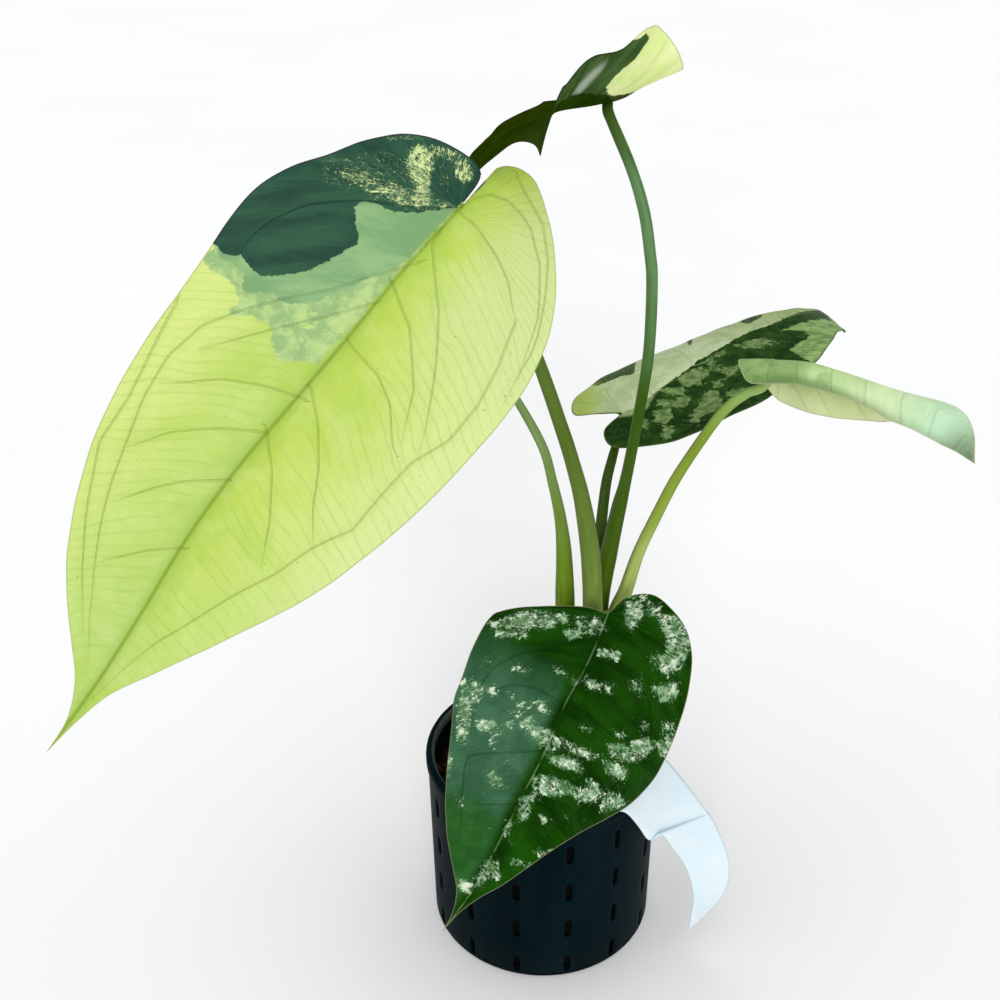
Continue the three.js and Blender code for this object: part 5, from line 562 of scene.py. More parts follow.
def make_blade(leaf, marks, veins, material, thick=0.45, keel=1.5, wave=0.45, quilt=0.3, seed=1):
    """top and underside meet at a thin margin; every vertex carries its flat place and the marks around it"""
    L = leaf["length"]
    ns = 168
    rr = np.concatenate([[0, 0.010, 0.022, 0.036, 0.055, 0.08], np.linspace(0.11, 0.972, 42), [0.99, 1.0]])
    nr = len(rr) - 1
    s = np.linspace(0, 1, ns + 1)
    half = {}
    for k, side in enumerate((1, -1)):
        edge, perimeter = margin_points(leaf["margin"][k], ns, L)
        foot = vein_foot(s)
        u, v = vein_place(foot[:, None] * np.ones(nr + 1), edge[:, None, :] * np.ones((1, nr + 1, 1)), rr[None, :])
        half[side] = dict(u=u, v=v, edge=edge, perimeter=perimeter)
    # vein lines: given ones, or regular ones
    lines = list(veins)
    if not lines:
        for side in (1, -1):
            h = half[side]
            for sv in (0.07, 0.14, 0.215, 0.29, 0.37, 0.46, 0.56, 0.67, 0.78, 0.88):
                i = int(round(sv * ns))
                lines.append(np.stack([h["u"][i] * L, side * h["v"][i]], 1)[:: 5])
    index = {}
    P, N, F, VC, FACE, S_, R_ = [], [], [], [], [], [], []
    ids = {}
    for side in (1, -1):
        h = half[side]
        u, v = h["u"], h["v"]
        pos = sheet_point(leaf, u, v, side)
        n = sheet_facing(leaf, u, v, side)
        um = np.clip(u, 0, 1)
        mid_n = unit(sheet_facing(leaf, um, v * 0, 1) + sheet_facing(leaf, um, v * 0, -1))
        w = step(v, 0.2, 2.6)[..., None]
        n = unit(n * w + mid_n * (1 - w))
        flat = np.stack([u * L, side * v, 0 * v], -1)
        # distance to the margin
        pts = flat[..., :2].reshape(-1, 2)
        m = np.stack([h["edge"][:, 0] * L, side * h["edge"][:, 1]], 1)
        keep = np.hypot(m[:, 0] - 0, m[:, 1]) > 0
        _, de = line_distance(pts, m[1:] if keep[1:].any() else m, 1, 1)
        de = de.reshape(v.shape)
        # gentle waves along the margin and quilting between the veins
        _, dv = np.full(1, 0), np.full(len(pts), 1e9)
        for line in lines:
            _, raw = line_distance(pts, line, 1, 1)
            dv = np.minimum(dv, raw)
        dv = dv.reshape(v.shape)
        lift = quilt * (step(dv, 0.0, 4.5) - 0.6) * step(v, 0.5, 4) * step(de, 0.5, 6)
        swell = np.exp(-((de / 12.0) ** 2)) * step(v, 2, 10)
        lift = lift + wave * swell * wobble(s[:, None] * 26 + 0 * v, seed + side, 4)
        lift = lift + 0.35 * wobble(u * 9 + side * 2, seed + 7 * side + 3, 4) * step(v, 3, 16) * step(v, 0, 30)
        # groove on the midrib
        lift = lift - 0.28 * np.exp(-((v / 0.9) ** 2)) * np.clip(1 - u, 0, 1) ** 0.5 * (u > -0.01)
        h["pos"] = pos + n * lift[..., None]
        h["n"], h["flat"], h["de"] = n, flat, de
    # keel: the midrib stands out below, most at the petiole
    verts, normal, keep = [], [], []

    def vid(side, i, j, top):
        h = half[side]
        if i == 0 or (j == 0 and vein_foot(s[i]) <= 0):
            key = ("J", top)
        elif i == ns:
            key = ("T", top)
        elif j == 0:
            key = ("M", i, top)
        else:
            key = (side, i, j, top)
        if key in ids:
            return ids[key]
        p, n = h["pos"][i, j], h["n"][i, j]
        u, v = h["u"][i, j], h["v"][i, j]
        t = thick * (0.55 + 0.45 * min(1, h["de"][i, j] / 3.0)) / 2
        if key[0] == "T":
            t = thick * 0.3
        if not top:
            a = max(0.0, 1 - max(u, 0)) ** 0.8
            along = abs(min(u, 0)) * L
            k = (keel * a + 0.15) * math.exp(-((v / (0.75 + 0.75 * a)) ** 2)) * math.exp(-(along / 4.0) ** 2)
            q = p - n * (t + k)
        else:
            q = p + n * t
        ids[key] = len(P)
        P.append(q)
        F.append(h["flat"][i, j])
        VC.append((s[i] * h["perimeter"], rr[j] * h["edge"][i, 1], 40.0 * side if j else 0.0))
        S_.append(s[i])
        R_.append(rr[j])
        FACE.append(1.0 if top else 0.0)
        keep.append(h["de"][i, j] if key[0] != "T" else 0.0)
        return ids[key]

    faces, corner_uv = [], []
    umin = min(half[1]["u"].min(), half[-1]["u"].min()) * L - 1
    umax = L + 1
    vmax = max(half[1]["v"].max(), half[-1]["v"].max()) + 2

    def uv_of(i, top, out=0.0):
        f = F[i]
        x = 0.25 + (f[1] + math.copysign(out, f[1])) / (2 * vmax) * 0.47
        y = 0.01 + 0.98 * (f[0] - umin) / (umax - umin)
        return (x if top else x + 0.5, y)

    for side in (1, -1):
        for i in range(ns):
            for j in range(nr):
                a, b, c, d = (i, j), (i, j + 1), (i + 1, j + 1), (i + 1, j)
                for top in (True, False):
                    q = [vid(side, *x, top) for x in (a, b, c, d)]
                    if (side > 0) != top:
                        q = q[::-1]
                    q = clean(q)
                    if len(q) > 2:
                        faces.append(q)
                        corner_uv += [uv_of(x, top) for x in q]
            a, b = vid(side, i, nr, True), vid(side, i + 1, nr, True)
            c, d = vid(side, i + 1, nr, False), vid(side, i, nr, False)
            q = [a, d, c, b] if side > 0 else [a, b, c, d]
            o = {a: 0.0, b: 0.0, c: 0.5, d: 0.5}
            q = clean(q)
            if len(q) > 2:
                faces.append(q)
                corner_uv += [uv_of(x, True, o[x]) for x in q]
    F2 = np.array(F)
    pts = F2[:, :2]
    attrs = {"flat": F2, "vc": np.array(VC), "face": FACE, "edge": keep, "s": S_, "r": R_, "mid": np.abs(pts[:, 1])}
    for i, line in enumerate(veins):
        attrs["v%02d" % i] = line_place(pts, line, 0.42, 0.20)
    for key, polys in marks.items():
        weighted = any(w != 1 for _, w in polys)
        val = np.zeros(len(pts)) if weighted else np.full(len(pts), 60.0)
        for poly, w in polys:
            d = outline_distance(pts, poly)
            if weighted:
                val = np.maximum(val, w * (0.55 * step(-d, -1.4, 0.9) + 0.45 * step(-d, -5.0, 0.4)))
            else:
                val = np.minimum(val, d)
        attrs["m_" + key] = val
    return make_mesh("blade_" + leaf["name"], np.array(P), faces, attrs, corner_uv, material)


# ------------------------------------------------------------------ material helper
def srgb(r, g, b, k=1.0):
    out = []
    for c in (r, g, b):
        c = c / 255
        c = c / 12.92 if c <= 0.04045 else ((c + 0.055) / 1.055) ** 2.4
        out.append(min(1.0, c * k))
    return tuple(out) + (1.0,)


class Graph:
    def __init__(self, name):
        self.m = bpy.data.materials.new(name)
        self.m.use_nodes = True
        self.t = self.m.node_tree
        self.t.nodes.clear()

    def new(self, kind, **props):
        n = self.t.nodes.new(kind)
        for k, v in props.items():
            setattr(n, k, v)
        return n

    def put(self, value, socket):
        if isinstance(value, (int, float)):
            socket.default_value = value
        elif isinstance(value, tuple):
            socket.default_value = value if len(value) == len(socket.default_value) else value[: len(socket.default_value)]
        else:
            self.t.links.new(value, socket)

    def attr(self, name, out="Fac"):
        return self.new("ShaderNodeAttribute", attribute_type="GEOMETRY", attribute_name=name).outputs[out]

    def math(self, op, a, b=None, c=None, clamp=False):
        n = self.new("ShaderNodeMath", operation=op, use_clamp=clamp)
        for k, x in enumerate((a, b, c)):
            if x is not None:
                self.put(x, n.inputs[k])
        return n.outputs[0]

    def add(self, a, b): return self.math("ADD", a, b)
    def sub(self, a, b): return self.math("SUBTRACT", a, b)
    def mul(self, a, b): return self.math("MULTIPLY", a, b)
    def high(self, a, b): return self.math("MAXIMUM", a, b)
    def low(self, a, b): return self.math("MINIMUM", a, b)

    def ramp(self, x, lo, hi, a=0.0, b=1.0, smooth=True):
        n = self.new("ShaderNodeMapRange", interpolation_type="SMOOTHSTEP" if smooth else "LINEAR", clamp=True)
        for k, v in zip(("Value", "From Min", "From Max", "To Min", "To Max"), (x, lo, hi, a, b)):
            self.put(v, n.inputs[k])
        return n.outputs[0]

    def mixc(self, f, a, b, blend="MIX"):
        n = self.new("ShaderNodeMix", data_type="RGBA", blend_type=blend, clamp_factor=True)
        self.put(f, n.inputs[0]); self.put(a, n.inputs[6]); self.put(b, n.inputs[7])
        return n.outputs[2]

    def vec(self, x, y, z=0.0):
        n = self.new("ShaderNodeCombineXYZ")
        for k, v in enumerate((x, y, z)):
            self.put(v, n.inputs[k])
        return n.outputs[0]

    def sep(self, v):
        n = self.new("ShaderNodeSeparateXYZ")
        self.put(v, n.inputs[0])
        return n.outputs[0], n.outputs[1], n.outputs[2]

    def vmul(self, v, k):
        n = self.new("ShaderNodeVectorMath", operation="MULTIPLY")
        self.put(v, n.inputs[0]); self.put(k, n.inputs[1])
        return n.outputs[0]

    def vadd(self, v, k):
        n = self.new("ShaderNodeVectorMath", operation="ADD")
        self.put(v, n.inputs[0]); self.put(k, n.inputs[1])
        return n.outputs[0]

    def noise(self, v, scale, detail=2.0, rough=0.5, distortion=0.0, out="Fac"):
        n = self.new("ShaderNodeTexNoise")
        self.put(v, n.inputs["Vector"])
        for k, x in (("Scale", scale), ("Detail", detail), ("Roughness", rough), ("Distortion", distortion)):
            self.put(x, n.inputs[k])
        return n.outputs[out]

    def cells(self, v, scale, feature="DISTANCE_TO_EDGE", out="Distance"):
        n = self.new("ShaderNodeTexVoronoi", feature=feature)
        self.put(v, n.inputs["Vector"]); self.put(scale, n.inputs["Scale"])
        return n.outputs[out]

    def object_place(self):
        return self.new("ShaderNodeTexCoord").outputs["Object"]

    def bump(self, height, distance, strength=1.0):
        n = self.new("ShaderNodeBump")
        self.put(height, n.inputs["Height"])
        n.inputs["Distance"].default_value = distance
        n.inputs["Strength"].default_value = strength
        return n.outputs[0]

    def finish(self, color, rough, normal=None, specular=0.5, coat=0.0, through=0.0, through_color=None, metallic=0.0):
        p = self.new("ShaderNodeBsdfPrincipled")
        self.put(color, p.inputs["Base Color"])
        self.put(rough, p.inputs["Roughness"])
        p.inputs["Specular IOR Level"].default_value = specular
        p.inputs["Metallic"].default_value = metallic
        if coat:
            p.inputs["Coat Weight"].default_value = coat
            p.inputs["Coat Roughness"].default_value = 0.2
        if normal is not None:
            self.put(normal, p.inputs["Normal"])
        out = self.new("ShaderNodeOutputMaterial")
        if through:
            t = self.new("ShaderNodeBsdfTranslucent")
            self.put(through_color if through_color is not None else color, t.inputs["Color"])
            if normal is not None:
                self.put(normal, t.inputs["Normal"])
            mx = self.new("ShaderNodeMixShader")
            mx.inputs[0].default_value = through
            self.t.links.new(p.outputs[0], mx.inputs[1])
            self.t.links.new(t.outputs[0], mx.inputs[2])
            self.t.links.new(mx.outputs[0], out.inputs[0])
        else:
            self.t.links.new(p.outputs[0], out.inputs[0])
        return self.m


# ------------------------------------------------------------------ leaf looks
class Leaf(Graph):
    """a leaf material: the colour of the top is given, the rest is common"""

    def __init__(self, name, seed=0.0, lines=0):
        super().__init__(name)
        self.lines = lines
        self.flat = self.vadd(self.attr("flat", "Vector"), (seed * 13.7, seed * 5.1, seed))
        self.vc = self.vadd(self.attr("vc", "Vector"), (seed * 3.7, seed * 9.1, seed))
        self.face = self.attr("face")
        self.edge = self.attr("edge")
        self.mid = self.attr("mid")
        self.s, self.r = self.attr("s"), self.attr("r")
        self.U, self.V, _ = self.sep(self.attr("flat", "Vector"))

    def mark(self, name, soft=0.5, rag=1.6, size=4.0, detail=4.0, bias=0.0):
        """ragged patch: 1 inside"""
        n = self.noise(self.flat, 1 / size, detail, 0.6)
        m = self.noise(self.vmul(self.vc, (1 / 2.6, 1 / 9.0, 1.0)), 1.0, 2.0)
        d = self.add(self.attr("m_" + name), self.mul(self.sub(n, 0.5), rag * 2))
        d = self.add(d, self.mul(self.sub(m, 0.5), rag * 1.4))
        return self.ramp(self.add(d, bias), -soft, soft, 1.0, 0.0)

    def flecks(self, mask, size=2.2, gain=0.34, top=0.72, stretch=1.8, soft=0.012, detail=5.0, rough=0.72):
        """mask 0..1 to ragged flecks with fine edges, stretched along the lateral veins"""
        n = self.noise(self.vmul(self.vc, (1 / size, 1 / (size * stretch), 1.0)), 1.0, detail, rough)
        m = self.noise(self.flat, 1 / (size * 0.8), detail, rough)
        x = self.add(self.mul(n, 0.6), self.mul(m, 0.4))
        t = self.sub(top, self.mul(mask, gain))
        return self.ramp(self.sub(x, t), -soft, soft)

    def veins(self, count=78.0):
        """(main, fine, net) vein lines, 1 on the vein; main_glow is a wide soft band along the main veins"""
        if hasattr(self, "_veins"):
            return self._veins
        bend = self.sub(self.noise(self.flat, 0.035, 1.0), 0.5)
        if self.lines:
            main = glow = None
            for i in range(self.lines):
                x, y, t = self.sep(self.attr("v%02d" % i, "Vector"))
                near = self.ramp(y, 1.7, 2.6, 1.0, 0.0)
                one = self.mul(self.mul(self.ramp(self.math("ABSOLUTE", x), 0.35, 1.25, 1.0, 0.0), near), self.ramp(t, 0.75, 1.0, 1.0, 0.35))
                main = one if main is None else self.high(main, one)
                g = self.ramp(y, 0.0, 3.6, 1.0, 0.0)
                glow = g if glow is None else self.high(glow, g)
        else:
            x = self.add(self.mul(self.s, 9.5), self.add(0.28, self.mul(bend, 0.5)))
            p = self.math("PINGPONG", x, 0.5)
            main = self.mul(self.ramp(p, 0.012, 0.032, 1.0, 0.0), self.ramp(self.r, 0.9, 1.0, 1.0, 0.3))
            glow = self.ramp(p, 0.0, 0.12, 1.0, 0.0)
        self.glow = glow
        # finer veins run with the laterals and wander a little
        x = self.add(self.mul(self.s, count), self.add(self.mul(bend, 2.4), self.mul(self.sub(self.noise(self.flat, 0.10, 2.0), 0.5), 0.6)))
        fine = self.ramp(self.math("PINGPONG", x, 0.5), 0.0, 0.17, 1.0, 0.0)
        fade = self.ramp(self.noise(self.vmul(self.vc, (0.16, 0.035, 1.0)), 1.0, 2.0), 0.34, 0.60)
        fine = self.mul(self.mul(fine, self.ramp(self.r, 0.03, 0.22)), self.add(0.25, self.mul(fade, 0.75)))
        net = self.ramp(self.cells(self.vmul(self.vc, (1 / 2.7, 1 / 5.2, 1.0)), 1.0), 0.0, 0.09, 1.0, 0.0)
        net = self.mul(net, self.ramp(self.r, 0.05, 0.3))
        self._veins = (main, fine, net)
        return self._veins

    def done(self, top, under, rough=0.4, under_rough=0.6, specular=0.35, through=0.15, through_color=None, relief=0.00022, margin=None, margin_width=0.7, vein_mix=None):
        main, fine, net = self.veins()
        if margin is not None:
            k = self.mul(self.ramp(self.edge, margin_width * 0.5, margin_width, 1.0, 0.0), 0.8)
            top = self.mixc(k, top, margin)
            under = self.mixc(k, under, margin)
        color = self.mixc(self.face, under, top)
        h = self.add(self.mul(main, -1.0), self.add(self.mul(fine, -0.22), self.mul(net, -0.07)))
        grain = self.noise(self.flat, 0.9, 3.0, 0.6)
        h = self.add(self.mul(h, self.ramp(self.face, 0, 1, -1.0, 1.0)), self.mul(grain, 0.07))
        normal = self.bump(h, relief)
        rg = self.add(self.ramp(self.face, 0, 1, under_rough, rough), self.mul(self.sub(grain, 0.5), 0.10))
        return self.finish(color, rg, normal, specular=specular, through=through, through_color=through_color)


def tint(g, a, b, size, lo=0.35, hi=0.65, detail=3.0):
    return g.mixc(g.ramp(g.noise(g.flat, 1 / size, detail, 0.55), lo, hi), a, b)


def look_a():
    g = Leaf("blade_lime", 1.0, len(VEINS["a"]))
    C = lambda r, gg, b: srgb(r, gg, b, GAIN["a"])
    main, fine, net = g.veins()
    v = g.math("ABSOLUTE", g.add(g.V, g.mul(g.sub(g.noise(g.flat, 0.05, 2.0), 0.5), 9.0)))
    # right half: rich lime at the midrib, pale at the margin
    right = g.mixc(g.ramp(v, 1.0, 9.0, smooth=False), C(176, 205, 80), C(197, 219, 96))
    right = g.mixc(g.ramp(v, 9.0, 24.0, smooth=False), right, C(205, 226, 120))
    right = g.mixc(g.ramp(v, 24.0, 48.0, smooth=False), right, C(220, 236, 158))
    left = g.mixc(g.ramp(v, 1.0, 12.0, smooth=False), C(178, 209, 100), C(195, 220, 112))
    left = g.mixc(g.ramp(v, 14.0, 40.0, smooth=False), left, C(219, 235, 139))
    c = g.mixc(g.ramp(g.V, -0.8, 0.8), right, left)
    # the lower third is a little greener and paler
    c = g.mixc(g.mul(g.ramp(g.U, 115, 205), 0.55), c, C(192, 222, 132))
    c = g.mixc(g.mul(g.ramp(g.U, 195, 232), 0.45), c, C(178, 200, 98))
    # tissue between the veins is uneven
    wedge = g.ramp(g.noise(g.vmul(g.vc, (0.055, 0.020, 1.0)), 1.0, 3.0, 0.55), 0.46, 0.62)
    c = g.mixc(g.mul(g.mul(wedge, g.ramp(v, 8.0, 44.0, 1.0, 0.15)), 0.55), c, C(182, 212, 84))
    cloud = g.ramp(g.noise(g.flat, 0.09, 4.0, 0.6), 0.42, 0.68)
    c = g.mixc(g.mul(cloud, 0.30), c, C(216, 234, 152))
    c = g.mixc(g.mul(g.glow, 0.16), c, C(176, 206, 84))
    # the right lobe is paler and duller
    c = g.mixc(g.mul(g.mul(g.ramp(g.V, -26, -6, 1.0, 0.0), g.ramp(g.U, 22, 66, 1.0, 0.0)), 0.78), c, C(213, 230, 156))
    # mint zone of the left half, in two steps, then the dark lobe
    outer = g.mark("mint", soft=0.6, rag=2.2, size=4.5)
    o_c = g.mixc(g.ramp(g.noise(g.flat, 0.16, 4.0, 0.6), 0.42, 0.62), C(158, 192, 128), C(190, 217, 142))
    o_c = g.mixc(g.mul(g.flecks(0.40, 2.6, soft=0.03), 0.55), o_c, C(200, 226, 146))
    c = g.mixc(outer, c, o_c)
    inner = g.mark("inner", soft=0.35, rag=1.5, size=3.2)
    i_c = g.mixc(g.ramp(g.noise(g.vmul(g.vc, (0.12, 0.04, 1.0)), 1.0, 4.0, 0.6), 0.38, 0.64), C(128, 171, 116), C(152, 192, 134))
    c = g.mixc(inner, c, i_c)
    dark = g.mark("dark", soft=0.22, rag=1.35, size=2.8, detail=5)
    d_c = g.mixc(g.ramp(g.noise(g.vmul(g.vc, (0.10, 0.035, 1.0)), 1.0, 4.0, 0.6), 0.36, 0.66), C(32, 71, 55), C(50, 94, 69))
    c = g.mixc(dark, c, d_c)
    # cream flecks in the dark lobe, yellow ones in the mint zone
    fm = g.attr("m_fleck")
    f1 = g.mul(g.flecks(fm, 2.2, gain=0.36, top=0.742, stretch=1.25, detail=6.0, rough=0.76), dark)
    f2 = g.mul(g.flecks(fm, 1.0, gain=0.34, top=0.737, stretch=1.25, detail=6.0, rough=0.76), dark)
    haze = g.mul(g.flecks(fm, 3.4, top=0.71, soft=0.04), dark)
    c = g.mixc(g.mul(haze, 0.45), c, C(84, 128, 92))
    c = g.mixc(g.mul(g.high(f1, g.mul(f2, 0.85)), 0.88), c, g.mixc(g.ramp(g.noise(g.flat, 0.30, 5.0, 0.75), 0.38, 0.50), C(128, 170, 116), C(232, 246, 172)))
    c = g.mixc(g.mul(g.flecks(g.attr("m_fleckm"), 2.0, top=0.70), 0.8), c, C(206, 228, 132))
    # a few dark specks, most of them in the right lobe
    lobe = g.mul(g.ramp(g.U, 30, 90, 1.0, 0.0), g.ramp(g.V, -48, -18, 1.0, 0.0))
    dots = g.ramp(g.add(g.noise(g.flat, 0.85, 1.0), g.mul(lobe, 0.055)), 0.800, 0.815)
    c = g.mixc(g.mul(g.mul(dots, g.sub(1.0, dark)), 0.8), c, C(110, 128, 62))
    # veins: thin and greener in the lime tissue, darker in the dark lobe
    lines = g.low(g.add(g.mul(main, 0.27), g.add(g.mul(fine, 0.27), g.mul(net, 0.07))), 0.8)
    c = g.mixc(g.mul(lines, g.sub(1.0, g.high(dark, g.mul(outer, 0.5)))), c, g.mixc(outer, C(162, 194, 74), C(138, 180, 108)))
    c = g.mixc(g.mul(g.mul(g.add(main, g.mul(fine, 0.35)), dark), 0.45), c, C(30, 62, 50))
    bare = g.mul(g.sub(1.0, dark), g.sub(1.0, g.mul(outer, 0.55)))
    c = g.mixc(g.mul(g.mul(g.ramp(g.mid, 0.5, 3.6, 1.0, 0.0), 0.40), bare), c, C(156, 188, 72))
    c = g.mixc(g.mul(g.mul(g.ramp(g.mid, 0.22, 0.95, 1.0, 0.0), 0.78), bare), c, C(132, 162, 48))
    under = g.mixc(0.5, c, C(160, 188, 126))
    margin = g.mixc(dark, C(186, 196, 120), C(44, 38, 56))
    return g.done(c, under, rough=0.46, specular=0.09, through=0.14, margin=margin, margin_width=0.5, relief=0.00030)


def look_b():
    g = Leaf("blade_half_cream", 2.0)
    C = lambda r, gg, b: srgb(r, gg, b, GAIN["b"])
    c = tint(g, C(68, 99, 48), C(90, 121, 68), 8)
    cream = g.mark("cream", soft=0.35, rag=1.5, size=3.5, detail=5)
    pale = lambda r, gg, b: srgb(r, gg, b, GAIN["b"] * 1.58)
    c = g.mixc(cream, c, tint(g, pale(212, 228, 148), pale(224, 236, 168), 8))
    main, fine, net = g.veins()
    lines = g.low(g.add(g.mul(main, 0.5), g.add(g.mul(fine, 0.25), g.mul(net, 0.12))), 0.8)
    c = g.mixc(g.mul(g.mul(lines, 0.45), cream), c, pale(196, 214, 128))
    c = g.mixc(g.mul(lines, g.mul(g.sub(1.0, cream), 0.6)), c, C(40, 72, 24))
    # painted highlight: a light streak beside the midrib stands in for gloss; below it, the dark olive band along the
    # midrib is painted shade
    painted_highlight = g.mul(g.mark("painted_highlight", soft=3.2, rag=1.0, size=5.0, bias=0.3), g.sub(1.0, cream))
    c = g.mixc(g.mul(painted_highlight, 0.92), c, C(196, 212, 188))
    # painted shade: the band darkens the top face along the midrib to the colour of the shaded underside
    limit = g.sub(9.0, g.mul(g.ramp(g.U, 48, 78), 3.5))
    limit = g.add(limit, g.mul(g.sub(g.noise(g.flat, 0.12, 3.0), 0.5), 2.0))
    band = g.mul(g.ramp(g.sub(g.V, limit), -0.6, 0.6, 1.0, 0.0), g.sub(1.0, g.mul(cream, g.ramp(g.mid, 9.0, 11.0))))
    band = g.mul(band, g.ramp(g.V, -3.5, -0.5))
    c = g.mixc(g.mul(band, 0.95), c, tint(g, C(30, 58, 0), C(42, 72, 4), 9))
    under = tint(g, C(36, 56, 0), C(48, 68, 6), 9)
    under = g.mixc(g.mul(g.ramp(g.U, 60, 120), 0.35), under, C(66, 88, 36))
    under = g.mixc(g.mul(cream, 0.8), under, pale(176, 192, 120))
    under = g.mixc(g.mul(g.add(main, g.mul(fine, 0.4)), 0.2), under, C(70, 92, 34))
    return g.done(c, under, rough=0.42, under_rough=0.9, specular=0.0, through=0.08, margin=g.mixc(cream, C(50, 64, 26), C(226, 234, 190)))


def look_c():
    g = Leaf("blade_grey_cream", 3.0)
    C = lambda r, gg, b: srgb(r, gg, b, GAIN["c"])
    P = lambda r, gg, b: srgb(r, gg, b, GAIN["c"] * 1.95)
    c = tint(g, C(18, 52, 2), C(38, 78, 14), 7)
    c = g.mixc(g.mul(g.flecks(0.42, 2.6, top=0.70, soft=0.02), 0.55), c, C(74, 110, 44))
    blot = g.mark("blot", soft=0.4, rag=3.2, size=2.4, detail=6, bias=0.2)
    c = g.mixc(g.mul(blot, 0.92), c, tint(g, C(90, 122, 64), C(142, 168, 106), 3))
    dull = g.high(g.flecks(g.attr("m_dull"), 2.8, top=0.66), g.flecks(g.attr("m_dull"), 1.4, top=0.66))
    c = g.mixc(g.mul(dull, 0.8), c, tint(g, C(92, 130, 66), C(140, 168, 104), 4))
    far = g.mark("far", soft=0.35, rag=1.6, size=3.0, detail=5)
    grey = tint(g, P(140, 154, 114), P(156, 168, 132), 8)
    grey = g.mixc(g.ramp(g.U, 50, 135), grey, P(116, 130, 86))
    grey = g.mixc(g.mul(g.flecks(0.44, 1.5, soft=0.05), 0.35), grey, P(92, 122, 72))
    grey = g.mixc(g.mul(g.mul(g.flecks(0.44, 3.4, top=0.70, soft=0.06), g.ramp(g.U, 60, 100)), 0.6), grey, P(150, 162, 84))
    c = g.mixc(far, c, grey)
    c = g.mixc(g.mul(g.mul(g.flecks(g.attr("m_marg"), 3.2, gain=0.50, top=0.71), far), 0.95), c, tint(g, C(34, 62, 16), C(52, 86, 30), 5))
    lobe = g.mark("lobe", soft=7.0, rag=2.0)
    c = g.mixc(g.mul(lobe, 0.85), c, P(130, 148, 56))
    tip = g.mark("tip", soft=0.5, rag=2.2, size=3, detail=5)
    c = g.mixc(g.mul(tip, 0.92), c, tint(g, C(128, 168, 92), C(174, 206, 130), 5))
    c = g.mixc(g.mul(g.mul(tip, g.flecks(0.52, 2.2, stretch=3.0)), 0.5), c, C(52, 88, 30))
    pale = g.mark("pale", soft=1.2, rag=1.0)
    c = g.mixc(g.mul(pale, 0.45), c, P(168, 188, 130))
    main, fine, net = g.veins()
    lines = g.low(g.add(g.mul(main, 0.20), g.add(g.mul(fine, 0.14), g.mul(net, 0.06))), 0.8)
    c = g.mixc(lines, c, g.mixc(far, C(24, 52, 8), P(116, 138, 88)))
    under = g.mixc(0.5, c, C(100, 126, 78))
    return g.done(c, under, rough=0.44, under_rough=0.7, specular=0.04, through=0.10, margin=C(88, 104, 50))


def look_d():
    g = Leaf("blade_mint", 4.0)
    C = lambda r, gg, b: srgb(r, gg, b, GAIN["d"])
    w = g.add(g.U, g.mul(g.sub(g.noise(g.vmul(g.vc, (0.16, 0.05, 1.0)), 1.0, 3.0), 0.5), 16.0))
    # along the blade: light green lip, mint, whitish yellow, bluish mint
    c = g.mixc(g.ramp(w, -8, 10), C(176, 202, 140), C(152, 184, 116))
    c = g.mixc(g.ramp(w, 12, 24), c, C(196, 220, 164))
    c = g.mixc(g.ramp(w, 34, 46), c, C(214, 228, 188))
    c = g.mixc(g.ramp(w, 42, 78), c, C(192, 222, 196))
    c = g.mixc(g.mul(g.ramp(g.U, 72, 92), 0.9), c, C(112, 136, 98))
    rag = tint(g, C(114, 148, 76), C(150, 180, 108), 4)
    for k, w_ in (("g1", 0.5), ("g2", 0.45), ("g3", 0.6)):
        c = g.mixc(g.mul(g.mark(k, soft=1.4, rag=2.4, size=3), w_), c, rag)
    streak = g.ramp(g.noise(g.vmul(g.vc, (0.30, 0.06, 1.0)), 1.0, 3.0, 0.6), 0.44, 0.66)
    c = g.mixc(g.mul(streak, 0.24), c, C(160, 196, 150))
    c = g.mixc(g.mul(g.flecks(0.42, 1.3, soft=0.04), 0.22), c, C(226, 238, 206))
    # painted shade: the rolled lower edge is darker and greener
    c = g.mixc(g.mul(g.mul(g.ramp(g.V, 11.5, 16.5), g.ramp(g.U, -4, 6)), 0.75), c, C(106, 132, 74))
    # painted shade: the rolled half is darker towards its margin, where it curls under
    c = g.mixc(g.mul(g.mul(g.ramp(g.attr("r"), 0.58, 1.0), g.ramp(g.V, 0.0, 2.0)), 0.42), c, C(118, 150, 98))
    main, fine, net = g.veins()
    lines = g.low(g.add(g.mul(main, 0.06), g.add(g.mul(fine, 0.12), g.mul(net, 0.05))), 0.8)
    c = g.mixc(lines, c, C(160, 192, 134))
    under = tint(g, C(196, 204, 150), C(178, 188, 128), 7)
    # painted shade: the flap is darker beside the midrib, under the rolled half, and lighter towards its margin
    under = g.mixc(g.mul(g.ramp(g.mid, 0.0, 5.0, 1.0, 0.0), 0.35), under, C(160, 172, 96))
    under = g.mixc(g.mul(g.ramp(g.attr("r"), 0.35, 0.90), 0.7), under, C(222, 226, 186))
    under = g.mixc(g.mul(lines, 0.8), under, C(170, 184, 112))
    return g.done(c, under, rough=0.44, specular=0.08, through=0.34, margin=C(180, 180, 150), margin_width=0.45)


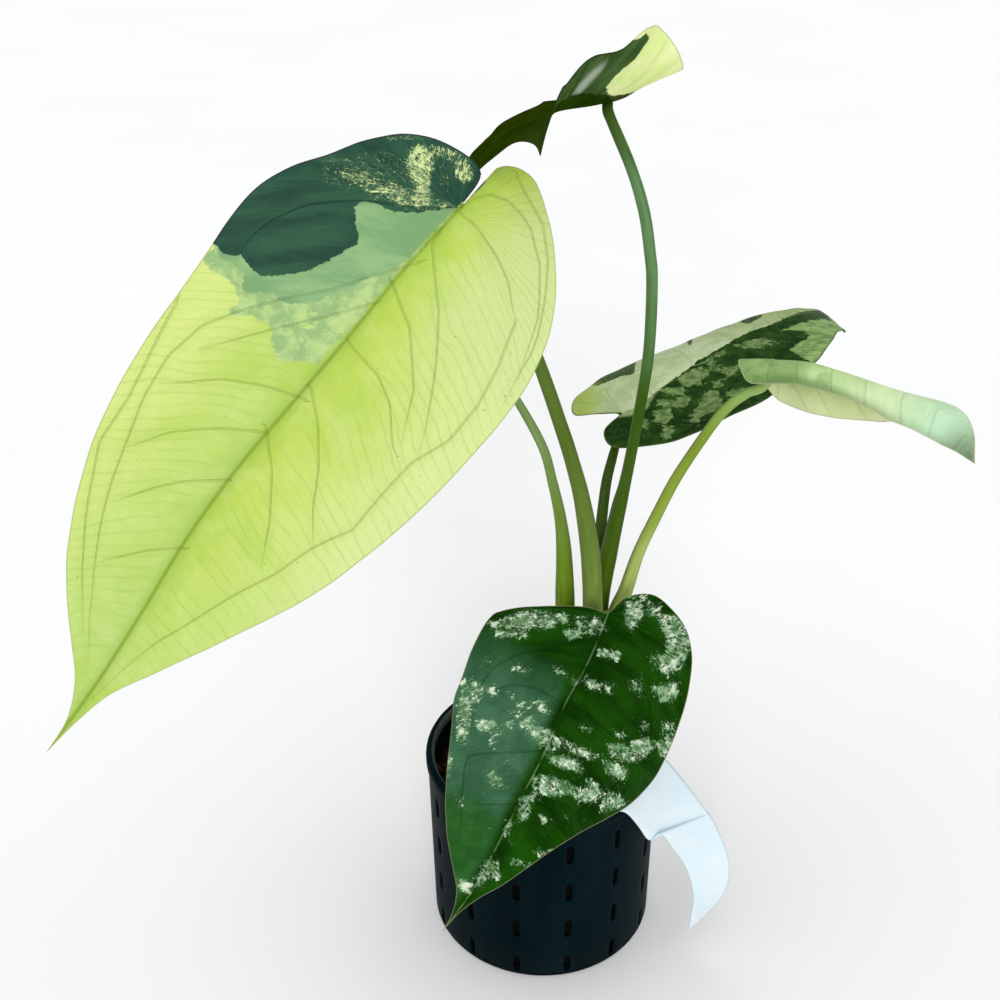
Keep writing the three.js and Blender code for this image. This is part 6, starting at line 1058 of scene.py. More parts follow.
def look_e():
    g = Leaf("blade_speckled", 5.0, len(VEINS["e"]))
    C = lambda r, gg, b: srgb(r, gg, b, GAIN["e"])
    c = g.mixc(g.ramp(g.noise(g.vmul(g.vc, (0.10, 0.035, 1.0)), 1.0, 4.0, 0.6), 0.36, 0.64), C(12, 50, 0), C(26, 76, 4))
    # painted reflection: a lighter bluish green zone on the left half, between the main vein and the midrib, stands in
    # for gloss
    c = g.mixc(g.mul(g.ramp(g.V, 1.0, 7.0), g.ramp(g.U, 28, 50)), c, tint(g, C(52, 96, 64), C(68, 114, 82), 9))
    c = g.mixc(g.mul(g.mul(g.ramp(g.V, 1.0, 6.0), g.ramp(g.U, 92, 104)), 0.8), c, tint(g, C(28, 84, 12), C(44, 102, 28), 8))
    c = g.mixc(g.mul(g.mul(g.ramp(g.V, -8.0, -2.0, 1.0, 0.0), g.ramp(g.U, 96, 112)), 0.5), c, C(28, 92, 8))
    mask = g.math("SQRT", g.high(g.attr("m_fleck"), 0.0))
    big = g.flecks(mask, 3.0, gain=0.30, top=0.765, stretch=1.4, detail=5.0, rough=0.64)
    mid = g.flecks(mask, 1.5, gain=0.30, top=0.775, stretch=1.4, detail=5.0, rough=0.64)
    tiny = g.flecks(mask, 0.7, gain=0.22, top=0.712)
    haze = g.flecks(mask, 4.6, stretch=1.5, gain=0.27, top=0.735, soft=0.03)
    c = g.mixc(g.mul(haze, 0.65), c, tint(g, C(56, 102, 44), C(96, 138, 92), 5))
    pick = g.add(g.mul(g.noise(g.flat, 0.30, 5.0, 0.68), 0.7), g.mul(g.noise(g.vmul(g.vc, (0.50, 0.24, 1.0)), 1.0, 4.0, 0.6), 0.3))
    light = g.mixc(g.ramp(pick, 0.42, 0.48), C(96, 140, 84), C(150, 188, 146))
    light = g.mixc(g.ramp(pick, 0.505, 0.55), light, C(232, 246, 218))
    spots = g.high(g.high(big, g.mul(mid, 0.95)), g.mul(tiny, 0.85))
    c = g.mixc(g.mul(spots, 0.95), c, light)
    main, fine, net = g.veins()
    lines = g.low(g.add(g.mul(main, 0.30), g.add(g.mul(fine, 0.12), g.mul(net, 0.05))), 0.85)
    c = g.mixc(lines, c, C(14, 50, 2))
    rib = g.mul(g.ramp(g.mid, 0.15, 0.50, 1.0, 0.0), g.ramp(g.noise(g.flat, 0.10, 2.0), 0.36, 0.50))
    c = g.mixc(g.mul(rib, 0.42), c, C(128, 164, 104))
    c = g.mixc(g.mul(g.mul(g.ramp(g.mid, 0.8, 2.4, 1.0, 0.0), g.sub(1.0, rib)), 0.45), c, C(14, 50, 2))
    under = g.mixc(0.5, c, C(86, 118, 74))
    return g.done(c, under, rough=0.32, under_rough=0.6, specular=0.02, through=0.04, margin=C(140, 138, 100), margin_width=0.36, relief=0.00026)


def look_f():
    g = Leaf("blade_rear", 6.0)
    C = lambda r, gg, b: srgb(r, gg, b, GAIN["f"])
    base = tint(g, C(84, 124, 50), C(116, 152, 70), 10)
    # lime on one half, streaks of it on the other, dark patches between
    streak = g.ramp(g.noise(g.vmul(g.vc, (1 / 13.0, 1 / 60.0, 1.0)), 1.0, 3.0, 0.55), 0.46, 0.50)
    side = g.ramp(g.V, -3.0, 1.0)
    k = g.high(g.mul(streak, 0.9), g.mul(side, g.ramp(g.noise(g.flat, 0.045, 3.0, 0.55), 0.36, 0.40)))
    c = g.mixc(k, base, tint(g, C(192, 216, 108), C(208, 226, 142), 9))
    k2 = g.ramp(g.noise(g.vadd(g.flat, (70.0, 40.0, 3.0)), 0.05, 4.0, 0.6), 0.60, 0.62)
    c = g.mixc(k2, c, tint(g, C(44, 84, 40), C(62, 104, 56), 6))
    c = g.mixc(g.mul(g.flecks(0.36, 1.7), 0.7), c, C(146, 176, 104))
    main, fine, net = g.veins()
    lines = g.low(g.add(g.mul(main, 0.45), g.add(g.mul(fine, 0.26), g.mul(net, 0.12))), 0.8)
    c = g.mixc(lines, c, g.mixc(0.5, c, C(90, 124, 50)))
    under = g.mixc(0.5, c, C(140, 168, 104))
    return g.done(c, under, rough=0.42, specular=0.12, through=0.13, margin=C(150, 160, 100))


# ------------------------------------------------------------------ stalks
def tube(name, points, material, sections=220, sides=36, sheath=None, channel=0.10, swell=None, seed=1, flip=False):
    """stalk with a shallow channel; in its sheathed part the channel is deep and has thin lips"""
    P = np.asarray(points, float)
    t = np.linspace(0, 1, sections + 1)
    c, d, rad = spline(P[:, :3], t), unit(slope(P[:, :3], t)), spline(P[:, 3], t)
    length = np.concatenate([[0], np.cumsum(np.linalg.norm(np.diff(c, axis=0), axis=1))])
    # the channel faces the stem's axis
    towards = np.array([STEM[0][0], STEM[0][1], 0]) - c
    towards[:, 2] = 0
    up = unit(towards[len(t) // 3] + np.array([0.01, 0, 0]))
    ups = []
    for i in range(len(t)):
        up = up - d[i] * (up @ d[i])
        up = up / np.linalg.norm(up)
        ups.append(up)
    ups = np.array(ups)
    side = np.cross(d, ups)
    a = np.linspace(0, 2 * np.pi, sides, endpoint=False)
    da = np.abs((a + np.pi) % (2 * np.pi) - np.pi)
    sh = np.zeros(len(t)) if sheath is None else 1 - step(length, sheath * 0.86, sheath)
    depth = channel + 0.42 * sh
    width = 0.34 + 0.10 * sh
    notch = depth[:, None] * np.exp(-((da[None, :] / width[:, None]) ** 2))
    lips = (0.06 + 0.10 * sh)[:, None] * np.exp(-(((da[None, :] - 0.62) / 0.20) ** 2))
    r = rad[:, None] * (1 - notch + lips)
    r = r * (1 + 0.012 * np.sin(a * 7 + seed)[None, :] + 0.02 * wobble(length / 9.0, seed)[:, None])
    pos = c[:, None, :] + r[..., None] * (np.cos(a)[None, :, None] * ups[:, None, :] + np.sin(a)[None, :, None] * side[:, None, :])
    verts = pos.reshape(-1, 3)
    n = sides
    faces = [[i * n + k, i * n + (k + 1) % n, (i + 1) * n + (k + 1) % n, (i + 1) * n + k] for i in range(sections) for k in range(n)]
    verts = np.vstack([verts, c[:1], c[-1:]])
    e0, e1 = len(verts) - 2, len(verts) - 1
    faces += [[e0, (k + 1) % n, k] for k in range(n)]
    faces += [[e1, sections * n + k, sections * n + (k + 1) % n] for k in range(n)]
    total = length[-1]
    uv = []
    for i in range(sections):
        for k in range(n):
            x0, x1, y0, y1 = k / n, (k + 1) / n, t[i], t[i + 1]
            uv += [(x0, y0), (x1, y0), (x1, y1), (x0, y1)]
    uv += [(0.5, 0.0005), (0.501, 0.0), (0.5, 0.0)] * n
    uv += [(0.5, 0.9995), (0.5, 1.0), (0.501, 1.0)] * n
    lip = np.exp(-(((da - 0.62) / 0.16) ** 2))[None, :] * (0.35 + 0.65 * sh)[:, None]
    full = lambda m, e=0.0: np.concatenate([np.asarray(m).reshape(-1), [e, e]])
    attrs = {
        "along": np.concatenate([np.repeat(length / total, n), [0, 1]]),
        "mmup": np.concatenate([np.repeat(length, n), [0, total]]),
        "lip": full(lip),
        "around": np.concatenate([np.tile(np.cos(a), len(t)), [0, 0]]),
        "sheathed": np.concatenate([np.repeat(sh, n), [1, 0]]),
        "ring": np.vstack([np.stack([np.tile(np.cos(a), len(t)) * 2, np.tile(np.sin(a), len(t)) * 2, np.repeat(length, n)], 1), [[0, 0, 0], [0, 0, total]]]),
    }
    return make_mesh(name, verts, faces, attrs, uv, material)


def look_petiole(name, stops, lip, dark, seed=0.0, streak=0.4, rough=0.46):
    """stops: [share of the length, colour] from the mix to the blade"""
    g = Graph(name)
    ring = g.vadd(g.attr("ring", "Vector"), (seed * 5.1, seed * 3.3, seed * 17.0))
    along = g.attr("along")
    place = g.add(along, g.mul(g.sub(g.noise(g.vmul(ring, (0.5, 0.5, 0.06)), 1.0, 3.0), 0.5), 0.10))
    c = srgb(*stops[0][1])
    for (a, _), (b, colour) in zip(stops, stops[1:]):
        c = g.mixc(g.ramp(place, a, b, smooth=False), c, srgb(*colour))
    st = g.noise(g.vmul(ring, (0.9, 0.9, 0.045)), 1.0, 3.0, 0.6)
    c = g.mixc(g.mul(g.ramp(st, 0.42, 0.66), streak), c, dark)
    fl = g.noise(g.vmul(ring, (0.8, 0.8, 0.35)), 1.0, 3.0, 0.6)
    c = g.mixc(g.mul(g.ramp(fl, 0.60, 0.68), 0.12), c, lip)
    c = g.mixc(g.mul(g.attr("lip"), 0.45), c, lip)
    # a little browner where it leaves the mix
    c = g.mixc(g.mul(g.ramp(along, 0.0, 0.12, 1.0, 0.0), 0.35), c, srgb(120, 104, 66))
    h = g.add(g.mul(st, 0.7), g.mul(g.noise(ring, 1.6, 3.0), 0.3))
    return g.finish(c, g.add(rough, g.mul(g.sub(fl, 0.5), 0.15)), g.bump(h, 0.00016), specular=0.05, through=0.05)


# ------------------------------------------------------------------ stem
def make_stem():
    g = Graph("stem_tissue")
    ring = g.attr("ring", "Vector")
    node = g.attr("node")
    c = g.mixc(g.ramp(g.noise(g.vmul(ring, (0.5, 0.5, 0.12)), 1.0, 3.0), 0.4, 0.65), srgb(104, 128, 58), srgb(74, 98, 44))
    c = g.mixc(g.mul(g.ramp(g.attr("mmup"), 18, 34, 1.0, 0.0), 0.8), c, srgb(96, 78, 48))
    c = g.mixc(g.mul(node, 0.75), c, srgb(150, 140, 90))
    c = g.mixc(g.mul(g.ramp(g.noise(ring, 0.9, 3.0), 0.58, 0.64), 0.5), c, srgb(112, 92, 58))
    h = g.add(g.mul(g.noise(g.vmul(ring, (1.2, 1.2, 0.3)), 1.0, 4.0), 0.7), g.mul(node, 0.3))
    mat = g.finish(c, 0.55, g.bump(h, 0.0004), specular=0.3)
    P = np.asarray(STEM, float)
    sections, n = 150, 44
    t = np.linspace(0, 1, sections + 1)
    c, r = spline(P[:, :3], t), spline(P[:, 3], t)
    length = np.concatenate([[0], np.cumsum(np.linalg.norm(np.diff(c, axis=0), axis=1))])
    nodes = [25.0, 33.5, 41.5, 49.0, 56.0]
    ridge = sum(np.exp(-(((length - h0) / 0.8) ** 2)) for h0 in nodes)
    a = np.linspace(0, 2 * np.pi, n, endpoint=False)
    rad = r[:, None] * (0.94 + 0.05 * ridge[:, None] + 0.012 * np.sin(5 * a + 1)[None, :]) * np.where(t > 0.985, np.sqrt(np.clip((1 - t) / 0.015, 0, 1)), 1)[:, None]
    pos = c[:, None, :] + rad[..., None] * np.stack([np.cos(a), np.sin(a), 0 * a], 1)[None]
    verts = np.vstack([pos.reshape(-1, 3), c[:1], c[-1:]])
    faces = [[i * n + k, i * n + (k + 1) % n, (i + 1) * n + (k + 1) % n, (i + 1) * n + k] for i in range(sections) for k in range(n)]
    e0, e1 = len(verts) - 2, len(verts) - 1
    faces += [[e0, (k + 1) % n, k] for k in range(n)] + [[e1, sections * n + k, sections * n + (k + 1) % n] for k in range(n)]
    full = lambda m, e: np.concatenate([np.asarray(m).reshape(-1), e])
    attrs = {
        "mmup": full(np.repeat(length, n), [0, length[-1]]),
        "node": full(np.repeat(np.clip(ridge, 0, 1), n), [0, 0]),
        "ring": np.vstack([np.stack([np.tile(np.cos(a), len(t)) * 5, np.tile(np.sin(a), len(t)) * 5, np.repeat(length, n)], 1), [[0, 0, 0], [0, 0, length[-1]]]]),
    }
    # short root nubs at the lower nodes
    rng = np.random.default_rng(5)
    V, Fc = [verts], list(faces)
    A = {k: [v] for k, v in attrs.items()}
    base = len(verts)
    for h0 in nodes[:3]:
        for _ in range(3):
            ang = rng.uniform(0, 2 * np.pi)
            z = h0 - 1.0
            i = int(np.argmin(np.abs(length - z)))
            o = c[i] + np.array([math.cos(ang), math.sin(ang), 0]) * r[i] * 0.86
            dirn = unit(np.array([math.cos(ang), math.sin(ang), -0.35]))
            e = unit(np.cross(dirn, [0, 0, 1]))
            f = np.cross(dirn, e)
            m = 10
            rows = []
            for q in range(7):
                rr = 0.75 * (1 - (q / 6) ** 2.2) + 0.02
                pp = o + dirn * (q / 6) * rng.uniform(1.6, 2.4)
                b = np.linspace(0, 2 * np.pi, m, endpoint=False)
                rows.append(pp + rr * (np.cos(b)[:, None] * e + np.sin(b)[:, None] * f))
            rows = np.array(rows)
            V.append(rows.reshape(-1, 3))
            for q in range(6):
                for k in range(m):
                    Fc.append([base + q * m + k, base + (q + 1) * m + k, base + (q + 1) * m + (k + 1) % m, base + q * m + (k + 1) % m])
            Fc.append([base + k for k in range(m)])
            Fc.append([base + 6 * m + k for k in range(m)][::-1])
            A["mmup"].append(np.full(7 * m, 10.0)); A["node"].append(np.full(7 * m, 0.6)); A["ring"].append(rows.reshape(-1, 3))
            base += 7 * m
    attrs = {k: np.vstack(v) if k == "ring" else np.concatenate(v) for k, v in A.items()}
    return make_mesh("stem", np.vstack(V), Fc, attrs, None, mat)


# ------------------------------------------------------------------ pot
def make_pot():
    g = Graph("pot_plastic")
    o = g.object_place()
    x, y, z = g.sep(o)
    n1 = g.noise(g.vmul(o, (40.0, 40.0, 9.0)), 1.0, 4.0, 0.6)
    c = g.mixc(g.ramp(n1, 0.35, 0.7), srgb(1, 15, 19), srgb(5, 24, 30))
    dust = g.noise(o, 260.0, 4.0, 0.7)
    c = g.mixc(g.mul(g.ramp(dust, 0.58, 0.76), 0.12), c, srgb(34, 44, 50))
    low = g.ramp(z, 0.0, 0.02, 1.0, 0.0)
    c = g.mixc(g.mul(low, 0.15), c, srgb(36, 38, 36))
    rough = g.add(g.ramp(n1, 0.3, 0.7, 0.34, 0.46), g.mul(dust, 0.10))
    h = g.add(g.mul(g.noise(o, 900.0, 2.0), 0.5), g.mul(g.noise(g.vmul(o, (120.0, 120.0, 20.0)), 1.0, 2.0), 0.8))
    # painted reflection: a lighter grey patch on the inner wall just under the rim stands in for gloss
    away = g.math("SQRT", g.add(g.mul(x, x), g.mul(y, y)))
    inside = g.mul(g.mul(g.ramp(away, 0.0508, 0.0516, 1.0, 0.0), g.ramp(z, 0.0805, 0.0850)), g.ramp(n1, 0.30, 0.55, 0.25, 0.60))
    c = g.mixc(inside, c, srgb(92, 102, 92))
    mat = g.finish(c, rough, g.bump(h, 0.00012), specular=0.015)

    H, R, W = POT["height"], POT["rim"], POT["rim_width"]
    outer = lambda z: POT["base"] + (POT["top"] - POT["base"]) * z / H
    inner = lambda z: outer(z) - POT["wall"]
    cols, w, ln = POT["columns"], POT["slot_width"], POT["slot_length"]
    # angles: five lines across each slot, the rest shared out between slots
    half = w / 2 / POT["top"]
    base = []
    for x in np.linspace(-half, half, 5):
        base.append(x)
    gap = np.linspace(half, 2 * np.pi / cols - half, 13)[1:-1]
    one = np.concatenate([base, gap])
    first = math.radians(POT["first_angle"])
    ang = np.concatenate([first + 2 * np.pi * k / cols + one for k in range(cols)])
    na = len(ang)
    in_slot = np.array([k % len(one) < 4 for k in range(na)])     # cell from line k to k+1
    across = np.tile(np.concatenate([np.linspace(-1, 1, 5), np.full(len(gap), 9.0)]), cols)
    arc = np.where(np.abs(across) <= 1, np.sqrt(np.clip(1 - across ** 2, 0, 1)), 0) * (w / 2)
    # heights of the wall's lines; a slot's two end lines are bowed over the slot
    rows, bow, slot_row = [], [], []

    def line(z, b=0, cut=False):
        rows.append(z); bow.append(b); slot_row.append(cut)

    line(1.7)
    last = 1.7
    for zc in POT["slot_rows"]:
        a0, a1 = zc - ln / 2 + w / 2, zc + ln / 2 - w / 2
        if a0 - last > 6:
            line(last + (a0 - w / 2 - 0.8 - last) * 0.5)
        line(a0 - w / 2 - 0.8)
        line(a0, -1, True)
        line((a0 + a1) / 2, 0, True)
        line(a1, 1, False)
        line(a1 + w / 2 + 0.8)
        last = a1 + w / 2 + 0.8
    wall_top = H - 6.4
    if wall_top - last > 0.5:
        line(wall_top)
    rows, bow = np.array(rows), np.array(bow)
    Z = rows[:, None] + bow[:, None] * arc[None, :]
    dirs = np.stack([np.cos(ang), np.sin(ang)], 1)
    V, Fc = [], []

    def ring(r, z):
        i = len(V)
        r, z = np.broadcast_to(r, na), np.broadcast_to(z, na)
        for k in range(na):
            V.append((dirs[k, 0] * r[k], dirs[k, 1] * r[k], z[k]))
        return i

    def join(a, b, skip=None):
        for k in range(na):
            if skip is not None and skip[k]:
                continue
            m = (k + 1) % na
            Fc.append([a + k, a + m, b + m, b + k])

    # outside from the floor's edge to the rim, then down inside
    br = POT["base"]
    out = [ring(br - 2.2, 0), ring(br - 1.1, 0.12), ring(br - 0.35, 0.62)]
    wall_out = [ring(outer(Z[i]), Z[i]) for i in range(len(rows))]
    rim = [(R - 0.85, H - 5.75), (R - 0.35, H - 5.45), (R - 0.05, H - 4.9), (R, H - 4.2), (R, H - 2.4), (R - 0.15, H - 1.5), (R - 0.55, H - 0.75), (R - 1.15, H - 0.22),
           (R - 1.9, H), (R - 2.65, H - 0.12), (R - 3.3, H - 0.55), (R - 3.8, H - 1.25), (R - W, H - 2.2), (R - W + 0.05, H - 3.4), (R - W + 0.2, H - 4.8)]
    rims = [ring(r, z) for r, z in rim]
    wall_in = [ring(inner(Z[i]), Z[i]) for i in range(len(rows))]
    f = POT["floor"]
    ins = [ring(inner(3.5), f + 1.1) if False else ring(inner(3) - 0.5, f + 0.45), ring(inner(3) - 1.6, f)]
    chain = out + [wall_out[0]]
    for a, b in zip(chain, chain[1:]):
        join(a, b)
    for i in range(len(rows) - 1):
        skip = in_slot if slot_row[i] else None
        join(wall_out[i], wall_out[i + 1], skip)
        # same cells inside, facing in
        for k in range(na):
            if skip is not None and skip[k]:
                continue
            m = (k + 1) % na
            Fc.append([wall_in[i] + k, wall_in[i + 1] + k, wall_in[i + 1] + m, wall_in[i] + m])
    chain = [wall_out[-1]] + rims
    for a, b in zip(chain, chain[1:]):
        join(a, b)
    join(rims[-1], wall_in[-1])
    join(wall_in[0], ins[0])
    join(ins[0], ins[1])
    # slot walls
    nrow = len(rows)
    for i in range(nrow - 1):
        for k in range(na):
            if not (slot_row[i] and in_slot[k]):
                continue
            m = (k + 1) % na
            if not slot_row[i - 1]:
                Fc.append([wall_out[i] + k, wall_out[i] + m, wall_in[i] + m, wall_in[i] + k])
            if not slot_row[i + 1]:
                Fc.append([wall_out[i + 1] + m, wall_out[i + 1] + k, wall_in[i + 1] + k, wall_in[i + 1] + m])
            if not in_slot[k - 1]:
                Fc.append([wall_out[i + 1] + k, wall_out[i] + k, wall_in[i] + k, wall_in[i + 1] + k])
            if not in_slot[(k + 1) % na]:
                Fc.append([wall_out[i] + m, wall_out[i + 1] + m, wall_in[i + 1] + m, wall_in[i] + m])
    # floor with drain holes
    holes = []
    hn = 28
    for k in range(POT["holes"]):
        a = 2 * np.pi / POT["holes"] * (k + 0.5)
        b = np.linspace(0, 2 * np.pi, hn, endpoint=False)
        holes.append(np.stack([POT["hole_circle"] * math.cos(a) + POT["hole_radius"] * np.cos(b), POT["hole_circle"] * math.sin(a) + POT["hole_radius"] * np.sin(b)], 1))
    rim_r = br - 2.2
    pts = [Vector((dirs[k, 0] * rim_r, dirs[k, 1] * rim_r)) for k in range(na)]
    edges = [(k, (k + 1) % na) for k in range(na)]
    start = na
    for hole in holes:
        pts += [Vector(p) for p in hole]
        edges += [(start + k, start + (k + 1) % hn) for k in range(hn)]
        start += hn
    inside_pts = []
    for rr_, cnt in ((46, 40), (27, 20), (18, 12), (8, 6), (0, 1)):
        for k in range(cnt):
            a = 2 * np.pi * k / cnt
            inside_pts.append((rr_ * math.cos(a), rr_ * math.sin(a)))
    pts += [Vector(p) for p in inside_pts]
    co, _, tri, ov, _, _ = delaunay_2d_cdt(pts, edges, [], 1, 1e-5)
    co = np.array([list(p) for p in co])
    tri = [list(t) for t in tri]
    centre = [np.mean(h, 0) for h in holes]
    good = []
    for t in tri:
        m = co[t].mean(0)
        if min(np.hypot(*(m - c0)) for c0 in centre) > POT["hole_radius"] * 0.97:
            good.append(t)
    src = {}
    for i, o_ in enumerate(ov):
        src[i] = o_[0] if len(o_) else -1
    for level, first_ring, up in ((0.0, out[0], False), (f, ins[1], True)):
        index = []
        for i in range(len(co)):
            q = src[i]
            if 0 <= q < na:
                index.append(first_ring + q)
            else:
                index.append(len(V))
                V.append((co[i, 0], co[i, 1], level))
        for t in good:
            t2 = [index[j] for j in t]
            a, b, c3 = (co[j] for j in t)
            ccw = (b[0] - a[0]) * (c3[1] - a[1]) - (b[1] - a[1]) * (c3[0] - a[0]) > 0
            Fc.append(t2 if ccw == up else t2[::-1])
        if up:
            top_index = index
        else:
            low_index = index
    back = {q: i for i, q in src.items()}
    for hcount in range(len(holes)):
        for k in range(hn):
            a, b = back[na + hcount * hn + k], back[na + hcount * hn + (k + 1) % hn]
            Fc.append([low_index[a], top_index[a], top_index[b], low_index[b]])
    ob = make_mesh("pot", np.array(V), Fc, None, None, mat)
    return ob


# ------------------------------------------------------------------ potting mix
def make_mix():
    g = Graph("potting_mix")
    o = g.object_place()
    kind, tone = g.attr("kind"), g.attr("tone")
    n = g.noise(o, 420.0, 5.0, 0.7)
    peat = g.mixc(g.ramp(n, 0.35, 0.7), srgb(36, 26, 19), srgb(78, 58, 42))
    peat = g.mixc(g.ramp(g.noise(o, 1600.0, 2.0), 0.62, 0.7), peat, srgb(120, 96, 70))
    bark = g.mixc(tone, srgb(62, 40, 27), srgb(134, 92, 60))
    bark = g.mixc(g.mul(g.ramp(g.noise(g.vmul(o, (900.0, 300.0, 900.0)), 1.0, 4.0), 0.45, 0.65), 0.55), bark, srgb(48, 32, 24))
    perl = g.mixc(g.ramp(g.noise(o, 1300.0, 3.0), 0.4, 0.65), srgb(214, 208, 194), srgb(236, 232, 222))
    c = g.mixc(g.ramp(kind, 0.4, 0.6), peat, bark)
    c = g.mixc(g.ramp(kind, 1.4, 1.6), c, perl)
    # painted shade: the buried side, seen through the slots, is darkened to near black
    c = g.mixc(g.ramp(g.sep(o)[2], 0.0745, 0.0800, 1.0, 0.0), c, srgb(9, 9, 9))
    # painted shade: the top of the mix is darkened to near black in a ring by the wall, where the rim shades it
    px_, py_, pz_ = g.sep(o)
    away = g.math("SQRT", g.add(g.mul(px_, px_), g.mul(py_, py_)))
    c = g.mixc(g.mul(g.ramp(away, 0.0400, 0.0475), g.ramp(pz_, 0.0825, 0.0850, 1.0, 0.0)), c, srgb(10, 9, 8))
    h = g.add(g.mul(n, 0.8), g.mul(g.noise(o, 2200.0, 3.0), 0.4))
    mat = g.finish(c, 0.92, g.bump(h, 0.0012), specular=0.04)
    rng = np.random.default_rng(11)
    H = POT["height"]
    inner = lambda z: POT["base"] + (POT["top"] - POT["base"]) * z / H - POT["wall"] - 0.32

    def height(x, y):
        r = np.hypot(x, y)
        base = np.interp(r, [0, 8, 18, 29, 40, 51], [82.7, 82.7, 82.5, 82.1, 82.0, 82.7])
        b = 1.1 * np.sin(x * 0.19 + 1.3) * np.cos(y * 0.23 - 0.4) + 0.7 * np.sin(x * 0.41 - y * 0.33 + 2.1)
        f = 0.35 * np.sin(x * 1.3 + np.sin(y * 0.9) * 2) * np.sin(y * 1.5 + 1) + 0.25 * np.sin(x * 2.9 - y * 2.3)
        return base + (b * 0.9 + f) * np.interp(r, [38, 50], [1.0, 0.3]) - 0.5

    n_a, n_r = 160, 54
    rr = np.linspace(0, 1, n_r + 1)[1:] ** 0.9
    a = np.linspace(0, 2 * np.pi, n_a, endpoint=False)
    V = [(0, 0, float(height(0.0, 0.0)))]
    Fc = []
    rmax = inner(80.0) - 0.1
    for q in rr:
        x, y = q * rmax * np.cos(a), q * rmax * np.sin(a)
        z = height(x, y)
        for k in range(n_a):
            V.append((x[k], y[k], z[k]))
    idx = lambda i, k: 1 + i * n_a + k % n_a
    Fc += [[0, idx(0, k), idx(0, k + 1)] for k in range(n_a)]
    for i in range(n_r - 1):
        Fc += [[idx(i, k), idx(i + 1, k), idx(i + 1, k + 1), idx(i, k + 1)] for k in range(n_a)]
    last = n_r - 1
    for r, z in ((inner(70) - 0.05, 70.0), (inner(6) - 0.05, 6.0), (inner(4) - 2.4, 2.6)):
        start = len(V)
        for k in range(n_a):
            V.append((r * math.cos(a[k]), r * math.sin(a[k]), z))
        prev = (lambda k: idx(last, k)) if last is not None else None
        if last is not None:
            Fc += [[idx(last, k), start + k, start + (k + 1) % n_a, idx(last, k + 1)] for k in range(n_a)]
            last = None
        else:
            Fc += [[before + k, start + k, start + (k + 1) % n_a, before + (k + 1) % n_a] for k in range(n_a)]
        before = start
    V.append((0, 0, 2.6))
    Fc += [[len(V) - 1, before + (k + 1) % n_a, before + k] for k in range(n_a)]
    kind, tone = [0.0] * len(V), [0.0] * len(V)
    V = [np.array(V, float)]
    base = len(V[0])
    # bark, peat crumbs and perlite, pressed into the surface
    ico_v, ico_f = ico(1)
    count = 820
    stem = np.array(STEM[0][:2])
    for q in range(count):
        r = (rmax - 3.0) * math.sqrt(rng.uniform(0, 1))
        th = rng.uniform(0, 2 * np.pi)
        x, y = r * math.cos(th), r * math.sin(th)
        if math.hypot(x - stem[0], y - stem[1]) < 12.5:
            continue
        k = rng.choice([0, 1, 2], p=[0.50, 0.38, 0.12])
        size = {0: rng.uniform(0.5, 1.2), 1: rng.uniform(1.1, 3.0), 2: rng.uniform(0.7, 1.5)}[k]
        sc = {0: np.array([1, 1, 0.8]), 1: np.array([1.5, rng.uniform(0.5, 0.9), rng.uniform(0.28, 0.45)]), 2: np.array([1, 1, 0.85])}[k] * size
        v = ico_v * (1 + 0.28 * rng.standard_normal(len(ico_v))[:, None] * (1.0 if k != 1 else 0.7)) * sc
        e = rng.uniform(-0.45, 0.45, 2) if k == 1 else rng.uniform(-1, 1, 2)
        m = np.array((Matrix.Rotation(rng.uniform(0, 6.28), 3, "Z") @ Matrix.Rotation(e[0], 3, "X") @ Matrix.Rotation(e[1], 3, "Y")))
        v = v @ m.T + np.array([x, y, float(height(np.array(x), np.array(y))) + sc[2] * rng.uniform(0.0, 0.55)])
        v[:, 2] = np.minimum(v[:, 2], 85.2)
        V.append(v)
        Fc += [[base + i for i in f_] for f_ in ico_f]
        kind += [float(k)] * len(v)
        tone += [float(rng.uniform(0, 1))] * len(v)
        base += len(v)
    ob = make_mesh("potting_mix", np.vstack(V), Fc, {"kind": kind, "tone": tone}, None, mat)
    return ob


def ico(level):
    t = (1 + 5 ** 0.5) / 2
    v = [(-1, t, 0), (1, t, 0), (-1, -t, 0), (1, -t, 0), (0, -1, t), (0, 1, t), (0, -1, -t), (0, 1, -t), (t, 0, -1), (t, 0, 1), (-t, 0, -1), (-t, 0, 1)]
    f = [(0, 11, 5), (0, 5, 1), (0, 1, 7), (0, 7, 10), (0, 10, 11), (1, 5, 9), (5, 11, 4), (11, 10, 2), (10, 7, 6), (7, 1, 8),
         (3, 9, 4), (3, 4, 2), (3, 2, 6), (3, 6, 8), (3, 8, 9), (4, 9, 5), (2, 4, 11), (6, 2, 10), (8, 6, 7), (9, 8, 1)]
    v = [np.array(p, float) / np.linalg.norm(p) for p in v]
    for _ in range(level):
        cache, nf = {}, []

        def half(a, b):
            key = (min(a, b), max(a, b))
            if key not in cache:
                m = v[a] + v[b]
                v.append(m / np.linalg.norm(m))
                cache[key] = len(v) - 1
            return cache[key]

        for a, b, c in f:
            x, y, z = half(a, b), half(b, c), half(c, a)
            nf += [(a, x, z), (b, y, x), (c, z, y), (x, y, z)]
        f = nf
    return np.array(v), f


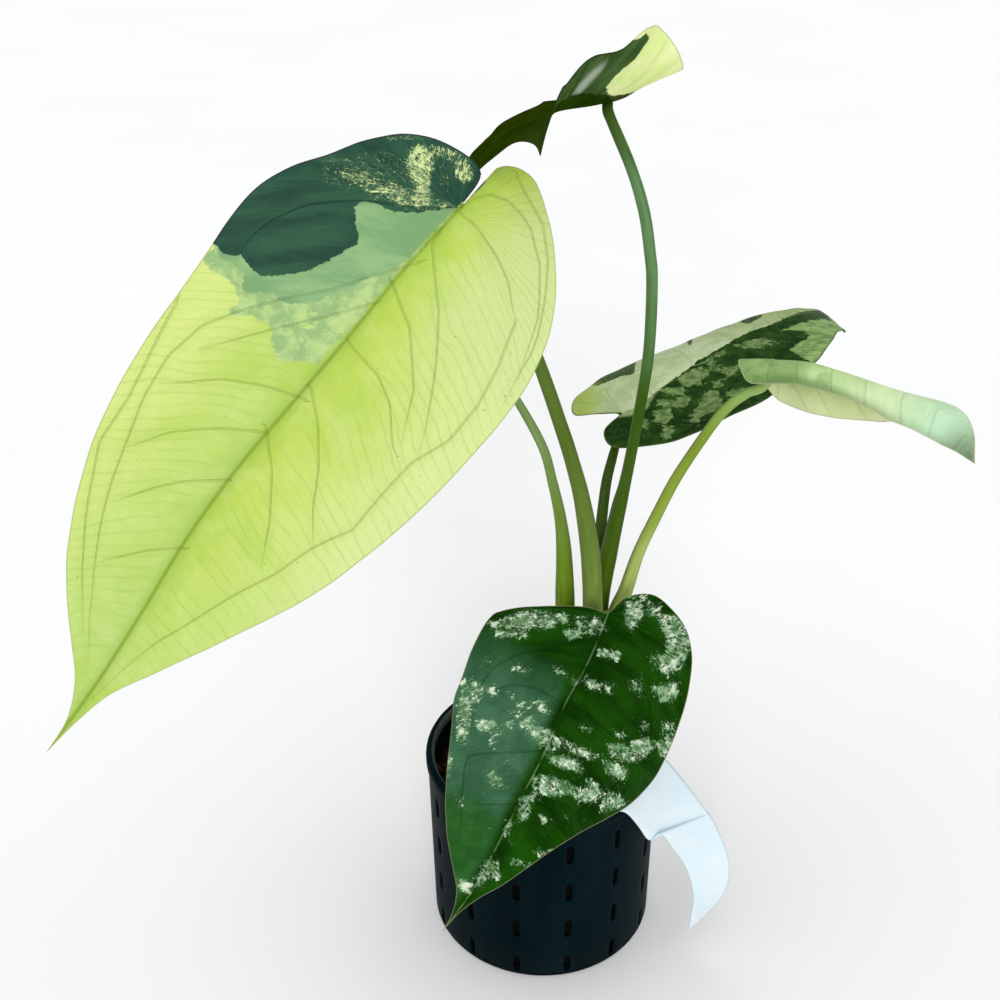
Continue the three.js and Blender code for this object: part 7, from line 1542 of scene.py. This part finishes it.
# ------------------------------------------------------------------ label
def make_label():
    g = Graph("label_plastic")
    fl = g.attr("strip", "Vector")
    n = g.noise(fl, 0.08, 3.0)
    c = g.mixc(g.ramp(n, 0.35, 0.65), srgb(232, 248, 255), srgb(240, 250, 255))
    soil = g.ramp(g.sep(fl)[0], 0.0, 12.0, 1.0, 0.0)
    c = g.mixc(g.mul(g.mul(soil, g.ramp(g.noise(fl, 0.8, 4.0), 0.45, 0.6)), 0.35), c, srgb(150, 132, 108))
    c = g.mixc(g.mul(g.ramp(g.noise(fl, 0.5, 4.0), 0.62, 0.70), 0.10), c, srgb(196, 206, 212))
    mat = g.finish(c, g.ramp(n, 0.3, 0.7, 0.38, 0.5), g.bump(g.noise(fl, 2.5, 2.0), 0.00005), specular=0.2, through=0.22)
    st = np.array(LABEL, float)
    ns, nw, th = 150, 20, 0.4
    t = np.linspace(0, 1, ns + 1)
    front, back = spline(st[:, 0], t), spline(st[:, 1], t)
    mid = (front + back) / 2
    length = np.concatenate([[0], np.cumsum(np.linalg.norm(np.diff(mid, axis=0), axis=1))])
    q = np.linspace(0, 1, nw + 1)
    pos = front[:, None] * (1 - q)[None, :, None] + back[:, None] * q[None, :, None]
    ta = unit(np.gradient(mid, axis=0))
    ab = unit(np.where(np.arange(ns + 1)[:, None] > ns - 6, back[ns - 6] - front[ns - 6], back - front))
    n = unit(np.cross(ta, -ab))
    k = np.hanning(9); k /= k.sum()
    pad = np.vstack([n[:1]] * 4 + [n] + [n[-1:]] * 4)
    n = unit(np.stack([np.convolve(pad[:, j], k, "valid") for j in range(3)], 1))
    # rounded corners at the inner end
    w0 = np.linalg.norm(back[0] - front[0])
    rad = 3.0
    for i in range(ns + 1):
        if length[i] < rad:
            cut = rad - math.sqrt(max(0, rad * rad - (rad - length[i]) ** 2))
            q2 = cut / w0 + q * (1 - 2 * cut / w0)
            pos[i] = front[i] * (1 - q2)[:, None] + back[i] * q2[:, None]
    V, Fc, strip, uv = [], [], [], []
    for sgn in (1, -1):
        for i in range(ns + 1):
            for j in range(nw + 1):
                V.append(pos[i, j] + n[i] * th / 2 * sgn)
                strip.append((length[i], q[j] * 20, 0 if sgn > 0 else 9))
    m = nw + 1
    low = (ns + 1) * m
    tex = lambda i, j, s: (q[j] * 0.46 + 0.02 + (0.5 if s else 0), 0.01 + 0.98 * t[i])
    for i in range(ns):
        for j in range(nw):
            a, b, c2, d = i * m + j, (i + 1) * m + j, (i + 1) * m + j + 1, i * m + j + 1
            Fc.append([a, b, c2, d]); uv += [tex(i, j, 0), tex(i + 1, j, 0), tex(i + 1, j + 1, 0), tex(i, j + 1, 0)]
            Fc.append([low + a, low + d, low + c2, low + b]); uv += [tex(i, j, 1), tex(i, j + 1, 1), tex(i + 1, j + 1, 1), tex(i + 1, j, 1)]
        for j, flip in ((0, False), (nw, True)):
            a, b = i * m + j, (i + 1) * m + j
            f_ = [a, low + a, low + b, b]
            u_ = [tex(i, j, 0), tex(i, j, 0), tex(i + 1, j, 0), tex(i + 1, j, 0)]
            Fc.append(f_[::-1] if flip else f_); uv += u_[::-1] if flip else u_
    for j in range(nw):
        for i, flip in ((0, False), (ns, True)):
            a, b = i * m + j, i * m + j + 1
            f_ = [a, b, low + b, low + a]
            u_ = [tex(i, j, 0), tex(i, j + 1, 0), tex(i, j + 1, 0), tex(i, j, 0)]
            Fc.append(f_[::-1] if flip else f_); uv += u_[::-1] if flip else u_
    return make_mesh("plant_label", np.array(V), Fc, {"strip": np.array(strip, float)}, uv, mat)


# ------------------------------------------------------------------ build the pieces
piece(make_pot(), "pot")
piece(make_mix(), "potting_mix")
piece(make_label(), "plant_label")
piece(make_stem(), "stem")

LOOKS = {"a": look_a, "b": look_b, "c": look_c, "d": look_d, "e": look_e, "f": look_f}
BUILD = {
    "a": dict(wave=0.5, quilt=0.34, keel=1.5),
    "b": dict(wave=0.25, quilt=0.25, keel=2.5),
    "c": dict(wave=0.45, quilt=0.3, keel=1.3),
    "d": dict(wave=0.2, quilt=0.18, keel=0.8),
    "e": dict(wave=0.4, quilt=0.34, keel=1.4),
    "f": dict(wave=0.5, quilt=0.3, keel=1.2),
}
# Colour stops of each stalk are partly its own colour and partly painted shade and light along its length; on a,
# lighter at the foot and darker higher up, under its blade.
PETIOLES = {
    "a": ([(0.20, (140, 158, 74)), (0.34, (106, 128, 56)), (0.56, (84, 106, 36)), (0.90, (108, 134, 66))], srgb(146, 168, 96), srgb(78, 102, 40)),
    "b": ([(0.30, (70, 96, 16)), (0.45, (62, 90, 22)), (0.58, (54, 85, 12)), (0.74, (96, 134, 84)), (0.88, (100, 137, 92)), (0.96, (72, 98, 38)), (1.0, (56, 84, 22))], srgb(96, 128, 50), srgb(48, 78, 14)),
    "c": ([(0.50, (66, 90, 28)), (0.95, (56, 80, 20))], srgb(72, 92, 34), srgb(36, 56, 10)),
    "d": ([(0.30, (196, 214, 112)), (0.43, (168, 184, 106)), (0.56, (140, 163, 64)), (0.76, (121, 146, 46)), (0.90, (138, 168, 94)), (1.0, (150, 180, 112))], srgb(186, 200, 124), srgb(112, 138, 44)),
    "e": ([(0.0, (98, 124, 56)), (1.0, (88, 116, 48))], srgb(150, 172, 100), srgb(60, 88, 30)),
    "f": ([(0.30, (134, 166, 40)), (0.43, (108, 136, 34)), (0.54, (112, 138, 58)), (0.70, (124, 150, 90))], srgb(128, 154, 84), srgb(74, 102, 32)),
}
SHEATH = {"a": 76.0, "b": 62.0, "c": 40.0, "d": 52.0, "e": 30.0, "f": 52.0}
for i, leaf in enumerate(LEAVES):
    k = leaf["name"]
    blade = make_blade(leaf, MARKS.get(k, {}), VEINS.get(k, []), LOOKS[k](), seed=20 + 3 * i, **BUILD[k])
    piece(blade, "blade_" + k)
    stops, lip, dark = PETIOLES[k]
    mat = look_petiole("petiole_tissue_" + k, stops, lip, dark, seed=float(i + 1))
    pts = [list(p) for p in leaf["petiole"]]
    stalk = tube("petiole_" + k, pts, mat, sheath=SHEATH[k], seed=3 + i)
    piece(stalk, "petiole_" + k)

# ------------------------------------------------------------------ floor, light, camera
g = Graph("floor_paper")
o = g.object_place()
c = g.mixc(g.ramp(g.noise(o, 3.0, 3.0), 0.3, 0.7), (0.88, 0.88, 0.88, 1), (0.90, 0.90, 0.90, 1))
paper = g.finish(c, 0.9, None, specular=0.1)
S = 9000.0
floor = make_mesh("floor", [(-S, -S, -0.05), (S, -S, -0.05), (S, S, -0.05), (-S, S, -0.05)], [[0, 1, 2, 3]], None, None, paper, smooth=False)

world = bpy.data.worlds.new("studio")
world.use_nodes = True
bpy.context.scene.world = world
bg = world.node_tree.nodes["Background"]
bg.inputs["Color"].default_value = (0.95, 0.98, 1.0, 1)
bg.inputs["Strength"].default_value = WORLD


def sun(name, direction, strength, angle, color=(1, 1, 1)):
    data = bpy.data.lights.new(name, "SUN")
    data.energy = strength
    data.angle = math.radians(angle)
    data.color = color
    ob = bpy.data.objects.new(name, data)
    ob.rotation_euler = Vector(direction).to_track_quat("Z", "Y").to_euler()
    bpy.context.scene.collection.objects.link(ob)
    return ob


for name, direction, strength, angle, color in SUNS:
    sun(name, direction, strength, angle, color)

pitch, roll = math.radians(29.33), math.radians(-0.58)
forward = Vector((0, math.cos(pitch), -math.sin(pitch)))
upward = Vector((0, math.sin(pitch), math.cos(pitch)))
right = Vector((1, 0, 0))
r2 = math.cos(roll) * right + math.sin(roll) * upward
u2 = -math.sin(roll) * right + math.cos(roll) * upward
cam = bpy.data.cameras.new("camera")
cam.sensor_width, cam.lens, cam.sensor_fit = 36.0, 46.8, "HORIZONTAL"
cam.clip_start, cam.clip_end = 0.01, 100.0
cam.dof.use_dof = False
camera = bpy.data.objects.new("camera", cam)
place = Matrix((r2, u2, -forward)).transposed().to_4x4()
place.translation = Vector((-18.5, -469.2, 488.3)) * MM
camera.matrix_world = place
bpy.context.scene.collection.objects.link(camera)
bpy.context.scene.camera = camera
bpy.context.scene.view_settings.view_transform = "Standard"
bpy.context.scene.view_settings.look = "None"
bpy.context.scene.view_settings.exposure = 0.0
bpy.context.scene.view_settings.gamma = 1.0
